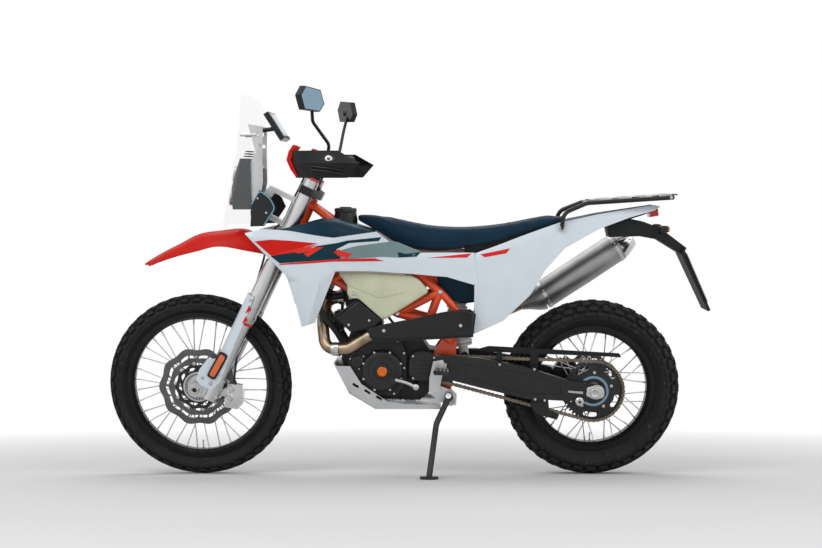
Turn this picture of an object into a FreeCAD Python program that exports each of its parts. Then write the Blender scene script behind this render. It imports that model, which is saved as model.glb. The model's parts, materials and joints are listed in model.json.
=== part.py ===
"""Dual sport motorcycle parked on its side stand.

Every piece is drawn upright in the bike's own frame, in millimetres: X forward from a line just
ahead of the rear axle, Y to the rider's left, Z up from the ground. At the end each piece is leaned
to the left about the line where the tyres meet the ground, and set over the row's origin.
"""

import FreeCAD
import Part
import math
import os

# Driving dimensions of the whole machine, in millimetres and degrees
WHEELBASE = 1500.0
REAR_AXLE_X = -17.0
LEAN = 9.6
RAKE = 26.4
AXLE_LEAD = 60.0
CLAMP_OFFSET = 12.0
LEG_SPACING = 196.0
STEER_LOCK = 40.0
SEAT_SETTING = 0.3
RUNNING_GAP = 0.3
MOVING_GAP = 5.0

# The body's stations are given for this wheelbase, and those between these two stretch with it
DRAWN_WHEELBASE = 1500.0
STRETCH_REAR = 620.0
STRETCH_FRONT = 1040.0

# Wheels and tyres
FRONT_TYRE_RADIUS = 350.0
FRONT_TYRE_HALF_WIDTH = 46.0
FRONT_BEAD_RADIUS = 267.0
FRONT_RIM_HALF_WIDTH = 29.0
FRONT_RIM_INNER = 253.0
REAR_TYRE_RADIUS = 339.0
REAR_TYRE_HALF_WIDTH = 70.0
REAR_BEAD_RADIUS = 229.0
REAR_RIM_HALF_WIDTH = 39.0
REAR_RIM_INNER = 213.0
TREAD_THICKNESS = 22.0
LUG_ROOT = 3.0
BEAD_SEAT = 10.0
SIDEWALL = 12.0
SHOULDER_SHARE = 0.36
RIM_FLANGE = 13.0
RIM_WALL = 4.0
FRONT_LUG_HEIGHT = 11.0
FRONT_LUG_PITCHES = 44
REAR_LUG_HEIGHT = 14.0
REAR_LUG_PITCHES = 40
# Rows of lugs: (degrees across the crown, width, length along the tread, shift in pitches)
FRONT_LUG_ROWS = [(0, 18, 27, 0.0), (25, 16, 27, 0.5), (49, 15, 29, 0.0)]
REAR_LUG_ROWS = [(0, 30, 30, 0.0), (26, 22, 30, 0.5), (47, 20, 34, 0.0)]
SPOKE_COUNT = 36
SPOKE_RADIUS = 2.2
SPOKE_SPREAD = 4.5
SPOKE_END_GAP = 0.9
AXLE_RADIUS = 12.5
AXLE_BORE = 8.0
SPACER_RADIUS = 20.0

# Chain drive and brakes
CHAIN_LINE = 86.0
CHAIN_PITCH = 15.875
CHAIN_PLATE_HALF_HEIGHT = 7.2
CHAIN_PLATE = 2.0
CHAIN_HALF_WIDTH = 9.0
CHAIN_PIN = 4.5
REAR_TEETH = 45
FRONT_TEETH = 16
SPROCKET_HALF = 2.8
SPROCKET_WINDOWS = 5
SPROCKET_WINDOW_AT = 91.0
SPROCKET_WINDOW_HALF = 9.0
SPROCKET_WINDOW_SPAN = 22.0
FRONT_DISC_RADIUS = 150.0
REAR_DISC_RADIUS = 120.0
DISC_THICKNESS = 5.0
DISC_WAVES = 12

V = FreeCAD.Vector
Y_AXIS = V(0, 1, 0)


def shoulder_radius(radius, bead):
    """Radius of a tyre's shoulder, where the round crown meets the sidewall."""
    return radius - SHOULDER_SHARE * (radius - bead)


def leaned_height(radius, half_width, bead):
    """Height of a wheel's centre, drawn upright, that puts its leaned tyre on the ground."""
    drop = radius - shoulder_radius(radius, bead)
    crown = (half_width**2 + drop**2) / (2 * drop)
    return (radius - crown) + crown / math.cos(math.radians(LEAN))


REAR_AXLE = V(REAR_AXLE_X, 0, leaned_height(REAR_TYRE_RADIUS, REAR_TYRE_HALF_WIDTH, REAR_BEAD_RADIUS))
FRONT_AXLE = V(
    REAR_AXLE_X + WHEELBASE,
    0,
    leaned_height(FRONT_TYRE_RADIUS, FRONT_TYRE_HALF_WIDTH, FRONT_BEAD_RADIUS),
)

# The steering axis leans back by the rake, behind the front axle by lead and clamp offset
STEER_UP = V(-math.sin(math.radians(RAKE)), 0, math.cos(math.radians(RAKE)))
STEER_AHEAD = V(math.cos(math.radians(RAKE)), 0, math.sin(math.radians(RAKE)))
STEER_FOOT = FRONT_AXLE - STEER_AHEAD * (AXLE_LEAD + CLAMP_OFFSET)

REAR_PITCH_RADIUS = CHAIN_PITCH / (2 * math.sin(math.pi / REAR_TEETH))
FRONT_PITCH_RADIUS = CHAIN_PITCH / (2 * math.sin(math.pi / FRONT_TEETH))
DRIVE_SHAFT = V(618, 0, 436)
SWING_PIVOT = V(560, 0, 436)


def steer_point(up, ahead=0.0, left=0.0):
    """Point given along the steering axis from its foot, ahead of it and to the left."""
    return STEER_FOOT + STEER_UP * up + STEER_AHEAD * ahead + V(0, left, 0)


def at(x, y, z):
    """Point of the body, its station carried along with the wheelbase."""
    share = min(max((x - STRETCH_REAR) / (STRETCH_FRONT - STRETCH_REAR), 0.0), 1.0)
    return V(x + share * (WHEELBASE - DRAWN_WHEELBASE), y, z)


def wire(points, place):
    """Closed wire; an item that is a pair of pairs is an arc through the first to the second."""
    edges = []
    first = place(*points[0])
    last = first
    for item in points[1:] + [points[0]]:
        if isinstance(item[0], tuple):
            end = place(*item[1])
            edges.append(Part.Arc(last, place(*item[0]), end).toShape())
        else:
            end = place(*item)
            if end.distanceToPoint(last) < 1e-6:
                continue
            edges.append(Part.makeLine(last, end))
        last = end
    return Part.Wire(edges)


def slab(points, y0, y1, place=at):
    """Side view outline carried across from y0 to y1."""
    face = Part.Face(wire(points, lambda x, z: place(x, y0, z)))
    return face.extrude(V(0, y1 - y0, 0))


def ring(profile, centre, angle=360.0, start=0.0):
    """Solid of revolution about a cross axle at centre; profile gives (radius, y)."""
    face = Part.Face(wire(profile, lambda r, y: centre + V(r, y, 0)))
    face.rotate(centre, Y_AXIS, start)
    return face.revolve(centre, Y_AXIS, angle)


def crown(top, low, half):
    """Profile items of two arcs from (low, -half) over (top, 0) to (low, half)."""
    rise = top - low
    radius = (half * half + rise * rise) / (2 * rise)
    turn = math.atan2(half, radius - rise) / 2
    at = top - radius + radius * math.cos(turn)
    reach = radius * math.sin(turn)
    return [((at, -reach), (top, 0)), ((at, reach), (low, half))]


def rod(start, end, radius):
    """Round bar between two points."""
    run = end - start
    return Part.makeCylinder(radius, run.Length, start, run)


def pipe(start, end, radius, bore):
    """Round tube between two points."""
    run = end - start
    longer = run.normalize() * 1.0
    start_out = start - longer
    return rod(start, end, radius).cut(rod(start_out, end + longer, bore))


def cross_rod(centre, radius, y0, y1):
    """Round bar across the bike from y0 to y1."""
    return Part.makeCylinder(radius, y1 - y0, V(centre.x, y0, centre.z), Y_AXIS)


def bent_path(points, bend):
    """Straight runs joined by tangent arcs, each as large as asked or as its runs allow."""
    edges = []
    start = points[0]
    for before, corner, after in zip(points, points[1:], points[2:]):
        back = before - corner
        ahead = after - corner
        shorter = min(back.Length, ahead.Length)
        back.normalize()
        ahead.normalize()
        half = back.getAngle(ahead) / 2
        reach = min(bend / math.tan(half), 0.45 * shorter)
        radius = reach * math.tan(half)
        middle = (back + ahead).normalize() * (radius / math.sin(half) - radius)
        run_end = corner + back * reach
        edges.append(Part.makeLine(start, run_end))
        arc_end = corner + ahead * reach
        edges.append(Part.Arc(run_end, corner + middle, arc_end).toShape())
        start = arc_end
    edges.append(Part.makeLine(start, points[-1]))
    return Part.Wire(edges)


def bent_tube(points, radius, bend):
    """Round bar bent along a path."""
    path = bent_path(points, bend)
    circle = Part.Wire(Part.makeCircle(radius, points[0], points[1] - points[0]))
    return path.makePipeShell([circle], True, False)


def mirrored(shape):
    """The same shape on the other side of the bike."""
    return shape.mirror(V(0, 0, 0), Y_AXIS)


def both(shape):
    """A shape and its mirror image."""
    return [shape, mirrored(shape)]


def fused(shapes):
    """One shape from several that meet."""
    joined = shapes[0].fuse(shapes[1:]) if len(shapes) > 1 else shapes[0]
    return joined.removeSplitter()


def skin(rows, thickness, place=at):
    """Curved wall of a panel; each row is (height, rear, middle, front) with points (x, y)."""
    wires = []
    for z, *outer_points in rows:
        outer_points = [place(x, y, z) for x, y in outer_points]
        outer = Part.Arc(*outer_points).toShape()
        circle = outer.Curve
        share = 1 - thickness / circle.Radius
        inner_points = [circle.Center + (point - circle.Center) * share for point in outer_points]
        inner = Part.Arc(*inner_points).toShape()
        ends = [
            Part.makeLine(outer_points[0], inner_points[0]),
            Part.makeLine(outer_points[2], inner_points[2]),
        ]
        wires.append(Part.Wire(Part.__sortEdges__([outer, ends[1], inner, ends[0]])))
    return Part.makeLoft(wires, True, True)


def arch_loft(stations, wall):
    """Thin arched shell along X; each station is (x, half width, edge z, shoulder z, top z)."""
    wires = []
    for x, half, edge, shoulder, top in stations:
        outer = [(-half, edge), (-0.72 * half, shoulder), (0, top), (0.72 * half, shoulder), (half, edge)]
        inside = [(y * (1 - wall / half), z - wall) for y, z in outer]
        wires.append(wire(outer + inside[::-1], lambda y, z, x=x: at(x, y, z)))
    return Part.makeLoft(wires, True, True)


def station_loft(sections):
    """Solid through cross sections along the body; each is (station x, outline of (y, z))."""
    wires = [wire(outline, lambda y, z, x=x: at(x, y, z)) for x, outline in sections]
    return Part.makeLoft(wires, True, True)


# Wheels


def crown_circle(radius, half_width, bead):
    """Radius of the circle across a tyre's lug tips, and how far round it the tread reaches."""
    rise = radius - shoulder_radius(radius, bead)
    bow = (half_width**2 + rise**2) / (2 * rise)
    return bow, math.degrees(math.asin(half_width / bow))


def tread_point(radius, bow, depth, across):
    """Profile point (radius, y) at an angle across the crown, some depth below the lug tips."""
    turn = math.radians(across)
    return (radius - bow + (bow - depth) * math.cos(turn), (bow - depth) * math.sin(turn))


def lugs(centre, radius, bow, height, pitches, rows):
    """Rings of tread lugs, each row on both sides of the crown and rooted in the carcass."""
    pieces = []
    for across, width, length, shift in rows:
        reach = math.degrees(width / 2 / bow)
        span = math.degrees(length / radius)
        for middle in {across, -across}:
            profile = [
                tread_point(radius, bow, height + LUG_ROOT, middle - reach),
                tread_point(radius, bow, 0, middle - reach),
                tread_point(radius, bow, 0, middle + reach),
                tread_point(radius, bow, height + LUG_ROOT, middle + reach),
            ]
            for pitch in range(pitches):
                start = 360 * (pitch + shift) / pitches - span / 2
                pieces.append(ring(profile, centre, span, start))
    return pieces


def tyre(centre, radius, half_width, bead, rim_half, lug_height, pitches, rows):
    """Knobbly tyre: flat sidewalls, a round crown with lugs and beads seated on the rim."""
    foot = bead + SEAT_SETTING
    widest = bead + 0.52 * (radius - bead)
    bow, edge = crown_circle(radius, half_width, bead)
    bead_half = rim_half - RIM_WALL - SEAT_SETTING
    profile = [
        (foot, -bead_half),
        (foot + RIM_FLANGE, -bead_half),
        (widest, -half_width),
        *[tread_point(radius, bow, lug_height, edge * share) for share in (-1, -0.6, -0.2, 0.2, 0.6, 1)],
        (widest, half_width),
        (foot + RIM_FLANGE, bead_half),
        (foot, bead_half),
        (foot, bead_half - BEAD_SEAT),
        (foot + RIM_FLANGE, bead_half - BEAD_SEAT),
        (widest, half_width - SIDEWALL),
        *crown(radius - TREAD_THICKNESS, widest, SIDEWALL - half_width),
        (foot + RIM_FLANGE, BEAD_SEAT - bead_half),
        (foot, BEAD_SEAT - bead_half),
    ]
    return ring(profile, centre).fuse(lugs(centre, radius, bow, lug_height, pitches, rows))


def front_tyre():
    """Front tyre on its rim."""
    size = (FRONT_TYRE_RADIUS, FRONT_TYRE_HALF_WIDTH, FRONT_BEAD_RADIUS, FRONT_RIM_HALF_WIDTH)
    return tyre(FRONT_AXLE, *size, FRONT_LUG_HEIGHT, FRONT_LUG_PITCHES, FRONT_LUG_ROWS)


def rear_tyre():
    """Rear tyre on its rim."""
    size = (REAR_TYRE_RADIUS, REAR_TYRE_HALF_WIDTH, REAR_BEAD_RADIUS, REAR_RIM_HALF_WIDTH)
    return tyre(REAR_AXLE, *size, REAR_LUG_HEIGHT, REAR_LUG_PITCHES, REAR_LUG_ROWS)


def rim(centre, bead, inner, half):
    """Wheel rim with a drop centre, bead seats and flanges."""
    profile = [
        (inner, -0.45 * half),
        (bead - RIM_WALL, -half),
        (bead + RIM_FLANGE, -half),
        (bead + RIM_FLANGE, -half + RIM_WALL),
        (bead, -half + RIM_WALL),
        (bead, 10 - half),
        (inner + RIM_WALL, -0.3 * half),
        (inner + RIM_WALL, 0.3 * half),
        (bead, half - 10),
        (bead, half - RIM_WALL),
        (bead + RIM_FLANGE, half - RIM_WALL),
        (bead + RIM_FLANGE, half),
        (bead - RIM_WALL, half),
        (inner, 0.45 * half),
    ]
    return ring(profile, centre)


def hub(centre, half_length, flange_radius, flange_at, barrel):
    """Wheel hub with two spoke flanges, bored for its axle."""
    bore = AXLE_RADIUS + RUNNING_GAP
    flange = 4.0
    profile = [
        (bore, -half_length),
        (bore + 8, -half_length),
        (bore + 8, -flange_at - flange),
        (flange_radius, -flange_at - flange),
        (flange_radius, -flange_at + flange),
        (barrel, -flange_at + 3 * flange),
        (barrel, flange_at - 3 * flange),
        (flange_radius, flange_at - flange),
        (flange_radius, flange_at + flange),
        (bore + 8, flange_at + flange),
        (bore + 8, half_length),
        (bore, half_length),
    ]
    return ring(profile, centre)


def spokes(centre, flange_radius, flange_at, rim_inner):
    """Laced spokes from both hub flanges to the rim's inner face."""
    pieces = []
    reach = rim_inner - SPOKE_END_GAP
    sweep = math.radians(48)
    for index in range(SPOKE_COUNT):
        flange_side = 1 if index % 2 else -1
        lean_way = 1 if (index // 2) % 2 else -1
        at_rim = 2 * math.pi * (index + 0.5) / SPOKE_COUNT
        at_hub = at_rim + lean_way * sweep
        start = centre + V(
            (flange_radius - 4) * math.cos(at_hub),
            flange_side * (flange_at + lean_way * SPOKE_SPREAD),
            (flange_radius - 4) * math.sin(at_hub),
        )
        end = centre + V(
            reach * math.cos(at_rim),
            flange_side * 3.0,
            reach * math.sin(at_rim),
        )
        pieces.append(rod(start, end, SPOKE_RADIUS))
    return pieces


def wave_disc(centre, radius, inner, y, waves, windows):
    """Brake disc with a waved rim, an inner carrier ring and open windows between them."""
    plate = Part.makeCylinder(radius, DISC_THICKNESS, centre + V(0, y, 0), Y_AXIS)
    bites = []
    for index in range(waves):
        turn = 2 * math.pi * (index + 0.5) / waves
        middle = centre + V(1.055 * radius * math.cos(turn), y - 1, 1.055 * radius * math.sin(turn))
        bites.append(Part.makeCylinder(0.1 * radius, DISC_THICKNESS + 2, middle, Y_AXIS))
    for index in range(windows):
        turn = 2 * math.pi * index / windows
        middle = centre + V(0.62 * radius * math.cos(turn), y - 1, 0.62 * radius * math.sin(turn))
        bites.append(Part.makeCylinder(0.13 * radius, DISC_THICKNESS + 2, middle, Y_AXIS))
    bites.append(Part.makeCylinder(inner, DISC_THICKNESS + 2, centre + V(0, y - 1, 0), Y_AXIS))
    return plate.cut(bites)


FRONT_FLANGE_AT = 30.0
FRONT_FLANGE_RADIUS = 40.0
FRONT_HUB_HALF = 60.0
FRONT_DISC_AT = FRONT_FLANGE_AT + 22.0
REAR_FLANGE_AT = 42.0
REAR_FLANGE_RADIUS = 62.0
REAR_HUB_HALF = 92.0
REAR_DISC_AT = -80.0


def front_hub():
    """Front hub with its spokes and the boss that carries the brake disc."""
    core = hub(FRONT_AXLE, FRONT_HUB_HALF, FRONT_FLANGE_RADIUS, FRONT_FLANGE_AT, 24.0)
    boss = ring(
        [
            (AXLE_RADIUS + RUNNING_GAP, FRONT_FLANGE_AT),
            (58, FRONT_FLANGE_AT + 4),
            (58, FRONT_DISC_AT),
            (AXLE_RADIUS + RUNNING_GAP, FRONT_DISC_AT),
        ],
        FRONT_AXLE,
    )
    laced = spokes(FRONT_AXLE, FRONT_FLANGE_RADIUS, FRONT_FLANGE_AT, FRONT_RIM_INNER)
    return fused([core, boss] + laced)


def rear_hub():
    """Rear hub with its spokes and the bosses that carry sprocket and brake disc."""
    core = hub(REAR_AXLE, REAR_HUB_HALF, REAR_FLANGE_RADIUS, REAR_FLANGE_AT, 34.0)
    bore = AXLE_RADIUS + RUNNING_GAP
    left = ring(
        [(bore, 30), (52, 44), (72, 60), (72, CHAIN_LINE - SPROCKET_HALF), (bore, CHAIN_LINE - SPROCKET_HALF)],
        REAR_AXLE,
    )
    right_face = REAR_DISC_AT + DISC_THICKNESS
    right = ring([(bore, -30), (56, -44), (56, right_face), (bore, right_face)], REAR_AXLE)
    laced = spokes(REAR_AXLE, REAR_FLANGE_RADIUS, REAR_FLANGE_AT, REAR_RIM_INNER)
    return fused([core, left, right] + laced)


def rear_sprocket():
    """Rear sprocket: a toothed plate with five windows, on the hub's left boss."""
    root = REAR_PITCH_RADIUS - 5.0
    tip = REAR_PITCH_RADIUS + 4.0
    points = []
    for tooth in range(REAR_TEETH):
        for share, radius in ((-0.34, root), (-0.14, tip), (0.14, tip), (0.34, root)):
            turn = 2 * math.pi * (tooth + share) / REAR_TEETH
            points.append((REAR_AXLE.x + radius * math.cos(turn), REAR_AXLE.z + radius * math.sin(turn)))
    plate = slab(points, CHAIN_LINE - SPROCKET_HALF, CHAIN_LINE + SPROCKET_HALF, V)
    cuts = [cross_rod(REAR_AXLE, 34, 0, 2 * CHAIN_LINE)]
    inner = SPROCKET_WINDOW_AT - SPROCKET_WINDOW_HALF
    outer = SPROCKET_WINDOW_AT + SPROCKET_WINDOW_HALF
    window = [(inner, 0), (outer, 0), (outer, 2 * CHAIN_LINE), (inner, 2 * CHAIN_LINE)]
    for index in range(SPROCKET_WINDOWS):
        start = 360 * index / SPROCKET_WINDOWS
        cutter = [ring(window, REAR_AXLE, SPROCKET_WINDOW_SPAN, start)]
        for end in (0, SPROCKET_WINDOW_SPAN):
            turn = math.radians(start + end)
            middle = REAR_AXLE + V(math.cos(turn), 0, -math.sin(turn)) * SPROCKET_WINDOW_AT
            cutter.append(cross_rod(middle, SPROCKET_WINDOW_HALF, 0, 2 * CHAIN_LINE))
        cuts.append(fused(cutter))
    return plate.cut(cuts)


# Chain


def chain():
    """Closed chain loop: side plates in two bands, joined by pins along its straight runs."""
    front = V(DRIVE_SHAFT.x, 0, DRIVE_SHAFT.z)
    rear = V(REAR_AXLE.x, 0, REAR_AXLE.z)

    def loop(grow):
        """Belt outline round both sprockets at the pitch line grown by a distance."""
        big = REAR_PITCH_RADIUS + grow
        small = FRONT_PITCH_RADIUS + grow
        line = front - rear
        tilt = math.atan2(line.z, line.x)
        spread = math.acos((big - small) / line.Length)

        def on(centre, radius, turn):
            return (centre.x + radius * math.cos(turn), centre.z + radius * math.sin(turn))

        up = tilt + spread
        down = tilt - spread
        return [
            on(rear, big, up),
            (on(rear, big, tilt + math.pi), on(rear, big, down)),
            on(front, small, down),
            (on(front, small, tilt), on(front, small, up)),
        ]

    outer = loop(CHAIN_PLATE_HALF_HEIGHT)
    inner = loop(-CHAIN_PLATE_HALF_HEIGHT)
    bands = []
    pair = 2 * CHAIN_PLATE
    for y0 in (CHAIN_LINE - CHAIN_HALF_WIDTH, CHAIN_LINE + CHAIN_HALF_WIDTH - pair):
        bands.append(slab(outer, y0, y0 + pair, V).cut(slab(inner, y0 - 1, y0 + pair + 1, V)))
    (top_rear, (_, low_rear), low_front, (_, top_front)) = loop(0)
    pins = []
    for (rear_x, rear_z), (front_x, front_z) in ((top_rear, top_front), (low_rear, low_front)):
        start = V(rear_x, 0, rear_z)
        run = V(front_x, 0, front_z) - start
        count = int(run.Length / CHAIN_PITCH)
        for index in range(3, count - 2):
            middle = start + run * (index / count)
            inner_face = CHAIN_HALF_WIDTH - 1
            pins.append(cross_rod(middle, CHAIN_PIN, CHAIN_LINE - inner_face, CHAIN_LINE + inner_face))
    return fused(bands + pins)


def front_sprocket():
    """Drive sprocket on the gearbox shaft."""
    root = FRONT_PITCH_RADIUS - CHAIN_PLATE_HALF_HEIGHT - SEAT_SETTING
    disc = cross_rod(DRIVE_SHAFT, root, CHAIN_LINE - 7, CHAIN_LINE + 7)
    shaft = cross_rod(DRIVE_SHAFT, 15, ENGINE_HALF + SEAT_SETTING, CHAIN_LINE + 8)
    return fused([disc, shaft])


# Frame, swingarm and engine

SHOCK_TOP = V(512, 0, 742)
SHOCK_LOW = V(470, 0, 466)
SHOCK_EYE_HALF = 16.0
SHOCK_PIN = 6.0
SPRING_COILS = 9
HEAD_TUBE_LOW = 648.0
HEAD_TUBE_HIGH = 832.0
HEAD_TUBE_RADIUS = 31.0
STEM_RADIUS = 17.0
FRAME_TUBE = 14.0
SWING_ARM_INNER = 104.0
SWING_ARM_OUTER = 132.0
PIVOT_PLATE_OUTER = 72.0

# Trellis joints on the left side
TRELLIS = {
    "head_top": steer_point(HEAD_TUBE_HIGH - 20, 0, 19),
    "head_low": steer_point(HEAD_TUBE_LOW + 36, 0, 18),
    "tank_top": at(800, 96, 856),
    "upper_mid": at(648, 100, 783),
    "upper_joint": at(562, 100, 718),
    "upper_rear": at(494, 94, 640),
    "pivot_top": at(520, 60, 520),
    "front_low": at(962, 84, 760),
    "low_joint": at(722, 88, 634),
    "low_mid": at(604, 86, 603),
}
# Which joints each straight trellis tube runs between
TRELLIS_TUBES = [
    ("head_top", "tank_top"),
    ("tank_top", "upper_mid"),
    ("upper_mid", "upper_joint"),
    ("upper_joint", "upper_rear"),
    ("upper_rear", "pivot_top"),
    ("head_low", "front_low"),
    ("front_low", "low_joint"),
    ("low_joint", "low_mid"),
    ("low_mid", "pivot_top"),
    ("upper_joint", "low_joint"),
    ("upper_joint", "low_mid"),
    ("tank_top", "front_low"),
    ("head_top", "head_low"),
]


def frame_room(one, other):
    """Space round one straight trellis tube that a piece seated on it stays out of."""
    return rod(TRELLIS[one], TRELLIS[other], FRAME_TUBE + SEAT_SETTING)


def main_frame():
    """Trellis frame: head tube, tubes on both sides, cross tubes and the swingarm pivot plates."""
    stem_bore = STEM_RADIUS + RUNNING_GAP
    low = steer_point(HEAD_TUBE_LOW)
    high = steer_point(HEAD_TUBE_HIGH)
    pieces = []
    for one, other in TRELLIS_TUBES:
        pieces += both(rod(TRELLIS[one], TRELLIS[other], FRAME_TUBE))
    for joint in TRELLIS.values():
        pieces += both(Part.makeSphere(FRAME_TUBE, joint))
    for name in ("tank_top", "upper_mid", "low_mid"):
        joint = TRELLIS[name]
        pieces.append(cross_rod(joint, FRAME_TUBE, -joint.y, joint.y))
    plate = slab(
        [(500, 530), (545, 545), (590, 480), (602, 420), (600, 330), (524, 330), (505, 420)],
        PIVOT_PLATE_OUTER - 12,
        PIVOT_PLATE_OUTER,
    )
    pieces += both(plate)
    rail = rod(TRELLIS["upper_mid"], V(440, 74, 846), 11)
    beyond = Part.makeBox(200, 400, 400, V(TAIL_STATIONS[0][0] + SEAT_SETTING - 200, -200, 700))
    pieces += both(rail.cut(beyond))
    ear = slab(
        [(650, 772), (648, 796), (520, 764), (496, 750), (496, 734), (516, 726)],
        SHOCK_EYE_HALF + SEAT_SETTING,
        SHOCK_EYE_HALF + 6,
    )
    pieces += both(ear)
    pieces.append(cross_rod(SHOCK_TOP, SHOCK_PIN, -SHOCK_EYE_HALF - 6, SHOCK_EYE_HALF + 6))
    body = fused(pieces + [rod(low, high, HEAD_TUBE_RADIUS)])
    body = body.cut(rod(low - STEER_UP, high + STEER_UP, stem_bore))
    return body.cut(cross_rod(SWING_PIVOT, 10 + RUNNING_GAP, -200, 200))


def swing_axle():
    """Swingarm pivot bolt from arm to arm."""
    return cross_rod(SWING_PIVOT, 10, -SWING_ARM_OUTER - 6, SWING_ARM_OUTER + 6)


SWING_TOP = [(420, 474), (250, 440), (REAR_AXLE.x + 90, 384)]
SWING_OUTLINE = [
    (590, 448),
    ((560, 482), (520, 474)),
    *SWING_TOP,
    (REAR_AXLE.x - 30, 366),
    ((REAR_AXLE.x - 44, 344), (REAR_AXLE.x - 32, 320)),
    (REAR_AXLE.x + 40, 306),
    (240, 318),
    (420, 362),
    (520, 388),
    ((575, 395), (590, 425)),
]


GUIDE_OUTLINE = [(214, 330), (222, 288), (196, 254), (120, 232), (112, 252), (150, 268), (156, 330)]
GUIDE_SHOE = [(206, 268), (196, 254), (120, 232), (116, 244)]


def chain_guide():
    """Guide under the left arm that holds the chain's lower run between two cheeks."""
    reach = CHAIN_HALF_WIDTH + 3
    inner = slab(GUIDE_OUTLINE[1:6], CHAIN_LINE - reach - 4, CHAIN_LINE - reach)
    outer = slab(GUIDE_OUTLINE, CHAIN_LINE + reach, SWING_ARM_INNER + 1)
    shoe = slab(GUIDE_SHOE, CHAIN_LINE - reach - 1, CHAIN_LINE + reach + 1)
    return [inner, outer, shoe]


def swingarm():
    """Swingarm: two tapered arms with axle slots, joined by a cross member behind the pivot."""
    arm = slab(SWING_OUTLINE, SWING_ARM_INNER, SWING_ARM_OUTER)
    hollow = slab(
        [(470, 452), (260, 420), (110, 376), (110, 332), (260, 338), (470, 398)],
        SWING_ARM_OUTER - 5,
        SWING_ARM_OUTER + 1,
    )
    arm = arm.cut(hollow)
    cross = slab([(500, 446), (400, 432), (392, 396), (500, 400)], -SWING_ARM_INNER - 1, SWING_ARM_INNER + 1)
    ear = slab(
        [(448, 440), (492, 440), (484, 474), (470, 482), (456, 474)],
        SHOCK_EYE_HALF + SEAT_SETTING,
        SHOCK_EYE_HALF + 7,
    )
    pin = cross_rod(SHOCK_LOW, SHOCK_PIN, -SHOCK_EYE_HALF - 7, SHOCK_EYE_HALF + 7)
    body = fused(both(arm) + [cross, pin] + both(ear) + chain_guide())
    body = body.cut(cross_rod(SWING_PIVOT, 10 + RUNNING_GAP, -200, 200))
    return body.cut(cross_rod(REAR_AXLE, AXLE_RADIUS + RUNNING_GAP, -200, 200))


def behind_axle(x, y, z):
    """Point given by its station from the rear axle."""
    return V(REAR_AXLE.x + x, y, z)


def rear_axle():
    """Hollow rear axle with an adjuster block and nut on each side."""
    bar = cross_rod(REAR_AXLE, AXLE_RADIUS, -SWING_ARM_OUTER - 8, SWING_ARM_OUTER + 8)
    block = slab(
        [(-34, 330), ((-24, 366), (8, 368)), (26, 362), (30, 336), ((4, 318), (-20, 320))],
        SWING_ARM_OUTER + SEAT_SETTING,
        SWING_ARM_OUTER + 5,
        behind_axle,
    )
    nut = cross_rod(REAR_AXLE, 18, SWING_ARM_OUTER + 4, SWING_ARM_OUTER + 8)
    spacer = cross_rod(REAR_AXLE, SPACER_RADIUS, REAR_HUB_HALF + 2, SWING_ARM_INNER - SEAT_SETTING)
    body = fused([bar] + both(block) + both(nut) + both(spacer))
    return body.cut(cross_rod(REAR_AXLE, AXLE_BORE, -200, 200))


CRANKCASE_OUTLINE = [
    (938, 484),
    (924, 404),
    (886, 348),
    (800, 306),
    (640, 300),
    (604, 330),
    (604, 372),
    (540, 372),
    (540, 486),
    (604, 496),
    (640, 548),
    (760, 566),
    (900, 560),
]
ENGINE_HALF = 58.0
COVER_CENTRE = at(779, 0, 421)
COVER_RADIUS = 78.0
COVER_FACE = 128.0
COVER_BOLTS = 8
COVER_PLUG_RADIUS = 15.0
STARTER_CENTRE = at(872, 0, 456)
CASE_FLANGE = [(886, 500), (860, 540), (712, 540), (690, 490), (690, 372), (730, 322), (830, 330), (900, 400)]
# Cylinder axis from its foot on the crankcase, leaning forward, and sections up it
CYLINDER_FOOT = at(836, 0, 540)
CYLINDER_LEAN = 9.4
CYLINDER_TOP = 128.0
FIN_COUNT = 5
FIN_PITCH = 22.0
FIN_THICK = 14.0
# Head from its base up, (rear, front, half width, height) about the cylinder's axis
HEAD_LEVELS = [(-68, 62, 60, 128), (-72, 65.6, 66, 150), (-66, 62, 64, 196), (-52, 54, 52, 226)]


def up_cylinder(ahead, left, up):
    """Point given along the leaning cylinder: ahead, to the left and up from its foot."""
    turn = math.radians(CYLINDER_LEAN)
    along = V(math.sin(turn), 0, math.cos(turn))
    across = V(math.cos(turn), 0, -math.sin(turn))
    return CYLINDER_FOOT + across * ahead + V(0, left, 0) + along * up


def cylinder_block(rear, front, half, low, high):
    """Box section of the cylinder between two heights along it, with cut corners."""
    cut = 16
    outline = [
        (rear, cut - half),
        (rear + cut, -half),
        (front - cut, -half),
        (front, cut - half),
        (front, half - cut),
        (front - cut, half),
        (rear + cut, half),
        (rear, half - cut),
    ]
    face = Part.Face(wire(outline, lambda ahead, left: up_cylinder(ahead, left, low)))
    return face.extrude(up_cylinder(0, 0, high) - up_cylinder(0, 0, low))


def cylinder():
    """Finned cylinder with the head that widens over it and its cam cover."""
    pieces = [cylinder_block(-52, 52, 50, -30, CYLINDER_TOP + 1)]
    for fin in range(FIN_COUNT):
        low = FIN_PITCH * fin + 12
        pieces.append(cylinder_block(-64, 64, 62, low, low + FIN_THICK))
    for (rear, front, half, low), (*_, high) in zip(HEAD_LEVELS, HEAD_LEVELS[1:]):
        pieces.append(cylinder_block(rear, front, half, low, high + 1))
    pieces.append(rod(up_cylinder(0, -44, 170), up_cylinder(0, -70, 170), 26))
    pieces.append(rod(up_cylinder(8, 60, 172), up_cylinder(8, 69, 172), 20))
    return pieces


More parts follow.
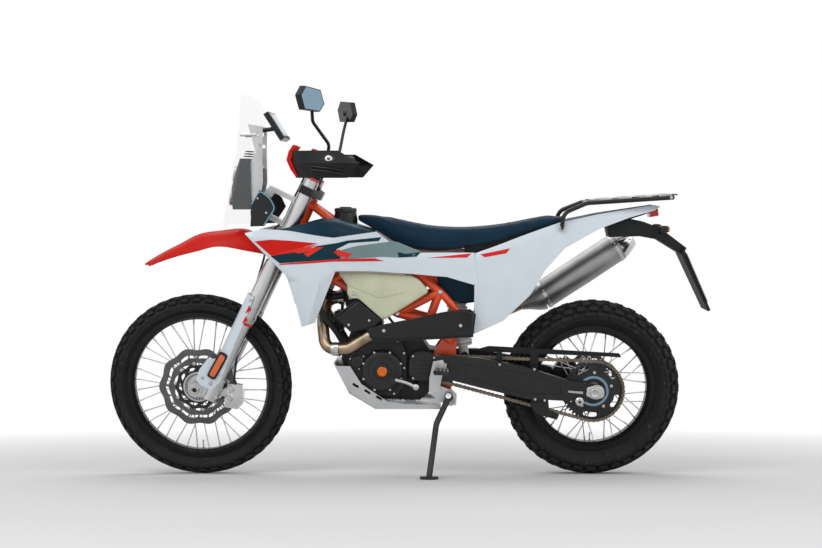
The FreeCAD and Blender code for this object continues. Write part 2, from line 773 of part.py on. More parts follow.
def engine():
    """Single cylinder engine: crankcase, round side covers, finned cylinder and head in one casting."""
    case = slab(CRANKCASE_OUTLINE, -ENGINE_HALF, ENGINE_HALF)
    flange = slab(CASE_FLANGE, -98, 98)
    left_profile = [
        (0, 90),
        (COVER_RADIUS, 90),
        (COVER_RADIUS, COVER_FACE - 12),
        ((COVER_RADIUS - 4, COVER_FACE - 4), (COVER_RADIUS - 12, COVER_FACE)),
        (COVER_RADIUS - 22, COVER_FACE),
        (COVER_RADIUS - 26, COVER_FACE - 3),
        (COVER_PLUG_RADIUS + 6, COVER_FACE - 3),
        (COVER_PLUG_RADIUS + 4, COVER_FACE + 1),
        (0, COVER_FACE + 1),
    ]
    covers = [
        ring(left_profile, COVER_CENTRE),
        cross_rod(STARTER_CENTRE, 36, 0, 104),
        cross_rod(STARTER_CENTRE, 24, 0, 110),
        cross_rod(COVER_CENTRE, COVER_RADIUS + 4, -122, 0),
        cross_rod(COVER_CENTRE, COVER_RADIUS - 14, -127, 0),
        cross_rod(STARTER_CENTRE, 34, -108, 0),
    ]
    for index in range(COVER_BOLTS):
        turn = 2 * math.pi * (index + 0.5) / COVER_BOLTS
        middle = COVER_CENTRE + V(math.cos(turn), 0, math.sin(turn)) * (COVER_RADIUS - 2)
        covers.append(cross_rod(middle, 6, 80, COVER_FACE - 6))
    body = fused([case, flange] + covers + cylinder())
    return body.cut(cross_rod(SWING_PIVOT, 10 + RUNNING_GAP, -200, 200))


def skid_plate():
    """Folded aluminium guard under the engine with upturned sides and drain slots."""
    thick = 4.0
    half = 118.0
    outer = [(962, 452), (905, 336), (806, 276), (560, 276)]
    inner = [(560, 276 + thick), (806 + 1, 276 + thick), (902, 339), (957, 452)]
    tray = slab(outer + inner, -half, half)
    wall_outline = [(957, 440), (902, 340), (806, 280), (560, 280), (560, 292), (690, 296), (762, 306), (858, 372), (900, 440)]
    wall = slab(wall_outline, half - thick, half)
    pad = slab([(656, 278), (696, 278), (696, 300 - SEAT_SETTING), (656, 300 - SEAT_SETTING)], 20, 44)
    body = fused([tray] + both(wall) + both(pad))
    slots = []
    for index in range(3):
        middle = at(880 - 44 * index, 0, 366 - 24 * index)
        slot = Part.makeBox(26, 400, 9, V(middle.x - 13, -200, middle.z - 4))
        slot.rotate(middle, Y_AXIS, -32)
        slots.append(slot)
    return body.cut(slots)


HEADER_PATH = [
    (927.6, 0, 689.9),
    (990, 0, 679.4),
    (1006, 62, 606),
    (992, 108, 502),
    (903, 132, 508),
    (826, 136, 556),
    (700, 134, 582),
    (470, 126, 600),
    (400, 40, 640),
    (376, -90, 630),
    (318, -169, 612.6),
    (250, -172, 640),
]
HEADER_POINTS = [at(*point) for point in HEADER_PATH]
HEADER_RADIUS = 22.0


def exhaust_header():
    """Header pipe from the head, round the front of the engine and back to the silencer."""
    return bent_tube(HEADER_POINTS, HEADER_RADIUS, 60)


SILENCER_FRONT = V(158, -176, 677)
SILENCER_REAR = V(-137, -186, 871)
SILENCER_RADIUS = 57.0
SILENCER_BANDS = (0.0, 0.94)


def silencer():
    """Silencer: inlet cone, straight can, and a turned end cap with its outlet."""
    along = (SILENCER_REAR - SILENCER_FRONT).normalize()
    joint = HEADER_POINTS[-1]
    start = joint + (SILENCER_FRONT - joint).normalize() * SEAT_SETTING
    cone_run = SILENCER_FRONT - start
    can_length = SILENCER_FRONT.distanceToPoint(SILENCER_REAR)
    cone = Part.makeCone(HEADER_RADIUS + 2, SILENCER_RADIUS, cone_run.Length, start, cone_run)
    can = Part.makeCylinder(SILENCER_RADIUS, can_length, SILENCER_FRONT, along)
    cap = Part.makeCone(SILENCER_RADIUS, 34, 62, SILENCER_REAR, along)
    bands = []
    for share in SILENCER_BANDS:
        bands.append(Part.makeCylinder(SILENCER_RADIUS + 2, 14, SILENCER_FRONT + along * share * can_length, along))
    body = fused([cone, can, cap] + bands)
    outlet = Part.makeCylinder(22, 90, SILENCER_REAR + along * 20, along)
    return body.cut(outlet)


def heat_shield():
    """Long moulded shield over the header on the left side."""
    outline = [
        (836, 588),
        ((640, 612), (452, 660)),
        (430, 640),
        (440, 556),
        ((620, 546), (808, 536)),
    ]
    pins = [cross_rod(at(780, 0, 565), 6, 134, 165), cross_rod(at(540, 0, 594), 6, 128, 165)]
    inside = [
        (828, 584),
        ((640, 606), (456, 654)),
        (435, 638),
        (444, 561),
        ((620, 551), (806, 541)),
    ]
    tray = slab(outline, 156, 168).cut(slab(inside, 155, 165))
    pipe_room = bent_tube(HEADER_POINTS, HEADER_RADIUS + SEAT_SETTING, 60)
    return fused([tray] + pins).cut(pipe_room).Solids[0]


def turned(profile, base, run):
    """Solid turned about a line; profile gives (radius, distance along the line)."""
    face = Part.Face(wire(profile, lambda r, a: V(r, 0, a)))
    solid = face.revolve(V(0, 0, 0), V(0, 0, 1), 360)
    solid.Placement = FreeCAD.Placement(base, FreeCAD.Rotation(V(0, 0, 1), run))
    return solid




def rear_shock():
    """Rear shock: damper body with its coil spring, and the two eyes."""
    run = SHOCK_LOW - SHOCK_TOP
    length = run.Length
    pitch = (length - 96) / SPRING_COILS
    profile = [(0, 0), (20, 0), (20, 46), (37, 46), (37, 52)]
    for coil in range(SPRING_COILS):
        start = 52 + coil * pitch
        profile.append((31, start))
        profile.append(((39, start + pitch / 2), (31, start + pitch * 0.98)))
    profile += [(37, length - 44), (37, length - 38), (18, length - 38), (18, length), (0, length)]
    body = [turned(profile, SHOCK_TOP, run)]
    holes = []
    for centre in (SHOCK_TOP, SHOCK_LOW):
        body.append(cross_rod(centre, 17, -SHOCK_EYE_HALF, SHOCK_EYE_HALF))
        holes.append(cross_rod(centre, SHOCK_PIN + SEAT_SETTING, -200, 200))
        holes.append(cross_rod(centre, 19, SHOCK_EYE_HALF, 200))
        holes.append(cross_rod(centre, 19, -200, -SHOCK_EYE_HALF))
    return fused(body).cut(holes)


# Body work

PANEL = 4.0
RADIATOR_OUTER = 150.0

SHROUD_ROWS = [
    (560, (400, 128), (860, 172), (1300, 172)),
    (780, (400, 136), (860, 186), (1300, 192)),
    (980, (400, 112), (860, 158), (1300, 190)),
]
SHROUD_OUTLINE = [
    (1271, 937),
    (1207, 953),
    (1110, 946),
    ((1020, 930), (949, 921)),
    (795, 942),
    (718, 886),
    (636, 866),
    (436, 864),
    (536, 777),
    (673, 790),
    (820, 800),
    (943, 800),
    (1023, 610),
    (1071, 596),
    (1112, 773),
]


def shroud():
    """Left shroud: the flared side panel from its nose beside the fork back to the seat seam."""
    wall = skin(SHROUD_ROWS, PANEL).common(slab(SHROUD_OUTLINE, 60, 260))
    peg = cross_rod(at(1026, 0, 810), 9, RADIATOR_OUTER + SEAT_SETTING, 188)
    return fused([wall, peg])


SIDE_ROWS = [
    (540, (-300, 70), (100, 118), (560, 136)),
    (780, (-300, 70), (100, 116), (560, 142)),
    (1060, (-300, 36), (100, 88), (560, 112)),
]
SIDE_OUTLINE = [
    (434, 862),
    (267, 922),
    (118, 974),
    (-29, 1004),
    (-236, 1036),
    (-257, 1030),
    (-236, 1016),
    ((-140, 990), (-29, 950)),
    (100, 880),
    (174, 799),
    (229, 707),
    (329, 612),
    (436, 564),
    (420, 741),
    (534, 774),
]


def side_panel():
    """Left rear side panel, from the seam under the seat to the end of the tail."""
    wall = skin(SIDE_ROWS, PANEL)
    return wall.common(slab(SIDE_OUTLINE, 20, 260))


def side_panel_right():
    """Right rear side panel, cut short above the exhaust pipe."""
    above = slab([(-300, 700), (600, 700), (600, 1100), (-300, 1100)], -300, 0)
    return mirrored(side_panel()).common(above)


TAIL_STATIONS = [
    (470, 96, 806, 882.9),
    (337, 90, 838, 907.7),
    (186, 80, 882, 953.7),
    (92, 70, 908, 973.7),
    (-29, 58, 948, 996),
    (-200, 42, 1000, 1022),
    (-252, 33, 1018, 1030),
]


def tail():
    """Tail between the side panels: the seat's bed, running out to a thin upswept end."""
    sections = []
    for x, half, low, top in TAIL_STATIONS:
        sections.append((x, [(-half, low), (half, low), (half, top), (-half, top)]))
    body = station_loft(sections)
    panel_room = skin(SIDE_ROWS, PANEL + SEAT_SETTING)
    pegs = [cross_rod(V(330, 0, 872), 9, 80, 122), cross_rod(V(60, 0, 950), 7, 50, 94.5)]
    left = [min(peg.cut(panel_room).Solids, key=lambda piece: piece.CenterOfMass.y) for peg in pegs]
    return fused([body] + left + [mirrored(peg) for peg in left])


SEAT_STATIONS = [
    (872, 34, 984, 1008),
    (800, 60, 946, 1004),
    (714, 92, 894, 981),
    (601, 112, 872, 958),
    (487, 118, 880, 951),
    (337, 112, 908, 962),
    (186, 92, 954, 990),
    (92, 64, 974, 1006),
]


def seat():
    """One piece seat with a crowned top; each station is (x, half width, low z, top z)."""
    sections = []
    for x, half, low, top in SEAT_STATIONS:
        dome = 0.10 * half
        outline = [
            (-half, low),
            (half, low),
            (half, top - 14 - dome),
            (0.8 * half, top - dome),
            (0, top),
            (-0.8 * half, top - dome),
            (-half, top - 14 - dome),
        ]
        sections.append((x, outline))
    return station_loft(sections)


TANK_STATIONS = [
    (1176, 166, 928, 948),
    (1110, 172, 908, 968),
    (1046, 172, 890, 986),
    (950, 150, 890, 990),
    (880, 116, 892, 966),
    (806, 84, 912, 944),
]
CAP_CENTRE = at(918, 0, 1010)
STEERING_ROOM = 148.0


def fuel_tank():
    """Top of the fuel tank, cut away round the turning fork, with its raised filler neck."""
    sections = []
    for x, half, low, top in TANK_STATIONS:
        outline = [
            (-half, low),
            (half, low),
            (half, top - 18),
            (0.6 * half, top),
            (-0.6 * half, top),
            (-half, top - 18),
        ]
        sections.append((x, outline))
    body = station_loft(sections)
    neck = Part.makeCone(46, 40, 60, CAP_CENTRE - V(0, 0, 60), V(0, 0, 1))
    room = [rod(steer_point(520), steer_point(960), STEERING_ROOM)]
    room += both(rod(TRELLIS["head_top"], TRELLIS["tank_top"], FRAME_TUBE + 1))
    return fused([body, neck]).cut(room)


def fuel_cap():
    """Screw cap on the filler neck."""
    return Part.makeCylinder(42, 14, CAP_CENTRE + V(0, 0, SEAT_SETTING), V(0, 0, 1))


LOWER_TANK_OUTLINE = [
    (939, 793),
    (900, 745),
    (905, 716),
    ((884, 690), (866, 700)),
    (771, 616),
    (602, 722),
    (640, 770),
    (670, 784),
    (820, 794),
]


def lower_tank():
    """Left lower fuel cell, the pale moulded tank outside the frame."""
    cell = slab(LOWER_TANK_OUTLINE, 134, 158)
    boss = cross_rod(at(881, 0, 717), 13, 86, 135)
    return fused([cell, boss]).cut(frame_room("front_low", "low_joint"))


def canister():
    """Dark box below the left fuel cell."""
    outline = [(950, 626), (862, 692), (775, 616), (800, 590), (890, 568)]
    tab = slab([(840, 650), (862, 650), (858, 700), (844, 700)], 86, 121)
    box = slab(outline, 120, 152)
    slope = (at(950, 152, 626) + at(862, 152, 692)) * 0.5
    rim_edge = min(box.Edges, key=lambda edge: edge.CenterOfMass.distanceToPoint(slope))
    box = box.makeChamfer(14, [rim_edge])
    return fused([box, tab]).cut(frame_room("front_low", "low_joint"))


def radiator():
    """Left radiator behind the shroud, with the hose that feeds it from the cylinder head."""
    core = slab([(1006, 866), (1042, 866), (1038, 660), (1002, 660)], 92, RADIATOR_OUTER)
    tube = frame_room("head_low", "front_low")
    mount = rod(at(1024, 94, 800), at(992, 71, 800), 7)
    hose = bent_tube(
        [at(1022, 96, 716), at(1000, 74, 706), up_cylinder(110, 44, 172), up_cylinder(66, 44, 172)],
        13,
        40,
    )
    return fused([core, mount, hose]).cut(tube)


# Front end


def clamp(up, thick, reach_back):
    """Triple clamp plate across both fork legs at a height along the steering axis."""
    half = LEG_SPACING / 2
    base = steer_point(up)
    corners = [
        (-reach_back, -34),
        (CLAMP_OFFSET - 20, -half - 36),
        (CLAMP_OFFSET + 26, -half - 34),
        (CLAMP_OFFSET + 34, -half + 24),
        (CLAMP_OFFSET + 18, 0),
        (CLAMP_OFFSET + 34, half - 24),
        (CLAMP_OFFSET + 26, half + 34),
        (CLAMP_OFFSET - 20, half + 36),
        (-reach_back, 34),
    ]
    face = Part.Face(wire(corners, lambda a, left: base + STEER_AHEAD * a + V(0, left, 0)))
    return face.extrude(STEER_UP * thick)


UPPER_CLAMP_THICK = 30.0
LOWER_CLAMP_THICK = 34.0
UPPER_CLAMP_AT = HEAD_TUBE_HIGH + MOVING_GAP + 1
LOWER_CLAMP_AT = HEAD_TUBE_LOW - MOVING_GAP - 1 - LOWER_CLAMP_THICK
LEG_UPPER_RADIUS = 27.0
LEG_LOWER_RADIUS = 24.0
LEG_TOP = UPPER_CLAMP_AT + 58
LEG_SPLIT = 319.0
LEG_FOOT = 46.0
WIPER_LENGTH = 16.0
LUG_RADIUS = 29.0


def fork_leg(hand):
    """One fork leg: outer tube above, inner tube below."""
    left = hand * LEG_SPACING / 2
    top = steer_point(LEG_TOP, CLAMP_OFFSET, left)
    step = steer_point(LOWER_CLAMP_AT - 48, CLAMP_OFFSET, left)
    split = steer_point(LEG_SPLIT, CLAMP_OFFSET, left)
    bottom = steer_point(LEG_FOOT, CLAMP_OFFSET, left)
    outer = rod(split, step, LEG_UPPER_RADIUS + 2.5)
    upper = rod(step, top, LEG_UPPER_RADIUS)
    inner = rod(bottom, split, LEG_LOWER_RADIUS)
    wiper = rod(split - STEER_UP * WIPER_LENGTH, split, LEG_UPPER_RADIUS)
    screw_cap = rod(top, top + STEER_UP * 6, 14)
    return fused([outer, upper, inner, wiper, screw_cap])


def axle_lug(hand):
    """Cast lug at the foot of a fork leg that holds the axle ahead of the leg."""
    left = hand * LEG_SPACING / 2
    y0 = left - 28
    foot = rod(steer_point(-14, CLAMP_OFFSET, left), steer_point(80, CLAMP_OFFSET, left), LUG_RADIUS)
    boss = cross_rod(FRONT_AXLE, 26, y0, y0 + 56)
    centre = steer_point(20, CLAMP_OFFSET, 0)
    web = slab(
        [
            (FRONT_AXLE.x - 6, FRONT_AXLE.z + 25),
            (FRONT_AXLE.x - 6, FRONT_AXLE.z - 25),
            (centre.x - 20, centre.z - 26),
            (centre.x - 10, centre.z + 44),
        ],
        y0 + 6,
        y0 + 50,
        V,
    )
    body = fused([foot, boss, web])
    leg_hole = rod(
        steer_point(LEG_FOOT - SEAT_SETTING, CLAMP_OFFSET, left),
        steer_point(200, CLAMP_OFFSET, left),
        LEG_LOWER_RADIUS + SEAT_SETTING,
    )
    return body.cut([leg_hole, cross_rod(FRONT_AXLE, AXLE_RADIUS + SEAT_SETTING, -200, 200)])


def front_axle():
    """Hollow front axle through both lugs."""
    half = LEG_SPACING / 2 + 34
    bar = cross_rod(FRONT_AXLE, AXLE_RADIUS, -half, half)
    spacers = both(cross_rod(FRONT_AXLE, 19, FRONT_HUB_HALF + 2, LEG_SPACING / 2 - 28 - SEAT_SETTING))
    return fused([bar] + spacers).cut(cross_rod(FRONT_AXLE, AXLE_BORE, -200, 200))


def triple_clamps():
    """Both triple clamps with the steering stem between them, bored for the legs."""
    upper = clamp(UPPER_CLAMP_AT, UPPER_CLAMP_THICK, 40)
    lower = clamp(LOWER_CLAMP_AT, LOWER_CLAMP_THICK, 34)
    stem = rod(steer_point(LOWER_CLAMP_AT + 1), steer_point(UPPER_CLAMP_AT + 34), STEM_RADIUS)
    nut = rod(steer_point(UPPER_CLAMP_AT + 29), steer_point(UPPER_CLAMP_AT + 42), 22)
    body = fused([upper, lower, stem, nut])
    holes = []
    for hand in (1, -1):
        left = hand * LEG_SPACING / 2
        low = steer_point(LOWER_CLAMP_AT - 18, CLAMP_OFFSET, left)
        high = steer_point(LEG_TOP + 4, CLAMP_OFFSET, left)
        holes.append(rod(low, high, LEG_UPPER_RADIUS + SEAT_SETTING))
    return body.cut(holes)


BAR_CENTRE = steer_point(UPPER_CLAMP_AT + 102.5, 10.8)
BAR_RADIUS = 11.0


def from_bar(x, y, z):
    """Point given from the middle of the handlebar."""
    return BAR_CENTRE + V(x, y, z)


BAR_BEND = from_bar(-36, 200, 34)
BAR_END = from_bar(-86, 392, 40)


def bar_points():
    """Corner points of the handlebar's left half."""
    return [BAR_CENTRE, from_bar(0, 90, 0), BAR_BEND, BAR_END]


def handlebar():
    """Handlebar with its two risers on the upper clamp."""
    half = bar_points()
    left = [V(p.x, -p.y, p.z) for p in half[:0:-1]]
    tube = bent_tube(left + half[1:], BAR_RADIUS, 60)
    risers = []
    foot = steer_point(UPPER_CLAMP_AT + UPPER_CLAMP_THICK + SEAT_SETTING, 6, 45)
    head = foot + STEER_UP * 96
    risers += both(rod(foot, head, 15))
    return fused([tube] + risers)


def hand_grip(hand):
    """Rubber grip on one end of the handlebar."""
    run = (BAR_END - BAR_BEND).normalize()
    start = BAR_BEND + run * 72
    end = BAR_END - run * 2
    grip = rod(start, end, 17).cut(rod(start - run, end + run, BAR_RADIUS + SEAT_SETTING))
    return grip if hand > 0 else mirrored(grip)


FENDER_STATIONS = [
    (1681, 20, 806, 810, 814),
    (1610, 50, 828, 846, 855),
    (1543, 66, 848, 874, 889),
    (1464, 82, 868, 906, 928),
    (1402, 92, 884, 918, 938),
    (1272, 96, 868, 914, 936),
    (1212, 84, 856, 884, 893),
]


def front_fender():
    """High front fender with the flat plate that bolts it under the lower clamp."""
    shell = arch_loft(FENDER_STATIONS, 4.0)
    top = LOWER_CLAMP_AT - SEAT_SETTING
    base = steer_point(top - 10)
    corners = [(-56, -46), (78, -52), (78, 52), (-56, 46)]
    face = Part.Face(wire(corners, lambda a, left: base + STEER_AHEAD * a + V(0, left, 0)))
    return fused([shell, face.extrude(STEER_UP * 10)])


GUARD_OUTLINE = [
    (1280, 716),
    (1326, 700),
    (1352, 620),
    (1390, 520),
    (1462, 430),
    (1476, 392),
    (1462, 372),
    (1418, 352),
    (1386, 384),
    (1340, 495),
    (1282, 620),
    (1250, 700),
]


def fork_guard():
    """Left fork guard: a half tube in front of the leg with a foot over the axle lug."""
    left = LEG_SPACING / 2
    low = steer_point(100, CLAMP_OFFSET, left)
    high = steer_point(480, CLAMP_OFFSET, left)
    tube = pipe(low, high, 38, 34.5)
    half = tube.common(slab(GUARD_OUTLINE, left - 20, 300))
    foot = slab(GUARD_OUTLINE, left + LUG_RADIUS + SEAT_SETTING, left + LUG_RADIUS + 4)
    below = slab([(1250, 300), (1560, 300), (1560, 470), (1250, 470)], 0, 300)
    body = fused([half, foot.common(below)])
    return body.cut(cross_rod(FRONT_AXLE, 22, 0, 300))


def brake_caliper(middle, turn, y_disc, inner, outer):
    """Caliper over a disc, drawn at its centre with its long side turned from level."""
    body = Part.makeBox(92, outer - inner, 52, V(-46, inner, -26))
    body = body.fuse(Part.makeBox(60, outer - inner, 20, V(-30, inner, 18)))
    gap = Part.makeBox(130, DISC_THICKNESS + 2 * MOVING_GAP, 60, V(-65, y_disc - MOVING_GAP, -34))
    body = body.cut(gap)
    body.Placement = FreeCAD.Placement(V(middle.x, 0, middle.z), FreeCAD.Rotation(Y_AXIS, turn))
    return body


def front_caliper():
    """Front caliper behind the left leg with the bracket to the axle lug."""
    body = brake_caliper(FRONT_AXLE + V(-133, 0, -32.7), -100, FRONT_DISC_AT, 36, 82)
    outline = [(-125, -58.7), (-65, -28.7), (-69, 1.3), (-121, -0.7)]
    bracket = slab(outline, 71, 75.5, lambda x, y, z: FRONT_AXLE + V(x, y, z))
    left = LEG_SPACING / 2
    room = LUG_RADIUS + SEAT_SETTING
    lug_room = rod(steer_point(-40, CLAMP_OFFSET, left), steer_point(120, CLAMP_OFFSET, left), room)
    return fused([body, bracket]).cut(lug_room)


def rear_caliper():
    """Rear caliper ahead of the axle on the right, on its bracket round the axle."""
    body = brake_caliper(behind_axle(96, 0, 398), 55, REAR_DISC_AT, -100, -60)
    arm = slab([(20, 322), (110, 366), (120, 420), (80, 424), (-10, 360)], -101, -97, behind_axle)
    eye = cross_rod(REAR_AXLE, 30, -101, -97)
    return fused([body, arm, eye]).cut(cross_rod(REAR_AXLE, SPACER_RADIUS + SEAT_SETTING, -200, 200))


GUARD_ROWS = [
    (-30, (-132, 404), (-2, 392), (54, 250)),
    (20, (-176, 408), (18, 404), (68, 232)),
    (62, (-102, 408), (24, 396), (62, 240)),
]
GUARD_WALL = 4.0


def handguard():
    """Left handguard: a curved shield from the bar end round the front of the grip."""
    shield = skin(GUARD_ROWS, GUARD_WALL, from_bar)
    bolt = cross_rod(BAR_END + V(2, 0, 0), 9, BAR_END.y + 1, BAR_END.y + 14)
    inner = rod(from_bar(-34, 194, 35), from_bar(64, 250, 24), 7)
    return fused([shield, inner]).cut([bolt, bar_room()])


def bar_room():
    """Space that the left half of the handlebar takes, with its seat setting."""
    return bent_tube(bar_points(), BAR_RADIUS + SEAT_SETTING, 60)


# Mirror stalk bends and head centre from the bar's middle, left then right
MIRROR_KNEE = {1: (-2, 262, 164), -1: (-68, 262, 154)}
MIRROR_HEAD = {1: (-6, 330, 238), -1: (-82, 330, 228)}
MIRROR_OUTLINE = [(-74, -14), (-50, 34), (44, 42), (74, 10), (52, -38), (-44, -42)]
MIRROR_DEPTH = 16.0


def mirror(hand):
    """Mirror with its stalk and clamp on the handlebar."""
    head_at = from_bar(*MIRROR_HEAD[hand])
    stalk = bent_tube([from_bar(-50, 222, 56), from_bar(-56, 232, 86), from_bar(*MIRROR_KNEE[hand]), head_at], 6, 30)
    ball = Part.makeSphere(13, head_at + V(12, 0, -6))
    grip = cross_rod(from_bar(-43, 0, 37), 19, 212, 234)
    head = Part.Face(wire(MIRROR_OUTLINE, lambda y, z: V(0, y, z))).extrude(V(MIRROR_DEPTH, 0, 0))
    head.Placement = FreeCAD.Placement(head_at, FreeCAD.Rotation(V(0, 0, 1), -28))
    body = fused([stalk, grip, head, ball]).cut(bar_room())
    return body if hand > 0 else mirrored(body)


def lever():
    """Left lever on its perch beside the grip."""
    perch = slab([(-58, 20), (-12, 30), (-8, 56), (-56, 54)], 242, 262, from_bar)
    blade = bent_tube([from_bar(-12, 252, 42), from_bar(-2, 300, 40), from_bar(-22, 380, 34)], 5.5, 40)
    return fused([perch, blade]).cut(bar_room())


def front_hose():
    """Brake hose from the right lever down the left leg to the front caliper."""
    points = [
        from_bar(-4, -248, 58),
        from_bar(68, -208, 70),
        steer_point(872, 70, -170),
        steer_point(800, 66, -114),
        steer_point(704, 64, -118),
        steer_point(648, 84, -94),
        steer_point(644, 88, 0),
        steer_point(642, 84, 92),
        steer_point(572, 50, 114),
        steer_point(455, 39, 66),
        steer_point(372, 24, 60),
        steer_point(176, -9, 66),
        steer_point(77, -44, 71),
    ]
    return bent_tube(points, 4, 60)


SCREEN_WALL = 3.0
SCREEN_ROWS = [
    (960, (1222, -128), (1384, 0), (1222, 128)),
    (1200, (1222, -118), (1330, 0), (1222, 118)),
    (1400, (1232, -98), (1306, 0), (1232, 98)),
    (1436, (1262, -70), (1303, 0), (1262, 70)),
]


def windscreen():
    """Tall clear screen, curved round the lamp unit."""
    return skin(SCREEN_ROWS, SCREEN_WALL)


def lamp_unit():
    """Headlight unit: a dark housing with two lamps one above the other."""
    side_outline = [(1262, 1020), (1330, 1020), (1338, 1100), (1300, 1206), (1262, 1206)]
    body = slab(side_outline, -72, 72)
    glasses = []
    for x, z in ((1322, 1062), (1306, 1146)):
        glasses.append(Part.makeCylinder(33, 30, at(x - 6, 0, z), V(0.97, 0, 0.24)))
    return fused([body] + glasses).common(behind_screen(SCREEN_WALL + MOVING_GAP))


def behind_screen(inset):
    """Space behind the screen's outer face, drawn in by a distance."""
    wires = []
    for z, rear, middle, front in SCREEN_ROWS:
        outline = [(rear[0], rear[1] + inset), ((middle[0] - inset, 0), (front[0], front[1] - inset))]
        wires.append(wire(outline, lambda x, y, z=z: at(x, y, z)))
    return Part.makeLoft(wires, True, True)


TOWER_OUTLINE = [
    (1238, 1024),
    (1218, 1120),
    (1218, 1226),
    (1214, 1322),
    (1268, 1330),
    (1242, 1228),
    (1261.7, 1190),
    (1261.7, 1050),
]
TOWER_HALF = 58.0
TOWER_PLATE = 4.0
TOWER_ROD = at(1228, 0, 1310)
TOWER_ROD_RADIUS = 7.0
# Bracket outline ahead of the head tube and its window, (ahead, height above the tube's foot)
BRACKET_OUTLINE = [(150, 42), (176, 94), (150, 158)]
BRACKET_WINDOW = [(52, 60), (128, 60), (140, 94), (128, 140), (52, 140)]


def head_plate(points, y0, y1):
    """Plate ahead of the head tube, its outline given as (ahead, height above the tube's foot)."""
    face = Part.Face(wire(points, lambda a, up: steer_point(HEAD_TUBE_LOW + up, a, y0)))
    return face.extrude(V(0, y1 - y0, 0))


def nose_tower():
    """Bracket on the steering head that carries lamp, screen and display."""
    root = HEAD_TUBE_RADIUS + SEAT_SETTING
    bracket = head_plate([(root, 42), *BRACKET_OUTLINE, (root, 158)], -26, 26)
    bracket = bracket.cut(head_plate(BRACKET_WINDOW, -27, 27))
    inner = TOWER_HALF - TOWER_PLATE
    plate = slab(TOWER_OUTLINE, inner, TOWER_HALF)
    plate = plate.cut([cross_rod(at(1236, 0, 1296), 10, 0, 100), cross_rod(at(1228, 0, 1252), 7, 0, 100)])
    bars = [
        slab([(1237, 1038), (1251, 1038), (1251, 1058), (1237, 1058)], 1 - TOWER_HALF, TOWER_HALF - 1),
        cross_rod(TOWER_ROD, TOWER_ROD_RADIUS, 1 - TOWER_HALF, TOWER_HALF - 1),
        slab([(1224, 1170), (1250, 1170), (1250, 1182), (1224, 1182)], 1 - TOWER_HALF, TOWER_HALF - 1),
    ]
    posts = both(rod(at(1238, 56, 1292), at(1298, 56, 1292), 6))
    body = fused([bracket] + both(plate) + bars + posts)
    return body.cut(skin(SCREEN_ROWS, SCREEN_WALL + SEAT_SETTING))


DISPLAY_SIZE = V(20, 176, 112)
DISPLAY_AT = at(1168, 0, 1322)
DISPLAY_TILT = 32.0


def display():
    """Navigation display on the tower, facing the rider."""
    body = Part.makeBox(*DISPLAY_SIZE, DISPLAY_SIZE * -0.5)
    body.Placement = FreeCAD.Placement(DISPLAY_AT, FreeCAD.Rotation(Y_AXIS, DISPLAY_TILT))
    arm = rod(DISPLAY_AT + V(8, 0, -6), TOWER_ROD - V(7, 0, 0), 8)
    return fused([body, arm]).cut(cross_rod(TOWER_ROD, TOWER_ROD_RADIUS + SEAT_SETTING, -57, 57))


FAIRING_ROWS = [
    (940, (1150, 141), (1210, 143), (1262, 138)),
    (1100, (1150, 138), (1206, 140), (1262, 134)),
]


def lower_fairing():
    """Left lower fairing, a small curved panel between screen and shroud."""
    outline = [(1204, 962), (1256, 960), (1250, 1040), (1218, 1092), (1176, 1062), (1160, 1026)]
    panel = skin(FAIRING_ROWS, 3.0).common(slab(outline, 60, 200))
    pad = slab([(1234, 1000), (1254, 1000), (1254, 1020), (1234, 1020)], 124, 138)
    return fused([panel, pad]).cut(behind_screen(-SEAT_SETTING))


RACK_AT = V(0, 0, 1052)
RACK_TURN = 3.8
RACK_BOLT_CIRCLE = 84.0
RACK_BOLT_CENTRE = -158.0
RACK_BOLTS = [
    (RACK_BOLT_CENTRE + RACK_BOLT_CIRCLE / 2 * math.cos(turn), RACK_BOLT_CIRCLE / 2 * math.sin(turn))
    for turn in (0.0, math.pi / 2, math.pi, -math.pi / 2)
]


def rack():
    """Luggage rack: a slotted plate on two bent tubes with cross bars."""
    plate = Part.makeBox(320, 168, 5, V(-314, -84, 0))
    slots = []
    for column in range(4):
        for row in (-1, 1):
            slots.append(Part.makeBox(46, 34, 7, V(-292 + 74 * column, row * 42 - 17, -1)))
    for x, y in RACK_BOLTS:
        slots.append(Part.makeCylinder(3.3, 7, V(x, y, -1)))
    plate = plate.cut(slots)
    plate.Placement = FreeCAD.Placement(RACK_AT, FreeCAD.Rotation(Y_AXIS, RACK_TURN))
    left = bent_tube([V(114, 112, 948), V(108, 110, 1008), V(20, 92, 1044), V(-300, 80, 1064)], 8, 40)
    foot = cross_rod(V(114, 0, 952), 9, 101.3, 112)
    cross = [cross_rod(V(14, 0, 1044), 8, -92, 92), cross_rod(V(-296, 0, 1063.7), 8, -80, 80)]
    return fused([plate] + both(left) + cross + both(foot))


def plate_holder():
    """Rear fender arm under the tail with its blank number plate."""
    arm = slab(
        [(-60, 957), (-150, 984.4), (-196, 975), (-262, 950), (-362, 876), (-346, 850), (-250, 908), (-183, 920), (-70, 916)],
        -42,
        42,
    )
    blade = slab([(-346, 880), (-340, 852), (-446, 640), (-456, 644)], -62, 62)
    return fused([arm, blade])


def number_plate():
    """Blank number plate on the back of its holder."""
    return slab([(-357.1, 857.5), (-358.5, 858.1), (-442.7, 676.8), (-441.3, 676.2)], -75, 75)


def tail_lamp():
    """Red tail lamp under the end of the tail."""
    return slab([(-256, 996), (-252, 1017.6), (-224, 1007.9), (-222, 990)], -30, 30)


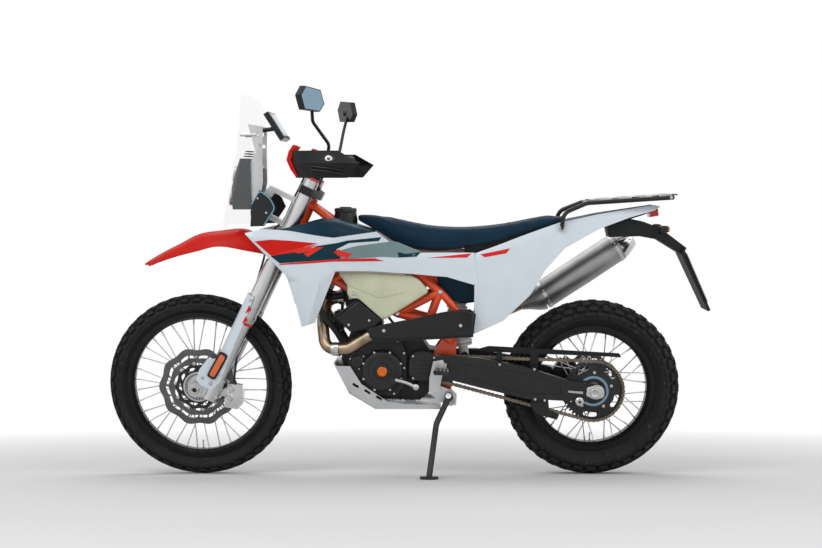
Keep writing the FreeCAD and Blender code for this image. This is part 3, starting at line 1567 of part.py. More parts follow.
def chain_guard():
    """Long thin guard over the chain's upper run."""
    blade = slab([(430, 500), (380, 514), (-110, 486), (-118, 470), (-60, 474), (380, 492)], 97, 101)
    front_tab = slab([(330, 450), (350, 450), (350, 498), (330, 496)], 97, 114)
    rear_tab = slab([(196, 415), (222, 415), (224, 490), (192, 488)], 97, 101)
    foot = slab([(196, 415), (222, 415), (222, 440), (196, 440)], 97, 114)
    seat_room = slab([(x, z + SEAT_SETTING) for x, z in SWING_TOP] + [(80, 300), (420, 300)], 60, 200)
    return fused([blade, front_tab, rear_tab, foot]).cut(seat_room)


STAND_PIVOT = V(529, 142, 327)
STAND_FOOT = V(602, 292, 0)
STAND_FOLDED = V(-1, 0.12, 0.12)
STAND_RUN = V(602, 292, 62) - STAND_PIVOT
STAND_AXIS = STAND_RUN.cross(STAND_FOLDED).normalize()


def stand_bracket():
    """Left side bracket: stand boss with its pivot pin, foot peg post and the outer link plate."""
    block = slab([(602, 334), (604, 360), (560, 364), (524, 350), (500, 326), (502, 292), (536, 288)], 72.3, 118)
    boss = rod(STAND_PIVOT - STAND_AXIS * 52, STAND_PIVOT - STAND_AXIS * 7, 16)
    pin = rod(STAND_PIVOT - STAND_AXIS * 8, STAND_PIVOT + STAND_AXIS * 7, 6)
    head = rod(STAND_PIVOT + STAND_AXIS * 6.6, STAND_PIVOT + STAND_AXIS * 12, 11)
    neck = slab([(562, 344), (602, 340), (604, 368), (566, 370)], 110, 146)
    link = slab([(566, 350), (604, 346), (602, 400), (588, 462), (552, 468), (540, 440), (556, 400)], 139, 146)
    link = link.cut(cross_rod(V(578, 0, 420), 10, 100, 200))
    post = slab([(538, 430), (566, 430), (566, 456), (538, 456)], 139, 160)
    return fused([block, boss, pin, head, neck, link, post])


def right_bracket():
    """Right side bracket below the swingarm with the foot peg post."""
    block = slab([(602, 334), (604, 360), (560, 364), (524, 350), (536, 330)], 72.3, 118)
    neck = slab([(562, 344), (602, 340), (604, 368), (566, 370)], 110, 146)
    link = slab([(566, 350), (604, 346), (602, 400), (588, 462), (552, 468), (540, 440), (556, 400)], 139, 146)
    post = slab([(538, 430), (566, 430), (566, 456), (538, 456)], 139, 160)
    return mirrored(fused([block, neck, link, post]))


def side_stand():
    """Side stand leg with its eye on the pin and a foot flat on the ground."""
    eye = rod(STAND_PIVOT - STAND_AXIS * 6, STAND_PIVOT + STAND_AXIS * 6, 16)
    knee = V(576, 206, 238)
    tip = V(STAND_FOOT.x, STAND_FOOT.y, STAND_FOOT.y * math.tan(math.radians(LEAN)) + 7)
    leg = bent_tube([STAND_PIVOT, knee, tip], 11, 60)
    body = fused([eye, leg]).cut(rod(STAND_PIVOT - STAND_AXIS * 9, STAND_PIVOT + STAND_AXIS * 20, 6 + RUNNING_GAP))
    head_room = rod(STAND_PIVOT + STAND_AXIS * 6.3, STAND_PIVOT + STAND_AXIS * 24, 16.5)
    boss_room = rod(STAND_PIVOT - STAND_AXIS * 24, STAND_PIVOT - STAND_AXIS * 6.3, 16.5)
    body = body.cut([head_room, boss_room])
    angle = math.radians(LEAN)
    up = V(0, -math.sin(angle), math.cos(angle))
    ground = V(STAND_FOOT.x, STAND_FOOT.y, STAND_FOOT.y * math.tan(angle))
    foot = Part.makeCylinder(34, 10, ground, up)
    return fused([body, foot])


def foot_peg():
    """Left foot peg."""
    return slab([(528, 420), (582, 424), (580, 440), (530, 436)], 160.3, 222)


def shift_lever():
    """Gear lever on its shaft."""
    shaft = cross_rod(at(652, 0, 366), 7, ENGINE_HALF + SEAT_SETTING, 150)
    arm = bent_tube([at(652, 146, 366), at(690, 148, 386), at(738, 152, 396)], 6, 20)
    tip = cross_rod(at(738, 0, 396), 7, 146, 178)
    return fused([shaft, arm, tip])


def brake_pedal():
    """Rear brake pedal ahead of the right foot peg."""
    pivot = cross_rod(V(586, 0, 392), 10, -160, -146 - SEAT_SETTING)
    arm = bent_tube([at(586, -155, 392), at(640, -156, 352), at(742, -158, 372)], 7, 30)
    pad = slab([(726, 372), (762, 374), (760, 384), (726, 382)], -176, -142)
    return fused([pivot, arm, pad])


PARTS = {}


def add(name, shape):
    """Keeps a finished piece under its node name."""
    PARTS[name] = shape


def build_all():
    """Makes every node of the motorcycle in its upright place."""
    add("front_tyre", front_tyre())
    add("rear_tyre", rear_tyre())
    add("front_rim", rim(FRONT_AXLE, FRONT_BEAD_RADIUS, FRONT_RIM_INNER, FRONT_RIM_HALF_WIDTH))
    add("rear_rim", rim(REAR_AXLE, REAR_BEAD_RADIUS, REAR_RIM_INNER, REAR_RIM_HALF_WIDTH))
    add("front_hub", front_hub())
    add("rear_hub", rear_hub())
    add("front_disc", wave_disc(FRONT_AXLE, FRONT_DISC_RADIUS, 44, FRONT_DISC_AT, DISC_WAVES, 10))
    add("rear_disc", wave_disc(REAR_AXLE, REAR_DISC_RADIUS, 40, REAR_DISC_AT, DISC_WAVES, 10))
    add("rear_sprocket", rear_sprocket())
    add("chain", chain())
    add("front_sprocket", front_sprocket())
    add("main_frame", main_frame())
    add("arm_axles", Part.makeCompound([swing_axle(), rear_axle()]))
    add("swingarm", swingarm())
    add("engine", engine())
    add("skid_plate", skid_plate())
    add("exhaust_header", exhaust_header())
    add("silencer", silencer())
    add("side_guards", Part.makeCompound([heat_shield(), chain_guard()]))
    add("rear_shock", rear_shock())
    add("shrouds", Part.makeCompound(both(shroud())))
    add("side_panels", Part.makeCompound([side_panel(), side_panel_right()]))
    add("tail", tail())
    add("seat", seat())
    add("fuel_tank", Part.makeCompound([fuel_tank(), fuel_cap()]))
    add("fuel_cells", Part.makeCompound(both(lower_tank())))
    add("canister", canister())
    add("radiators", Part.makeCompound(both(radiator())))
    add("fork_legs", Part.makeCompound([fork_leg(1), fork_leg(-1), axle_lug(1), axle_lug(-1)]))
    add("front_axle", front_axle())
    add("triple_clamps", triple_clamps())
    add("handlebar", handlebar())
    add("grips", Part.makeCompound([hand_grip(1), hand_grip(-1)]))
    add("front_fender", front_fender())
    add("fork_guards", Part.makeCompound(both(fork_guard())))
    add("front_caliper", front_caliper())
    add("rear_caliper", rear_caliper())
    add("handguards", Part.makeCompound(both(handguard())))
    add("mirrors", Part.makeCompound([mirror(1), mirror(-1)]))
    add("hand_levers", Part.makeCompound(both(lever())))
    add("front_hose", front_hose())
    add("windscreen", windscreen())
    add("lamp_unit", lamp_unit())
    add("nose_tower", nose_tower())
    add("display", display())
    add("lower_fairings", Part.makeCompound(both(lower_fairing())))
    add("rack", rack())
    add("plate_holder", plate_holder())
    add("number_plate", number_plate())
    add("tail_lamp", tail_lamp())
    add("peg_brackets", Part.makeCompound([stand_bracket(), right_bracket()]))
    add("side_stand", side_stand())
    add("foot_controls", Part.makeCompound(both(foot_peg()) + [shift_lever(), brake_pedal()]))


def row_place():
    """Placement that leans the upright bike and stands it over the row's origin."""
    lean = FreeCAD.Placement(V(0, 0, 0), FreeCAD.Rotation(V(1, 0, 0), -LEAN))
    box = FreeCAD.BoundBox()
    for shape in PARTS.values():
        leaned = shape.copy()
        leaned.Placement = lean.multiply(leaned.Placement)
        box.add(leaned.optimalBoundingBox(False, False))
    shift = V(-box.Center.x, -box.Center.y, -box.ZMin)
    return FreeCAD.Placement(shift, lean.Rotation)


def export_all():
    """Writes one STEP file per node."""
    os.makedirs("parts", exist_ok=True)
    place = row_place()
    for name, shape in PARTS.items():
        leaned = shape.copy()
        leaned.Placement = place.multiply(leaned.Placement)
        leaned.exportStep("parts/" + name + ".step")
    return place


build_all()
PLACE = export_all()
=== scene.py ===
"""Dual sport motorcycle on its side stand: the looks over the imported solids.

Sizes are in millimetres in the upright bike's own frame, with X forward,
Y to the rider's left and Z up from the ground. Place leans and moves them into the row frame.
"""

import json
import logging
import math
from dataclasses import dataclass, field
from enum import Enum
from typing import Callable, Optional, Sequence

import bmesh
import bpy
import numpy as np
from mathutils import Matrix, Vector

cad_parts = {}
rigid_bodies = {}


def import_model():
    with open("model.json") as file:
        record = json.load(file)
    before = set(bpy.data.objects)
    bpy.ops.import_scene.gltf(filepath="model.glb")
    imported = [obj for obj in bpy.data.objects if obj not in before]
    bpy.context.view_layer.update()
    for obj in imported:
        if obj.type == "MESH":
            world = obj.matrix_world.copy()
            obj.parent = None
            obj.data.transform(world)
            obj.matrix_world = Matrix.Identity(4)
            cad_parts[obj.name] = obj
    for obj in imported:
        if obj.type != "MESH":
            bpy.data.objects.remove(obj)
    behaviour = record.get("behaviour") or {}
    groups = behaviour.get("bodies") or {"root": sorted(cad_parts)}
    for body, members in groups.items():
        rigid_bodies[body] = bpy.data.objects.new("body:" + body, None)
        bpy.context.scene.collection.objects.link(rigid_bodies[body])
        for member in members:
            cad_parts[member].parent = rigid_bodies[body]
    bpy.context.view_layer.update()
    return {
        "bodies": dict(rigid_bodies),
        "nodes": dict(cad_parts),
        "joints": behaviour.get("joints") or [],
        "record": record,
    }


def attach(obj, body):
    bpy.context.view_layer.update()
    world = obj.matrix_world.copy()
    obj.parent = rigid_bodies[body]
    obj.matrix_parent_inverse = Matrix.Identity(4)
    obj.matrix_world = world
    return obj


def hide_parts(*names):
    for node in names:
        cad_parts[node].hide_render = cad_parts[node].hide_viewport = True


LOG = logging.getLogger("motorcycle")
Array = np.ndarray
Colour = tuple[float, float, float]
At = tuple[float, float, float]
Spot = tuple[float, float]
Point = Sequence[float]
Line = Sequence[Point]
Thing = bpy.types.Object
Tree = bpy.types.NodeTree
Socket = bpy.types.NodeSocket
Shader = bpy.types.ShaderNode

MM = 1000.0
AHEAD, TO_LEFT, UP = (1, 0, 0), (0, 1, 0), (0, 0, 1)
AXIS_RADIUS = 0.02
WELD_METRES = 1e-6
BLOCK_ROWS = 12
BUTTON_TURNS = 20
BEVEL_ANGLE = math.radians(40)

REAR_AXLE_X = -17.0
RAKE = math.radians(26.4)
RISE = np.array([-math.sin(RAKE), 0, math.cos(RAKE)])
REACH = np.array([math.cos(RAKE), 0, math.sin(RAKE)])
AXLE_LEAD = 60.0
CLAMP_OFFSET = 12.0
BAR_MIDDLE = (1010.1, 0.0, 1165.9)


class Side(Enum):
    """Which side of the bike a piece is on; the value is the sign of Y."""

    LEFT = 1
    RIGHT = -1

    @property
    def word(self) -> str:
        """The side as it ends a piece's name."""
        return self.name.lower()


class Body(Enum):
    """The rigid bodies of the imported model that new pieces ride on."""

    CHASSIS = "chassis"
    FORK = "fork"
    FRONT_WHEEL = "front_wheel"
    REAR_WHEEL = "rear_wheel"


class Carry(Enum):
    """Way that a flat outline is carried; the value puts (a, b, level) in the order of x, y, z."""

    ACROSS = (0, 2, 1)
    UPWARDS = (0, 1, 2)


# Placing the bike in the row frame


@dataclass(frozen=True)
class Place:
    """Lean and shift that carry upright millimetres into row metres."""

    turn: Array
    shift: Array
    rear_axle: Array
    front_axle: Array

    @staticmethod
    def from_joints(joints: Sequence[dict]) -> "Place":
        """Reads the lean and the shift from the wheel joints.

        Args:
            joints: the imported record's joints.

        Returns:
            The placement of the whole machine.
        """
        found = {joint["name"]: joint for joint in joints}
        rear = np.array(found["rear_wheel_spin"]["pos_m"], float)
        front = np.array(found["front_wheel_spin"]["pos_m"], float)
        across = np.array(found["rear_wheel_spin"]["axis"], float)
        across /= np.linalg.norm(across)
        ahead = np.array(AHEAD, float)
        turn = np.stack([ahead, across, np.cross(ahead, across)], axis=1)
        rear_at = np.array([REAR_AXLE_X, 0, rear[2] / turn[2, 2] * MM])
        shift = rear - turn @ rear_at / MM
        return Place(turn, shift, rear_at, (front - shift) @ turn * MM)

    def row(self, points: Array) -> Array:
        """Upright millimetres, shape (..., 3), as row metres."""
        return np.asarray(points, float) @ self.turn.T / MM + self.shift

    def direction(self, vector: Point) -> Array:
        """An upright direction in the row frame."""
        return self.turn @ np.asarray(vector, float)


PLACE: Place


def steer_point(up: float, ahead: float = 0.0, left: float = 0.0) -> Array:
    """Point foot + rise up + reach ahead, beside the steering axis, in upright millimetres.

    Args:
        up: distance up the axis from its foot.
        ahead: distance ahead of the axis.
        left: distance to the left.

    Returns:
        The point.
    """
    foot = PLACE.front_axle - REACH * (AXLE_LEAD + CLAMP_OFFSET)
    return foot + RISE * up + REACH * ahead + np.array([0, left, 0])


# Surfaces and how they become objects


@dataclass
class Surface:
    """Vertices in upright millimetres with their faces."""

    points: Array
    faces: list[tuple[int, ...]]

    def __add__(self, other: "Surface") -> "Surface":
        """Both surfaces as one."""
        return joined([self, other])

    def mapped(self, change: Callable[[Array], Array]) -> "Surface":
        """The surface with its points passed through a function of the whole array."""
        return Surface(change(self.points), self.faces)

    def mirrored(self) -> "Surface":
        """The surface on the other side of the bike, faces still outwards."""
        return Surface(self.points * [1, -1, 1], [face[::-1] for face in self.faces])

    def on(self, side: Side) -> "Surface":
        """The surface as drawn for the left, mirrored for the right."""
        return self if side is Side.LEFT else self.mirrored()


def joined(parts: Sequence[Surface]) -> Surface:
    """Many surfaces as one mesh.

    Args:
        parts: the surfaces.

    Returns:
        One surface that holds them all.
    """
    sizes = np.cumsum([0] + [len(part.points) for part in parts])
    faces = [tuple(base + c for c in face) for base,
             part in zip(sizes, parts) for face in part.faces]
    return Surface(np.concatenate([part.points for part in parts]), faces)


def both(surface: Surface) -> Surface:
    """The surface and its mirror image across the bike."""
    return surface + surface.mirrored()


def grid(points: Array, wrap_u: bool = False, wrap_v: bool = False, caps: bool = False) -> Surface:
    """Surface over a grid of points, quads between neighbours in u and v.

    Args:
        points: array of shape (u, v, 3).
        wrap_u: whether the last row joins the first.
        wrap_v: whether the last column joins the first.
        caps: whether the first and last row are closed with one face each.

    Returns:
        The surface.
    """
    rows, columns = points.shape[:2]
    index = np.arange(rows * columns).reshape(rows, columns)
    if wrap_u:
        index = np.vstack([index, index[:1]])
    if wrap_v:
        index = np.hstack([index, index[:, :1]])
    quads = np.stack([index[:-1, :-1], index[1:, :-1], index[1:, 1:], index[:-1, 1:]], axis=-1)
    faces = [tuple(quad) for quad in quads.reshape(-1, 4).tolist()]
    if caps:
        faces += [tuple(range(columns)), tuple(range((rows - 1) * columns, rows * columns))[::-1]]
    return Surface(points.reshape(-1, 3), faces)


def round_angles(count: int, phase: float = 0.0) -> Array:
    """Even angles round a circle, the first one a phase of one step on."""
    return 2 * np.pi * (np.arange(count) + phase) / count


def spokes(angle: Array) -> Array:
    """Unit directions (cos a, 0, sin a) round the axle, shape (n, 3)."""
    return np.stack([np.cos(angle), 0 * angle, np.sin(angle)], axis=1)


def unit(vectors: Array) -> Array:
    """Rows of vectors, each divided by its length."""
    return vectors / np.linalg.norm(vectors, axis=1, keepdims=True)


def least_axis(vector: Array) -> Array:
    """The axis that a vector has least of."""
    return np.eye(3)[int(np.argmin(vector))]


def circle(radius: float, sides: int = 16) -> Array:
    """Points of a circle, shape (sides, 2), clockwise so that swept faces look outwards."""
    turn = -round_angles(sides)
    return radius * np.stack([np.cos(turn), np.sin(turn)], axis=1)


def sweep(path: Array, outline: Array) -> Surface:
    """Closed outline carried along a path: p(u, v) = path(u) + side(u) a(v) + up(u) b(v).

    The side is square to the path and to one fixed axis, and up is square to both.

    Args:
        path: points of shape (n, 3).
        outline: closed outline of shape (m, 2).

    Returns:
        The swept surface with its end caps.
    """
    tangent = np.gradient(path, axis=0)
    tangent /= np.linalg.norm(tangent, axis=1, keepdims=True) + 1e-12
    side = np.cross(tangent, least_axis(np.abs(tangent).mean(axis=0)))
    side /= np.linalg.norm(side, axis=1, keepdims=True) + 1e-12
    up = np.cross(side, tangent)
    offsets = side[:, None] * outline[None, :, :1] + up[:, None] * outline[None, :, 1:]
    return grid(path[:, None] + offsets, wrap_v=True, caps=True)


def rounded(points: Line, bend: float, arc: int = 6) -> Array:
    """Path with curved corners: (1-t)^2 start + 2t(1-t) corner + t^2 end.

    Args:
        points: corners of the path.
        bend: distance from a corner at which its curve starts, at most 0.45 of a run.
        arc: points on each curve.

    Returns:
        Points along the rounded path.
    """
    corners = np.asarray(points, float)
    runs = np.diff(corners, axis=0)
    lengths = np.linalg.norm(runs, axis=1)
    ways = runs / lengths[:, None]
    reach = np.minimum(bend, 0.45 * np.minimum(lengths[:-1], lengths[1:]))
    middle = corners[1:-1]
    start = middle - ways[:-1] * reach[:, None]
    end = middle + ways[1:] * reach[:, None]
    t = np.linspace(0, 1, arc)[None, :, None]
    curve = (1 - t) ** 2 * start[:, None] + 2 * t * (1 - t) * middle[:, None] + t**2 * end[:, None]
    return np.concatenate([corners[:1], curve.reshape(-1, corners.shape[1]), corners[-1:]])


def tube(points: Line, radius: float, bend: float = 0.0, sides: int = 16) -> Surface:
    """Round bar along a path, whose corners are rounded from a distance called the bend."""
    path = rounded(points, bend) if bend and len(points) > 2 else np.asarray(points, float)
    return sweep(path, circle(radius, sides))


def lathe(profile: Line, base: Point, run: Point = TO_LEFT, turns: int = 48) -> Surface:
    """Profile turned about a line: p(u, v) = base + run a(v) + (side cos u + up sin u) r(v).

    Args:
        profile: pairs of radius and distance along the line.
        base: start of the line.
        run: direction of the line.
        turns: steps round the line.

    Returns:
        The turned surface.
    """
    shape = np.asarray(profile, float)
    way = np.asarray(run, float) / np.linalg.norm(run)
    side = np.cross(way, least_axis(np.abs(way)))
    side /= np.linalg.norm(side)
    up = np.cross(way, side)
    u = round_angles(turns)
    spoke = side * np.cos(u)[:, None] + up * np.sin(u)[:, None]
    points = np.asarray(base, float) + way * shape[None, :, 1:] + spoke[:, None] * shape[None, :,
                                                                                         :1]
    return grid(points, wrap_u=True)


def closed_lathe(profile: Line, base: Point, run: Point = TO_LEFT, turns: int = 48) -> Surface:
    """Closed profile loop turned about a line, such as a ring or a washer."""
    return lathe([*profile, profile[0]], base, run, turns)


def button(at: Point, radius: float, rise: float, way: Point = TO_LEFT) -> Surface:
    """Low domed bolt head with a socket: a profile turned about its own line.

    Args:
        at: middle of its seat.
        radius: the head's radius.
        rise: how far it stands up.
        way: the way that it faces.

    Returns:
        The head.
    """
    profile = [
        (radius, -2.0), (radius, 0.35 * rise), (0.8 * radius, 0.85 * rise), (0.5 * radius, rise),
        (0.42 * radius, rise), (0.4 * radius, 0.4 * rise), (AXIS_RADIUS, 0.4 * rise),
    ]
    return lathe(profile, at, way, BUTTON_TURNS)


def clockwise(flat: Array) -> bool:
    """Whether a closed outline's signed area, the sum of a(i) b(i+1) - a(i+1) b(i), is negative."""
    after = np.roll(flat, -1, axis=0)
    return bool(np.sum(flat[:, 0] * after[:, 1] - after[:, 0] * flat[:, 1]) < 0)


def plate(outline: Line, low: float, high: float, way: Carry = Carry.ACROSS) -> Surface:
    """Flat outline carried from one plane to another.

    Args:
        outline: corners (x, z), or (x, y) for a plate carried upwards.
        low: first plane.
        high: second plane.
        way: the direction that the outline is carried in.

    Returns:
        The plate, closed.
    """
    flat = np.asarray(outline, float)
    if clockwise(flat) == (way is not Carry.ACROSS):
        flat = flat[::-1]
    level = np.ones((len(flat), 1))
    layers = np.stack([np.hstack([flat, level * low]), np.hstack([flat, level * high])])
    return grid(layers[..., way.value], wrap_v=True, caps=True)


def raised(outline: Line, steps: Line, kept: float = 0.0) -> list[Array]:
    """Loops of a pillow: the outline drawn towards its middle and moved out sideways, step by step.

    Args:
        outline: corners (x, z).
        steps: for each loop its share of the outline's size and its y.
        kept: share of the length along X that doesn't shrink.

    Returns:
        The loops, each of shape (n, 3).
    """
    flat = np.asarray(outline, float)
    middle = flat.mean(axis=0)
    loops = []
    for share, y in steps:
        drawn = middle + (flat - middle) * np.array([kept + (1 - kept) * share, share])
        loops.append(np.stack([drawn[:, 0], np.full(len(drawn), float(y)), drawn[:, 1]], axis=1))
    return loops


def block(size: Point, power: float, at: Point, x_way: Point = AHEAD, z_way: Point = UP) -> Surface:
    """Box with soft edges: a sphere pushed out to |x|^p + |y|^p + |z|^p = 1, then placed.

    Args:
        size: full length, width and height.
        power: how square the box is.
        at: where its middle goes.
        x_way: direction of its length.
        z_way: direction near its height.

    Returns:
        The placed block.
    """
    v = np.linspace(-np.pi / 2 + 1e-3, np.pi / 2 - 1e-3, BLOCK_ROWS)[:, None]
    u = round_angles(2 * BLOCK_ROWS)
    way = np.stack([np.cos(v) * np.cos(u), np.cos(v) * np.sin(u), np.sin(v) + 0 * u], axis=-1)
    reach = np.sum(np.abs(way) ** power, axis=-1, keepdims=True) ** (-1 / power)
    x_axis = np.asarray(x_way, float) / np.linalg.norm(x_way)
    y_axis = np.cross(np.asarray(z_way, float), x_axis)
    y_axis /= np.linalg.norm(y_axis)
    turn = np.stack([x_axis, y_axis, np.cross(x_axis, y_axis)], axis=1)
    shape = grid(way * reach * np.asarray(size, float) / 2, wrap_v=True, caps=True)
    return shape.mapped(lambda p: p @ turn.T + np.asarray(at, float))


def copies(surface: Surface, turns: Array, shifts: Array) -> Surface:
    """Many copies of a surface, each turned by its own matrix and moved, worked out as one array.

    Args:
        surface: the shape to repeat.
        turns: matrices of shape (n, 3, 3).
        shifts: places of shape (n, 3).

    Returns:
        One surface with all the copies.
    """
    points = np.einsum("nij,kj->nki", turns, surface.points) + shifts[:, None]
    count, each = points.shape[:2]
    faces = [tuple(n * each + c for c in face) for n in range(count) for face in surface.faces]
    return Surface(points.reshape(-1, 3), faces)


def shifted(surface: Surface, shift: Point) -> Surface:
    """The surface moved by a distance."""
    return surface.mapped(lambda p: p + np.asarray(shift, float))


def spline(knots: Array, values: Array, spots: Array) -> Array:
    """Smooth curve through points, in cubic pieces with central slopes m.

    Each piece is (2t^3-3t^2+1) a + (t^3-2t^2+t) m(a) + (3t^2-2t^3) b + (t^3-t^2) m(b).

    Args:
        knots: where the values stand, rising or falling.
        values: one row of values for each knot.
        spots: where the curve is wanted.

    Returns:
        The values at the spots.
    """
    order = np.argsort(knots)
    where = np.asarray(knots, float)[order]
    rows = np.asarray(values, float)[order]
    slopes = np.gradient(rows, where, axis=0)
    index = np.clip(np.searchsorted(where, spots) - 1, 0, len(where) - 2)
    span = (where[index + 1] - where[index])[:, None]
    t = (np.asarray(spots, float) - where[index])[:, None] / span
    near = (2 * t**3 - 3 * t**2 + 1) * rows[index] + (t**3 - 2 * t**2 + t) * span * slopes[index]
    far = (3 * t**2 - 2 * t**3) * rows[index + 1] + (t**3 - t**2) * span * slopes[index + 1]
    return near + far


def stations(table: Line, count: int, inset: float = 0.0) -> tuple[Array, ...]:
    """Even stations from a table's first row to its last, with its other columns splined there.

    Args:
        table: rows of a place and its measures, the place falling.
        count: number of stations.
        inset: distance by which both ends are drawn in.

    Returns:
        The places, then each measure.
    """
    rows = np.array(table, float)
    at = np.linspace(rows[0, 0] - inset, rows[-1, 0] + inset, count)
    return (at, *spline(rows[:, 0], rows[:, 1:], at).T)


def make_object(name: str, surface: Surface, smooth: float = 30.0) -> Thing:
    """Puts a surface into the scene in row metres.

    Args:
        name: the object's name.
        surface: what it looks like, in upright millimetres.
        smooth: edges flatter than this many degrees are shaded smooth.

    Returns:
        The new object, at the origin and unturned.
    """
    mesh = bpy.data.meshes.new(name)
    mesh.from_pydata(PLACE.row(surface.points).tolist(), [], surface.faces)
    shape = bmesh.new()
    shape.from_mesh(mesh)
    bmesh.ops.remove_doubles(shape, verts=shape.verts, dist=WELD_METRES)
    bmesh.ops.recalc_face_normals(shape, faces=shape.faces)
    shape.to_mesh(mesh)
    shape.free()
    mesh.shade_smooth()
    mesh.set_sharp_from_angle(angle=math.radians(smooth))
    thing = bpy.data.objects.new(name, mesh)
    bpy.context.scene.collection.objects.link(thing)
    return thing


def face_towards(thing: Thing, facing: Point) -> None:
    """Turns an open sheet's faces so that they look along a direction on the whole.

    Args:
        thing: the sheet.
        facing: the direction, in the upright frame.
    """
    mesh = thing.data
    normals = np.zeros(len(mesh.polygons) * 3)
    areas = np.zeros(len(mesh.polygons))
    mesh.polygons.foreach_get("normal", normals)
    mesh.polygons.foreach_get("area", areas)
    total = (normals.reshape(-1, 3) * areas[:, None]).sum(axis=0)
    if float(total @ PLACE.direction(facing)) < 0:
        mesh.flip_normals()


def add_wall(thing: Thing, thickness: float) -> None:
    """Gives an open sheet its wall, in millimetres, on the inner side.

    Args:
        thing: the sheet.
        thickness: the wall's thickness.
    """
    wall = thing.modifiers.new("wall", "SOLIDIFY")
    wall.thickness = thickness / MM
    wall.offset = -1.0


def add_bevel(thing: Thing, width: float, segments: int) -> None:
    """Softens a piece's sharp edges.

    Args:
        thing: the piece.
        width: the bevel's width in millimetres.
        segments: faces across the bevel.
    """
    bevel = thing.modifiers.new("soft_edges", "BEVEL")
    bevel.width = width / MM
    bevel.segments = segments
    bevel.limit_method = "ANGLE"
    bevel.angle_limit = BEVEL_ANGLE
    bevel.harden_normals = False


def add_subdivision(thing: Thing) -> None:
    """Subdivides a piece smoothly once, the same in view and render."""
    finer = thing.modifiers.new("finer", "SUBSURF")
    finer.levels = finer.render_levels = 1


# Finishes

CLOUD_SCALE, CLOUD_DETAIL = 14.0, 6.0
DUST_SCALE, DUST_DETAIL = 60.0, 8.0
GRAIN_DETAIL = 3.0
LINE_SCALE, LINE_DETAIL = 40.0, 4.0
DUST_COLOUR = (0.34, 0.3, 0.24)
COAT_ROUGH = 0.08
SHEEN = 0.1


def noise(tree: Tree, where: Socket, scale: float, detail: float) -> Socket:
    """Noise texture over a coordinate.

    Args:
        tree: the node tree.
        where: the coordinate socket.
        scale: noise scale, per metre.
        detail: layers of detail.

    Returns:
        The noise's value socket.
    """
    texture = tree.nodes.new("ShaderNodeTexNoise")
    texture.inputs["Scale"].default_value = scale
    texture.inputs["Detail"].default_value = detail
    tree.links.new(where, texture.inputs["Vector"])
    return texture.outputs["Fac"]


def spread(tree: Tree, value: Socket, low: float, high: float, to_low: float = 0.0,
           to_high: float = 1.0) -> Socket:
    """Value carried from one range to another, and held inside it.

    Args:
        tree: the node tree.
        value: the value's socket.
        low: the first range's start.
        high: its end.
        to_low: the second range's start.
        to_high: its end.

    Returns:
        The result's socket.
    """
    change = tree.nodes.new("ShaderNodeMapRange")
    sizes = {"From Min": low, "From Max": high, "To Min": to_low, "To Max": to_high}
    for name, size in sizes.items():
        change.inputs[name].default_value = size
    tree.links.new(value, change.inputs["Value"])
    return change.outputs["Result"]


def blend_colour(tree: Tree, share: Socket, first: object, second: object) -> Socket:
    """Colour between two others.

    Args:
        tree: the node tree.
        share: socket with the second colour's share.
        first: a colour or a socket.
        second: a colour or a socket.

    Returns:
        The colour's socket.
    """
    mix = tree.nodes.new("ShaderNodeMix")
    mix.data_type = "RGBA"
    tree.links.new(share, mix.inputs["Factor"])
    for slot, colour in (("A", first), ("B", second)):
        socket = next(s for s in mix.inputs if s.name == slot and s.type == "RGBA")
        if isinstance(colour, tuple):
            socket.default_value = (*colour, 1.0)
        else:
            tree.links.new(colour, socket)
    return next(s for s in mix.outputs if s.type == "RGBA")


def maths(tree: Tree, operation: str, first: Socket, second: Socket) -> Socket:
    """Two values worked into one.

    Args:
        tree: the node tree.
        operation: the Math node's operation.
        first: the first value.
        second: the second value.

    Returns:
        The result's socket.
    """
    step = tree.nodes.new("ShaderNodeMath")
    step.operation = operation
    tree.links.new(first, step.inputs[0])
    tree.links.new(second, step.inputs[1])
    return step.outputs["Value"]


def relieve(tree: Tree, shader: Shader, height: Socket, depth: float) -> None:
    """Gives a shader its relief through a Bump node.

    Args:
        tree: the node tree.
        shader: the principled shader.
        height: the height's socket.
        depth: depth of the relief, in metres.
    """
    bump = tree.nodes.new("ShaderNodeBump")
    bump.inputs["Distance"].default_value = depth
    tree.links.new(height, bump.inputs["Height"])
    tree.links.new(bump.outputs["Normal"], shader.inputs["Normal"])


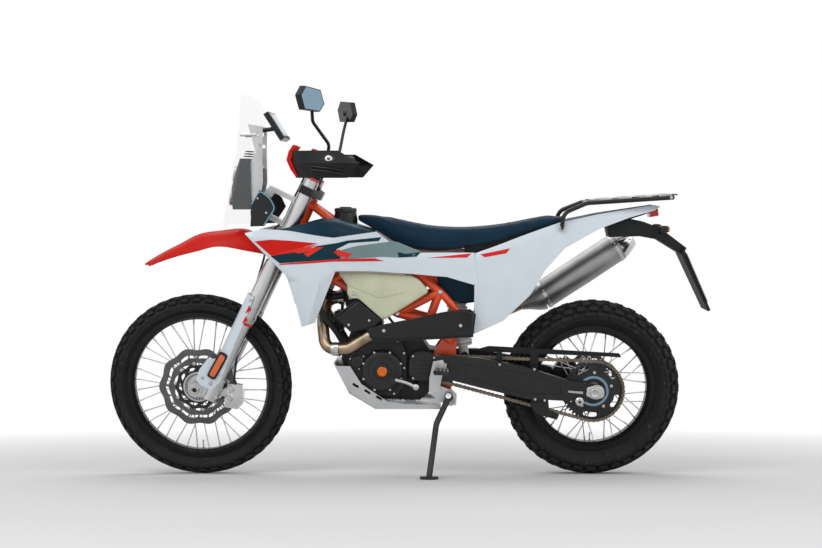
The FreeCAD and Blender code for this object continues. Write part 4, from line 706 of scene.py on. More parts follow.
@dataclass(frozen=True)
class Finish:
    """A surface finish with noise in its colour, gloss and relief.

    Attributes:
        name: material name.
        colour: main colour, scene linear.
        rough: mean roughness.
        metal: metallic share.
        tone: how far the noise darkens the colour, 0 to 1.
        grain: size of the relief's noise, per metre.
        relief: depth of the relief, in metres.
        coat: clear coat weight.
        dust: share of pale dust that lies on the surface.
        specular: specular level.
    """

    name: str
    colour: Colour
    rough: float = 0.45
    metal: float = 0.0
    tone: float = 0.12
    grain: float = 900.0
    relief: float = 0.00006
    coat: float = 0.0
    dust: float = 0.0
    specular: float = 0.5

    def nodes(self, tree: Tree) -> Shader:
        """Builds the node tree.

        Args:
            tree: an empty tree with only its output.

        Returns:
            The principled shader, linked to the output.
        """
        shader = tree.nodes.new("ShaderNodeBsdfPrincipled")
        tree.links.new(shader.outputs["BSDF"], tree.nodes["Material Output"].inputs["Surface"])
        where = tree.nodes.new("ShaderNodeTexCoord").outputs["Object"]
        cloud = noise(tree, where, CLOUD_SCALE, CLOUD_DETAIL)
        fine = noise(tree, where, self.grain, GRAIN_DETAIL)
        dark = tuple(channel * (1 - self.tone) for channel in self.colour)
        light = tuple(min(1.0, channel * (1 + 0.6 * self.tone)) for channel in self.colour)
        colour = blend_colour(tree, spread(tree, cloud, 0.3, 0.7), dark, light)
        if self.dust:
            speck = noise(tree, where, DUST_SCALE, DUST_DETAIL)
            share = spread(tree, speck, 0.72 - self.dust, 1.0 - 0.4 * self.dust)
            colour = blend_colour(tree, share, colour, DUST_COLOUR)
        tree.links.new(colour, shader.inputs["Base Color"])
        gloss = spread(tree, fine, 0.2, 0.8, self.rough * 0.86, min(1.0, self.rough * 1.16))
        tree.links.new(gloss, shader.inputs["Roughness"])
        shader.inputs["Metallic"].default_value = self.metal
        shader.inputs["Coat Weight"].default_value = self.coat
        shader.inputs["Coat Roughness"].default_value = COAT_ROUGH
        shader.inputs["Specular IOR Level"].default_value = self.specular
        if self.relief:
            relieve(tree, shader, fine, self.relief)
        return shader

    def material(self) -> bpy.types.Material:
        """The finish as a material, made once per name.

        Returns:
            The material.
        """
        title = f"look_{self.name}"
        found = bpy.data.materials.get(title)
        if found:
            return found
        made = bpy.data.materials.new(title)
        made.use_nodes = True
        for node in list(made.node_tree.nodes):
            if node.type != "OUTPUT_MATERIAL":
                made.node_tree.nodes.remove(node)
        made.diffuse_color = (*self.colour, 1.0)
        self.nodes(made.node_tree)
        return made


@dataclass(frozen=True)
class Brushed(Finish):
    """Metal whose gloss has fine lines, drawn out along the axes of least stretch."""

    stretch: At = (1.0, 30.0, 30.0)

    def nodes(self, tree: Tree) -> Shader:
        """Adds drawn-out noise to the roughness.

        Args:
            tree: an empty tree with only its output.

        Returns:
            The principled shader.
        """
        shader = super().nodes(tree)
        drawn = tree.nodes.new("ShaderNodeMapping")
        drawn.inputs["Scale"].default_value = self.stretch
        tree.links.new(tree.nodes.new("ShaderNodeTexCoord").outputs["Object"],
                       drawn.inputs["Vector"])
        lines = noise(tree, drawn.outputs["Vector"], LINE_SCALE, LINE_DETAIL)
        gloss = spread(tree, lines, 0.25, 0.75, self.rough * 0.75, min(1.0, self.rough * 1.35))
        tree.links.new(gloss, shader.inputs["Roughness"])
        return shader


@dataclass(frozen=True)
class Clear(Finish):
    """See-through plastic or glass; a cover under 1 makes it a thin film instead."""

    through: float = 0.9
    bend: float = 1.45
    cover: float = 1.0

    def nodes(self, tree: Tree) -> Shader:
        """Makes the shader let light through.

        Args:
            tree: an empty tree with only its output.

        Returns:
            The principled shader.
        """
        shader = super().nodes(tree)
        shader.inputs["Transmission Weight"].default_value = self.through
        shader.inputs["IOR"].default_value = self.bend
        shader.inputs["Alpha"].default_value = self.cover
        return shader


@dataclass(frozen=True)
class Fabric(Finish):
    """Woven or grained cover: two crossed waves in the relief and a soft sheen."""

    thread: float = 900.0

    def nodes(self, tree: Tree) -> Shader:
        """Adds the weave to the relief and sheen to the shader.

        Args:
            tree: an empty tree with only its output.

        Returns:
            The principled shader.
        """
        shader = super().nodes(tree)
        where = tree.nodes.new("ShaderNodeTexCoord").outputs["Object"]
        heights = []
        for direction in ("X", "Y"):
            wave = tree.nodes.new("ShaderNodeTexWave")
            wave.bands_direction = direction
            wave.inputs["Scale"].default_value = self.thread / 6.2832
            tree.links.new(where, wave.inputs["Vector"])
            heights.append(wave.outputs["Fac"])
        relieve(tree, shader, maths(tree, "MAXIMUM", *heights), self.relief)
        shader.inputs["Sheen Weight"].default_value = SHEEN
        return shader


@dataclass(frozen=True)
class Decal(Finish):
    """Printed colour on a smooth panel."""

    rough: float = 0.34
    tone: float = 0.05
    relief: float = 0.00002
    specular: float = 0.12


TYRE = Finish("tyre_rubber", (0.013, 0.014, 0.015), rough=0.78, tone=0.3, grain=700, relief=0.0004,
              dust=0.06, specular=0.3)
BLACK_RIM = Finish("black_rim", (0.012, 0.012, 0.014), rough=0.3, metal=0.7, tone=0.2)
SPOKE = Brushed("spoke_steel", (0.55, 0.55, 0.54), rough=0.32, metal=1.0, stretch=(1, 1, 1))
DISC = Brushed("disc_steel", (0.13, 0.13, 0.135), rough=0.36, metal=1.0, tone=0.25,
               stretch=(1, 1, 1))
DARK_STEEL = Finish("dark_steel", (0.03, 0.03, 0.032), rough=0.45, metal=0.6, tone=0.3)
CHAIN = Finish("chain_steel", (0.2, 0.17, 0.13), rough=0.4, metal=0.9, tone=0.4)
ORANGE_FRAME = Finish("orange_frame", (0.92, 0.085, 0.014), rough=0.36, tone=0.15, coat=0.3)
STEEL = Brushed("bare_steel", (0.55, 0.55, 0.54), rough=0.3, metal=1.0, tone=0.2)
ARM_BLACK = Finish("arm_black", (0.014, 0.014, 0.015), rough=0.42, metal=0.3, tone=0.25)
CASTING = Finish("engine_casting", (0.022, 0.022, 0.024), rough=0.5, metal=0.4, tone=0.3,
                 grain=1500, relief=0.0002)
ALUMINIUM = Brushed("satin_aluminium", (0.56, 0.57, 0.58), rough=0.38, metal=1.0, tone=0.12,
                    stretch=(30, 30, 1))
HEADER = Finish("header_steel", (0.42, 0.32, 0.22), rough=0.34, metal=1.0, tone=0.5)
TITANIUM = Brushed("titanium_grey", (0.36, 0.355, 0.35), rough=0.4, metal=1.0, tone=0.15,
                   stretch=(1, 20, 20))
POLISHED = Finish("polished_cap", (0.6, 0.6, 0.61), rough=0.16, metal=1.0, tone=0.08, relief=0.0)
BLACK_PLASTIC = Finish("grained_plastic", (0.01, 0.011, 0.012), rough=0.62, tone=0.25, grain=1600,
                       relief=0.00006, specular=0.25)
SMOOTH_BLACK = Finish("smooth_black", (0.008, 0.009, 0.01), rough=0.3, tone=0.2, relief=0.00003,
                      specular=0.35)
WHITE = Finish("white_plastic", (0.7, 0.77, 0.84), rough=0.28, tone=0.03, coat=0.35, relief=0.00002)
ORANGE = Finish("orange_plastic", (0.66, 0.016, 0.01), rough=0.34, tone=0.08, relief=0.00002,
                specular=0.12)
NAVY = Finish("navy_plastic", (0.004, 0.032, 0.06), rough=0.38, tone=0.12, relief=0.00003,
              specular=0.15)
CREAM = Finish("cream_cell", (0.62, 0.64, 0.46), rough=0.45, tone=0.1, relief=0.00005)
RADIATOR = Finish("radiator_dark", (0.03, 0.03, 0.032), rough=0.5, metal=0.6, tone=0.3)
FORK_SILVER = Brushed("fork_silver", (0.6, 0.61, 0.62), rough=0.28, metal=1.0, tone=0.1,
                      stretch=(1, 1, 1))
CLAMP_BLACK = Finish("clamp_black", (0.018, 0.018, 0.02), rough=0.36, metal=0.6, tone=0.2)
RUBBER = Finish("soft_rubber", (0.016, 0.016, 0.017), rough=0.7, tone=0.2, grain=800, relief=0.0003)
SCREEN = Clear("screen_clear", (0.97, 0.985, 0.99), rough=0.0, tone=0.0, relief=0.0, specular=0.5,
               through=0.0, cover=0.05)
SMOKE = Clear("smoked_lens", (0.1, 0.11, 0.12), rough=0.06, tone=0.05, relief=0.0, through=0.75)
DARK_LENS = Finish("dark_lens", (0.006, 0.012, 0.014), rough=0.45, tone=0.3, relief=0.0,
                   specular=0.3)
RED_LENS = Clear("red_lens", (0.6, 0.01, 0.01), rough=0.1, tone=0.05, relief=0.0, through=0.5)
PLATE = Finish("blank_plate", (0.6, 0.6, 0.57), rough=0.5, tone=0.06)
SEAT_NAVY = Fabric("seat_cover", (0.004, 0.026, 0.052), rough=0.72, tone=0.2, relief=0.0001,
                   specular=0.12)
RED_PAINT = Finish("red_paint", (0.62, 0.03, 0.015), rough=0.32, tone=0.06)
GLASS_BLUE = Finish("mirror_glass", (0.22, 0.33, 0.42), rough=0.05, metal=1.0, tone=0.03,
                    relief=0.0)
BLUE_CORD = Finish("blue_piping", (0.2, 0.42, 0.55), rough=0.4, tone=0.05)
ORANGE_LENS = Finish("orange_reflector", (0.75, 0.14, 0.02), rough=0.14, tone=0.1, coat=0.6,
                     relief=0.0)
WHITE_SPRING = Finish("white_spring", (0.7, 0.7, 0.7), rough=0.35, tone=0.08)
BLUE_TEAL = Decal("teal_decal", (0.005, 0.035, 0.052), tone=0.06)
GREY_GREEN = Decal("grey_green_decal", (0.2, 0.29, 0.3))
ORANGE_DECAL = Decal("orange_decal", (0.8, 0.04, 0.026))
RED_DECAL = Decal("red_decal", (0.74, 0.028, 0.026))
BEIGE = Finish("beige_strip", (0.5, 0.44, 0.33), rough=0.5, tone=0.08)
BRONZE = Finish("bronze_plug", (0.75, 0.2, 0.03), rough=0.32, metal=0.8, tone=0.1)

NODE_FINISH: dict[str, Finish] = {
    "front_tyre": TYRE, "rear_tyre": TYRE, "front_rim": BLACK_RIM, "rear_rim": BLACK_RIM,
    "front_hub": SPOKE,
    "rear_hub": SPOKE, "front_disc": DISC, "rear_disc": DISC, "rear_sprocket": DARK_STEEL,
    "chain": CHAIN,
    "front_sprocket": DARK_STEEL, "main_frame": ORANGE_FRAME, "arm_axles": STEEL,
    "swingarm": ARM_BLACK,
    "engine": CASTING, "skid_plate": ALUMINIUM, "exhaust_header": HEADER, "silencer": TITANIUM,
    "side_guards": BLACK_PLASTIC, "rear_shock": WHITE_SPRING, "shrouds": WHITE,
    "side_panels": WHITE,
    "tail": BLACK_PLASTIC, "seat": SEAT_NAVY, "fuel_tank": NAVY, "fuel_cells": CREAM,
    "canister": SMOOTH_BLACK,
    "radiators": RADIATOR, "fork_legs": FORK_SILVER, "front_axle": STEEL,
    "triple_clamps": CLAMP_BLACK,
    "handlebar": CLAMP_BLACK, "grips": RUBBER, "front_fender": ORANGE, "fork_guards": WHITE,
    "front_caliper": FORK_SILVER, "rear_caliper": CLAMP_BLACK, "handguards": BLACK_PLASTIC,
    "mirrors": SMOOTH_BLACK,
    "hand_levers": DARK_STEEL, "front_hose": RUBBER, "windscreen": SCREEN, "lamp_unit": DARK_LENS,
    "nose_tower": ALUMINIUM, "display": SMOOTH_BLACK, "lower_fairings": SMOOTH_BLACK,
    "rack": SMOOTH_BLACK,
    "plate_holder": BLACK_PLASTIC, "number_plate": PLATE, "tail_lamp": RED_LENS,
    "peg_brackets": ALUMINIUM,
    "side_stand": DARK_STEEL, "foot_controls": DARK_STEEL,
}


def dress_nodes(nodes: dict[str, Thing]) -> None:
    """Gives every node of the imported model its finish.

    Args:
        nodes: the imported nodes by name.
    """
    for name, thing in nodes.items():
        thing.data.materials.clear()
        thing.data.materials.append(NODE_FINISH.get(name, BLACK_PLASTIC).material())
    LOG.info("dressed %d nodes", len(nodes))


@dataclass(frozen=True)
class Piece:
    """Maker of pieces on one body: shape, finish, and what each piece stands for."""

    body: Body

    def add(
        self, name: str, surface: Surface, finish: Finish, smooth: float = 30.0,
        facing: Optional[Point] = None,
        wall: float = 0.0, bevel: float = 0.0, segments: int = 2, replaces: Sequence[str] = (),
        slot: str = "",
    ) -> Thing:
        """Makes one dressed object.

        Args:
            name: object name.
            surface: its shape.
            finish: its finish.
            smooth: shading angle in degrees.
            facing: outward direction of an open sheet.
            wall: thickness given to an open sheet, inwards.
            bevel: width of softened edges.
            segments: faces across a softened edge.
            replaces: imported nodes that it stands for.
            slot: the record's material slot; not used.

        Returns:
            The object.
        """
        thing = make_object(name, surface, smooth)
        if facing is not None:
            face_towards(thing, facing)
        if wall:
            add_wall(thing, wall)
        if bevel:
            add_bevel(thing, bevel, segments)
        thing.data.materials.append(finish.material())
        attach(thing, self.body.value)
        if replaces:
            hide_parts(*replaces)
        return thing

    def bolts(
        self, name: str, heads: Line, mirrored: bool = False, finish: Finish = STEEL,
        way: Point = TO_LEFT,
    ) -> None:
        """Makes bolt heads as one object.

        Args:
            name: object name.
            heads: for each head its x, y, z, radius and rise.
            mirrored: whether the other side has them too.
            finish: their finish.
            way: the way that they face.
        """
        made = joined([button(head[:3], head[3], head[4], way) for head in heads])
        self.add(name, both(made) if mirrored else made, finish)


CHASSIS, FORK = Piece(Body.CHASSIS), Piece(Body.FORK)


# Wheels


@dataclass(frozen=True)
class LugRow:
    """One ring of tyre lugs.

    Attributes:
        across: angle across the crown from its middle, in degrees.
        length: size along the tread.
        width: size across the tread.
        height: how far the lug stands proud of the carcass.
        phase: shift along the tread, in pitches.
        slant: turn of the lug on the carcass, in degrees.
    """

    across: float
    length: float
    width: float
    height: float
    phase: float
    slant: float = 0.0


@dataclass(frozen=True)
class TyreLook:
    """Knobbly tyre: a ribbed carcass with rings of tapered lugs."""

    node: str
    body: Body
    radius: float
    half_width: float
    bead: float
    rim_half: float
    pitches: int
    rows: Sequence[LugRow]
    shoulder_share: float = 0.36
    lug_foot: float = -4.0
    lug_drop: float = 1.5

    @property
    def shoulder(self) -> float:
        """Radius at which the sidewall meets the crown."""
        return self.radius - self.shoulder_share * (self.radius - self.bead)

    def carcass(self, centre: Array) -> Surface:
        """Closed profile turned about the axle: flat sidewalls with three ribs and a round crown.

        Args:
            centre: middle of the axle.

        Returns:
            The carcass without its lugs.
        """
        base = self.radius - max(row.height for row in self.rows)
        reach = self.half_width - 6
        crown = [(base - (base - self.shoulder + 8) * t * t, reach * t) for t in np.linspace(-1, 1,
                                                                                             13)]
        widest = self.bead + 0.5 * (self.radius - self.bead)
        bead_half = self.rim_half - 4.5
        flange = self.bead + 13.5
        left = [
            (widest + 10, self.half_width - 2.5),
            (widest, self.half_width - 1.5),
            (widest - 3, self.half_width - 2.6),
            (widest - 14, self.half_width - 5.5),
            (flange + 7, self.rim_half + 2.5),
            (flange + 5, self.rim_half - 1),
            (flange + 0.5, bead_half),
            (self.bead + 0.5, bead_half),
            (self.bead + 0.5, bead_half - 8),
            (widest - 6, self.half_width - 14),
            (base - 14, 0.5 * reach),
        ]
        right = [(r, -y) for r, y in left][::-1]
        return closed_lathe([*crown, *left, *right], centre, turns=96)

    def lug(self, row: LugRow) -> Surface:
        """Tapered block with its foot sunk into the carcass; X along, Y across, Z outwards.

        Args:
            row: the ring that it belongs to.

        Returns:
            One lug at the origin.
        """
        foot, top = self.lug_foot, row.height - self.lug_drop
        corners = np.array([(-1, -1), (1, -1), (1, 1), (-1, 1)], float)
        half = np.array([row.length, row.width]) / 2
        low = np.hstack([corners * (half + 1), np.full((4, 1), foot)])
        high = np.hstack([corners * (half - 1), np.full((4, 1), top)])
        faces = [(3, 2, 1, 0), (4, 5, 6, 7), (0, 1, 5, 4), (1, 2, 6, 5), (2, 3, 7, 6), (3, 0, 4, 7)]
        return Surface(np.concatenate([low, high]), faces)

    def lugs(self, centre: Array) -> list[Surface]:
        """Each row's lugs round the tyre on both sides of the crown.

        A lug's place is centre + radial(w) (r0 + R cos t) + across R sin t, on the crown's circle.

        Args:
            centre: middle of the axle.

        Returns:
            One surface for each row and side.
        """
        rise = self.radius - self.shoulder
        bow = (self.half_width**2 + rise**2) / (2 * rise)
        over = np.array(TO_LEFT, float)
        found = []
        for row in self.rows:
            for hand in (1, -1) if row.across else (1,):
                tilt, slant = math.radians(row.across) * hand, math.radians(row.slant) * hand
                w = round_angles(self.pitches, row.phase)
                radial = spokes(w)
                along = np.stack([-np.sin(w), 0 * w, np.cos(w)], axis=1)
                out = radial * math.cos(tilt) + over * math.sin(tilt)
                side = over * math.cos(tilt) - radial * math.sin(tilt)
                first = along * math.cos(slant) + side * math.sin(slant)
                second = side * math.cos(slant) - along * math.sin(slant)
                depth = bow - row.height
                place = centre + radial * (self.radius - bow + depth * math.cos(tilt))
                place = place + over * depth * math.sin(tilt)
                found.append(copies(self.lug(row), np.stack([first, -second, out], axis=2), place))
        return found

    def build(self, centre: Array) -> None:
        """Makes the tyre in place of its plain node.

        Args:
            centre: middle of the axle.
        """
        shape = joined([self.carcass(centre), *self.lugs(centre)])
        Piece(self.body).add(self.node + "_look", shape, TYRE, 25,
                             replaces=(self.node,), slot="tyre_rubber")


@dataclass(frozen=True)
class WaveDisc:
    """Brake disc with a waved rim, slots, a slotted carrier and a toothed sensor ring."""

    node: str
    body: Body
    radius: float
    carrier: float
    inner: float
    at: float
    waves: int = 10
    thickness: float = 4.0
    outline_points: int = 240
    sensor_teeth: int = 48

    def wavy(self, radius: float, depth: float = 0.0, phase: float = 0.0) -> Array:
        """Outline r(u) = radius - depth (1 - cos(waves u + phase)) / 2 as (x, z) pairs.

        Args:
            radius: largest radius.
            depth: how far the waves go in.
            phase: their turn, in radians.

        Returns:
            The outline's points.
        """
        u = round_angles(self.outline_points)
        r = radius - depth * (1 - np.cos(self.waves * u + phase)) / 2
        return np.stack([r * np.cos(u), r * np.sin(u)], axis=1)

    def band(self, outer: Array, inner: Array, centre: Array, low: float, high: float) -> Surface:
        """Flat ring between two outlines with the same number of points.

        Args:
            outer: outer outline.
            inner: inner outline.
            centre: middle of the axle.
            low: plane of one face.
            high: plane of the other face.

        Returns:
            The closed ring.
        """
        loops = [(outer, low), (outer, high), (inner, high), (inner, low)]
        rows = [np.stack([loop[:, 0], np.full(len(loop), y), loop[:, 1]], axis=1) for loop,
                y in loops]
        return grid(np.stack(rows) + centre, wrap_u=True, wrap_v=True)

    def bridges(self, reach: Spot, count: int, width: float, centre: Array, y: float,
                slant: float) -> Surface:
        """Slanted bars between two radii.

        Args:
            reach: inner and outer radius.
            count: number of bars.
            width: width of a bar.
            centre: middle of the axle.
            y: sideways place of their middle.
            slant: turn between their ends, in radians.

        Returns:
            All the bars.
        """
        w = round_angles(count)
        ends = (spokes(w) * reach[0], spokes(w + slant) * reach[1])
        across = unit(np.cross(ends[1] - ends[0], TO_LEFT))
        half = self.thickness / 2
        corners = [
            end + across * sx * width / 2 + np.array([0, sy * half, 0])
            for end in ends for sy, sx in ((-1, -1), (-1, 1), (1, 1), (1, -1))
        ]
        points = np.stack(corners, axis=1) + centre + np.array([0, y, 0])
        quads = [(0, 1, 2, 3), (7, 6, 5, 4), (0, 4, 5, 1), (1, 5, 6, 2), (2, 6, 7, 3), (3, 7, 4, 0)]
        faces = [tuple(8 * n + c for c in quad) for n in range(count) for quad in quads]
        return Surface(points.reshape(-1, 3), faces)

    def build(self, centre: Array) -> None:
        """Makes disc, carrier, rivets and sensor ring in place of the plain node.

        Args:
            centre: middle of the axle.
        """
        piece = Piece(self.body)
        low, high = self.at - self.thickness / 2, self.at + self.thickness / 2
        mid = (self.radius + self.carrier) / 2
        carrier, inner, waves = self.carrier, self.inner, self.waves
        steel = [
            self.band(self.wavy(self.radius, 9), self.wavy(mid + 5, 6), centre, low, high),
            self.band(self.wavy(mid - 6, 4), self.wavy(carrier + 5, 6, math.pi), centre, low, high),
            self.bridges((mid - 9, mid + 6), 2 * waves, 6, centre, self.at, 0.06),
        ]
        piece.add(self.node + "_look", joined(steel), DISC, bevel=0.5, segments=1,
                  replaces=(self.node,), slot="disc_steel")
        black = [
            self.band(self.wavy(carrier, 5), self.wavy(carrier - 13, 4), centre, low - 1.5,
                      high + 1.5),
            self.band(self.wavy(inner + 20), self.wavy(inner), centre, low - 1.5, high + 1.5),
            self.bridges((inner + 14, carrier - 6), waves, 12, centre, self.at, 0.5),
        ]
        piece.add(self.node + "_carrier", joined(black), DARK_STEEL, bevel=0.7, segments=1)
        rivet = [(0.1, -5.2), (5, -5.2), (6.5, -4), (6.5, 4), (5, 5.2), (0.1, 5.2)]
        spots = spokes(round_angles(waves, 0.25)) * (carrier + 1) + np.array([0, self.at,
                                                                              0]) + centre
        piece.add(self.node + "_rivets", joined([lathe(rivet, spot, turns=12) for spot in spots]),
                  STEEL)
        side = math.copysign(1, self.at)
        near, far = sorted((self.at + side * 3.0, self.at + side * 4.6))
        ring = [
            self.band(self.wavy(inner + 13), self.wavy(inner + 8), centre, near, far),
            self.bridges((inner - 1, inner + 9), self.sensor_teeth, 2.6, centre, (near + far) / 2,
                         0.0),
        ]
        piece.add(self.node + "_sensor_ring", joined(ring), STEEL)


@dataclass(frozen=True)
class Wheels:
    """Both wheels' tyres and brake discs."""

    front_rows: Sequence[LugRow] = (
        LugRow(0, 27, 18, 11, 0.0),
        LugRow(25, 27, 16, 11, 0.5),
        LugRow(49, 29, 15, 11, 0.0, 6),
        LugRow(72, 20, 12, 7, 0.5),
    )
    rear_rows: Sequence[LugRow] = (
        LugRow(0, 30, 30, 14, 0.0),
        LugRow(26, 30, 22, 14, 0.5),
        LugRow(47, 34, 20, 14, 0.0, 5),
        LugRow(66, 22, 14, 8, 0.5),
    )

    def build(self) -> None:
        """Makes both tyres and both discs."""
        front, rear = PLACE.front_axle, PLACE.rear_axle
        TyreLook("front_tyre", Body.FRONT_WHEEL, 350, 46, 267, 29, 44, self.front_rows).build(front)
        TyreLook("rear_tyre", Body.REAR_WHEEL, 339, 70, 229, 39, 40, self.rear_rows).build(rear)
        WaveDisc("front_disc", Body.FRONT_WHEEL, 150, 88, 44, 54).build(front)
        WaveDisc("rear_disc", Body.REAR_WHEEL, 120, 76, 40, -78).build(rear)


# Curved panels and their graphics


class Fold(Enum):
    """How the distance beyond a fold is measured; the value is its place in (x, z)."""

    LENGTHWISE = 0
    UPRIGHT = 1


@dataclass(frozen=True)
class Skin:
    """Side surface y(x, z): an arc through three points at each level, blended over the levels.

    Attributes:
        rows: level z with its three (x, y) points, rear to front.
        folds: polylines of (x, z) with a slope; beyond each one y falls away.
    """

    rows: tuple[tuple[float, Spot, Spot, Spot], ...]
    folds: tuple[tuple[Fold, float, tuple[Spot, ...]], ...] = ()

    def arc(self, row: tuple, x: Array) -> Array:
        """The circle through a row's points, y = uy +- sqrt(R^2 - (x - ux)^2).

        Args:
            row: a level with its three points.
            x: places along X.

        Returns:
            The sideways places.
        """
        (ax, ay), (bx, by), (cx, cy) = row[1:]
        twice = 2 * (ax * (by - cy) + bx * (cy - ay) + cx * (ay - by))
        a, b, c = ax * ax + ay * ay, bx * bx + by * by, cx * cx + cy * cy
        ux = (a * (by - cy) + b * (cy - ay) + c * (ay - by)) / twice
        uy = (a * (cx - bx) + b * (ax - cx) + c * (bx - ax)) / twice
        radius2 = (bx - ux) ** 2 + (by - uy) ** 2
        return uy + np.sign(by - uy) * np.sqrt(np.maximum(radius2 - (x - ux) ** 2, 0))

    def y(self, x: Array, z: Array) -> Array:
        """Sideways place at x and z: Lagrange's polynomial through the rows' arcs, less the folds.

        Args:
            x: places along X.
            z: heights.

        Returns:
            The sideways places.
        """
        levels = [row[0] for row in self.rows]
        total = np.zeros(np.broadcast(x, z).shape)
        for index, row in enumerate(self.rows):
            share = np.ones_like(total)
            for level in levels[:index] + levels[index + 1:]:
                share = share * (z - level) / (levels[index] - level)
            total += share * self.arc(row, x)
        for fold, slope, line in self.folds:
            measured, other = (x, z) if fold is Fold.LENGTHWISE else (z, x)
            bend = np.array(line, float)
            bend = bend[np.argsort(bend[:, 1 - fold.value])]
            beyond = measured - np.interp(other, bend[:, 1 - fold.value], bend[:, fold.value])
            total -= abs(slope) * np.maximum(0.0, beyond * math.copysign(1, slope))
        return total


@dataclass(frozen=True)
class Panel:
    """Sheet between two edges: p(u, v) = (1 - v) upper(u) + v lower(u), laid on a skin.

    Attributes:
        skin: the side surface that it lies on.
        pairs: points (x, z) on the upper edge with their partners on the lower edge.
        step: length of a row along the edges.
        columns: points from the upper to the lower edge.
    """

    skin: Skin
    pairs: tuple[tuple[Spot, Spot], ...]
    step: float = 6.0
    columns: int = 33

    def surface(self) -> Surface:
        """The sheet on its skin.

        Returns:
            The open surface.
        """
        edges = np.array(self.pairs, float)
        gaps = np.abs(np.diff(edges, axis=0)).sum(axis=2).max(axis=1)
        stops = np.concatenate([[0.0], np.cumsum(np.maximum(1, np.round(gaps / self.step)))])
        u = np.arange(stops[-1] + 1)
        v = np.linspace(0, 1, self.columns)
        upper, lower = ([np.interp(u, stops, edge[:, axis])[:, None] for axis in (0, 1)]
                        for edge in (edges[:, 0], edges[:, 1]))
        x, z = (high * (1 - v) + low * v for high, low in zip(upper, lower))
        return grid(np.stack([x, self.skin.y(x, z), z], axis=-1))


def decal(skin: Skin, outline: Line, proud: float, cell: float = 7.0, base: float = 0.5) -> Surface:
    """Flat graphic cut into cells and laid on a skin, each corner at (x, y(x, z), z).

    Args:
        skin: the side surface under it.
        outline: corners (x, z).
        proud: how far it stands off the graphics under it.
        cell: size of the cells.
        base: how far the lowest graphic stands off the skin.

    Returns:
        The thin patch.
    """
    shape = bmesh.new()
    shape.faces.new([shape.verts.new((x, 0.0, z)) for x, z in outline])
    flat = np.asarray(outline, float)
    for axis, way in ((0, AHEAD), (1, UP)):
        for cut in np.arange(flat[:, axis].min() + cell, flat[:, axis].max(), cell):
            place = tuple(cut * part for part in way)
            everything = [*shape.verts, *shape.edges, *shape.faces]
            bmesh.ops.bisect_plane(shape, geom=everything, plane_co=place, plane_no=way)
    bmesh.ops.triangulate(shape, faces=[face for face in shape.faces if len(face.verts) > 4])
    points = np.array([vert.co[:] for vert in shape.verts])
    faces = [tuple(vert.index for vert in face.verts) for face in shape.faces]
    shape.free()
    points[:, 1] = skin.y(points[:, 0], points[:, 2]) + proud + base
    return Surface(points, faces)


SHROUD_SKIN = Skin(
    (
        (560, (400, 128), (860, 172), (1300, 172)),
        (780, (400, 136), (860, 186), (1300, 192)),
        (980, (400, 112), (860, 158), (1300, 190)),
    ),
    (
        (Fold.LENGTHWISE, 0.28,
         ((1046, 560), (1070, 764), (1097, 778), (1143, 828), (1234, 909), (1260, 980))),
        (Fold.UPRIGHT, 0.45,
         ((380, 850), (640, 850), (780, 926), (900, 914), (1010, 903), (1107, 913), (1174, 918),
          (1300, 930))),
        (Fold.UPRIGHT, -0.22,
         ((380, 742), (540, 770), (820, 806), (943, 806), (1000, 760), (1060, 560), (1300, 560))),
    ),
)
SHROUD = Panel(
    SHROUD_SKIN,
    (
        ((436, 864), (419, 741)),
        ((470, 865), (536, 777)),
        ((636, 866), (673, 790)),
        ((718, 886), (745, 795)),
        ((795, 942), (820, 800)),
        ((870, 932), (900, 800)),
        ((949, 921), (943, 800)),
        ((985, 925), (983, 705)),
        ((1020, 930), (1023, 610)),
        ((1110, 946), (1071, 596)),
        ((1160, 950), (1092, 690)),
        ((1207, 953), (1112, 773)),
        ((1240, 945), (1190, 853)),
        ((1270, 938), (1269, 935)),
    ),
)
SIDE_SKIN = Skin(
    (
        (540, (-300, 70), (100, 118), (560, 136)),
        (780, (-300, 70), (100, 116), (560, 142)),
        (1060, (-300, 36), (100, 88), (560, 112)),
    ),
    ((Fold.UPRIGHT, 0.35, ((-260, 1014), (-29, 985), (118, 950), (267, 896), (434, 836))),),
)
SIDE_PAIRS = (
    ((434, 862), (420, 745)),
    ((432, 862), (436, 564)),
    ((380, 880), (385, 587)),
    ((330, 898), (329, 612)),
    ((267, 922), (229, 707)),
    ((200, 946), (174, 799)),
    ((118, 974), (100, 880)),
    ((44, 989), (34, 916)),
    ((-29, 1004), (-29, 950)),
    ((-132, 1020), (-140, 990)),
    ((-236, 1036), (-236, 1016)),
    ((-257, 1031), (-257, 1029)),
)
RIGHT_PAIRS = (
    ((434, 862), (420, 745)),
    ((380, 880), (385, 702)),
    ((330, 898), (329, 702)),
    *SIDE_PAIRS[4:],
)
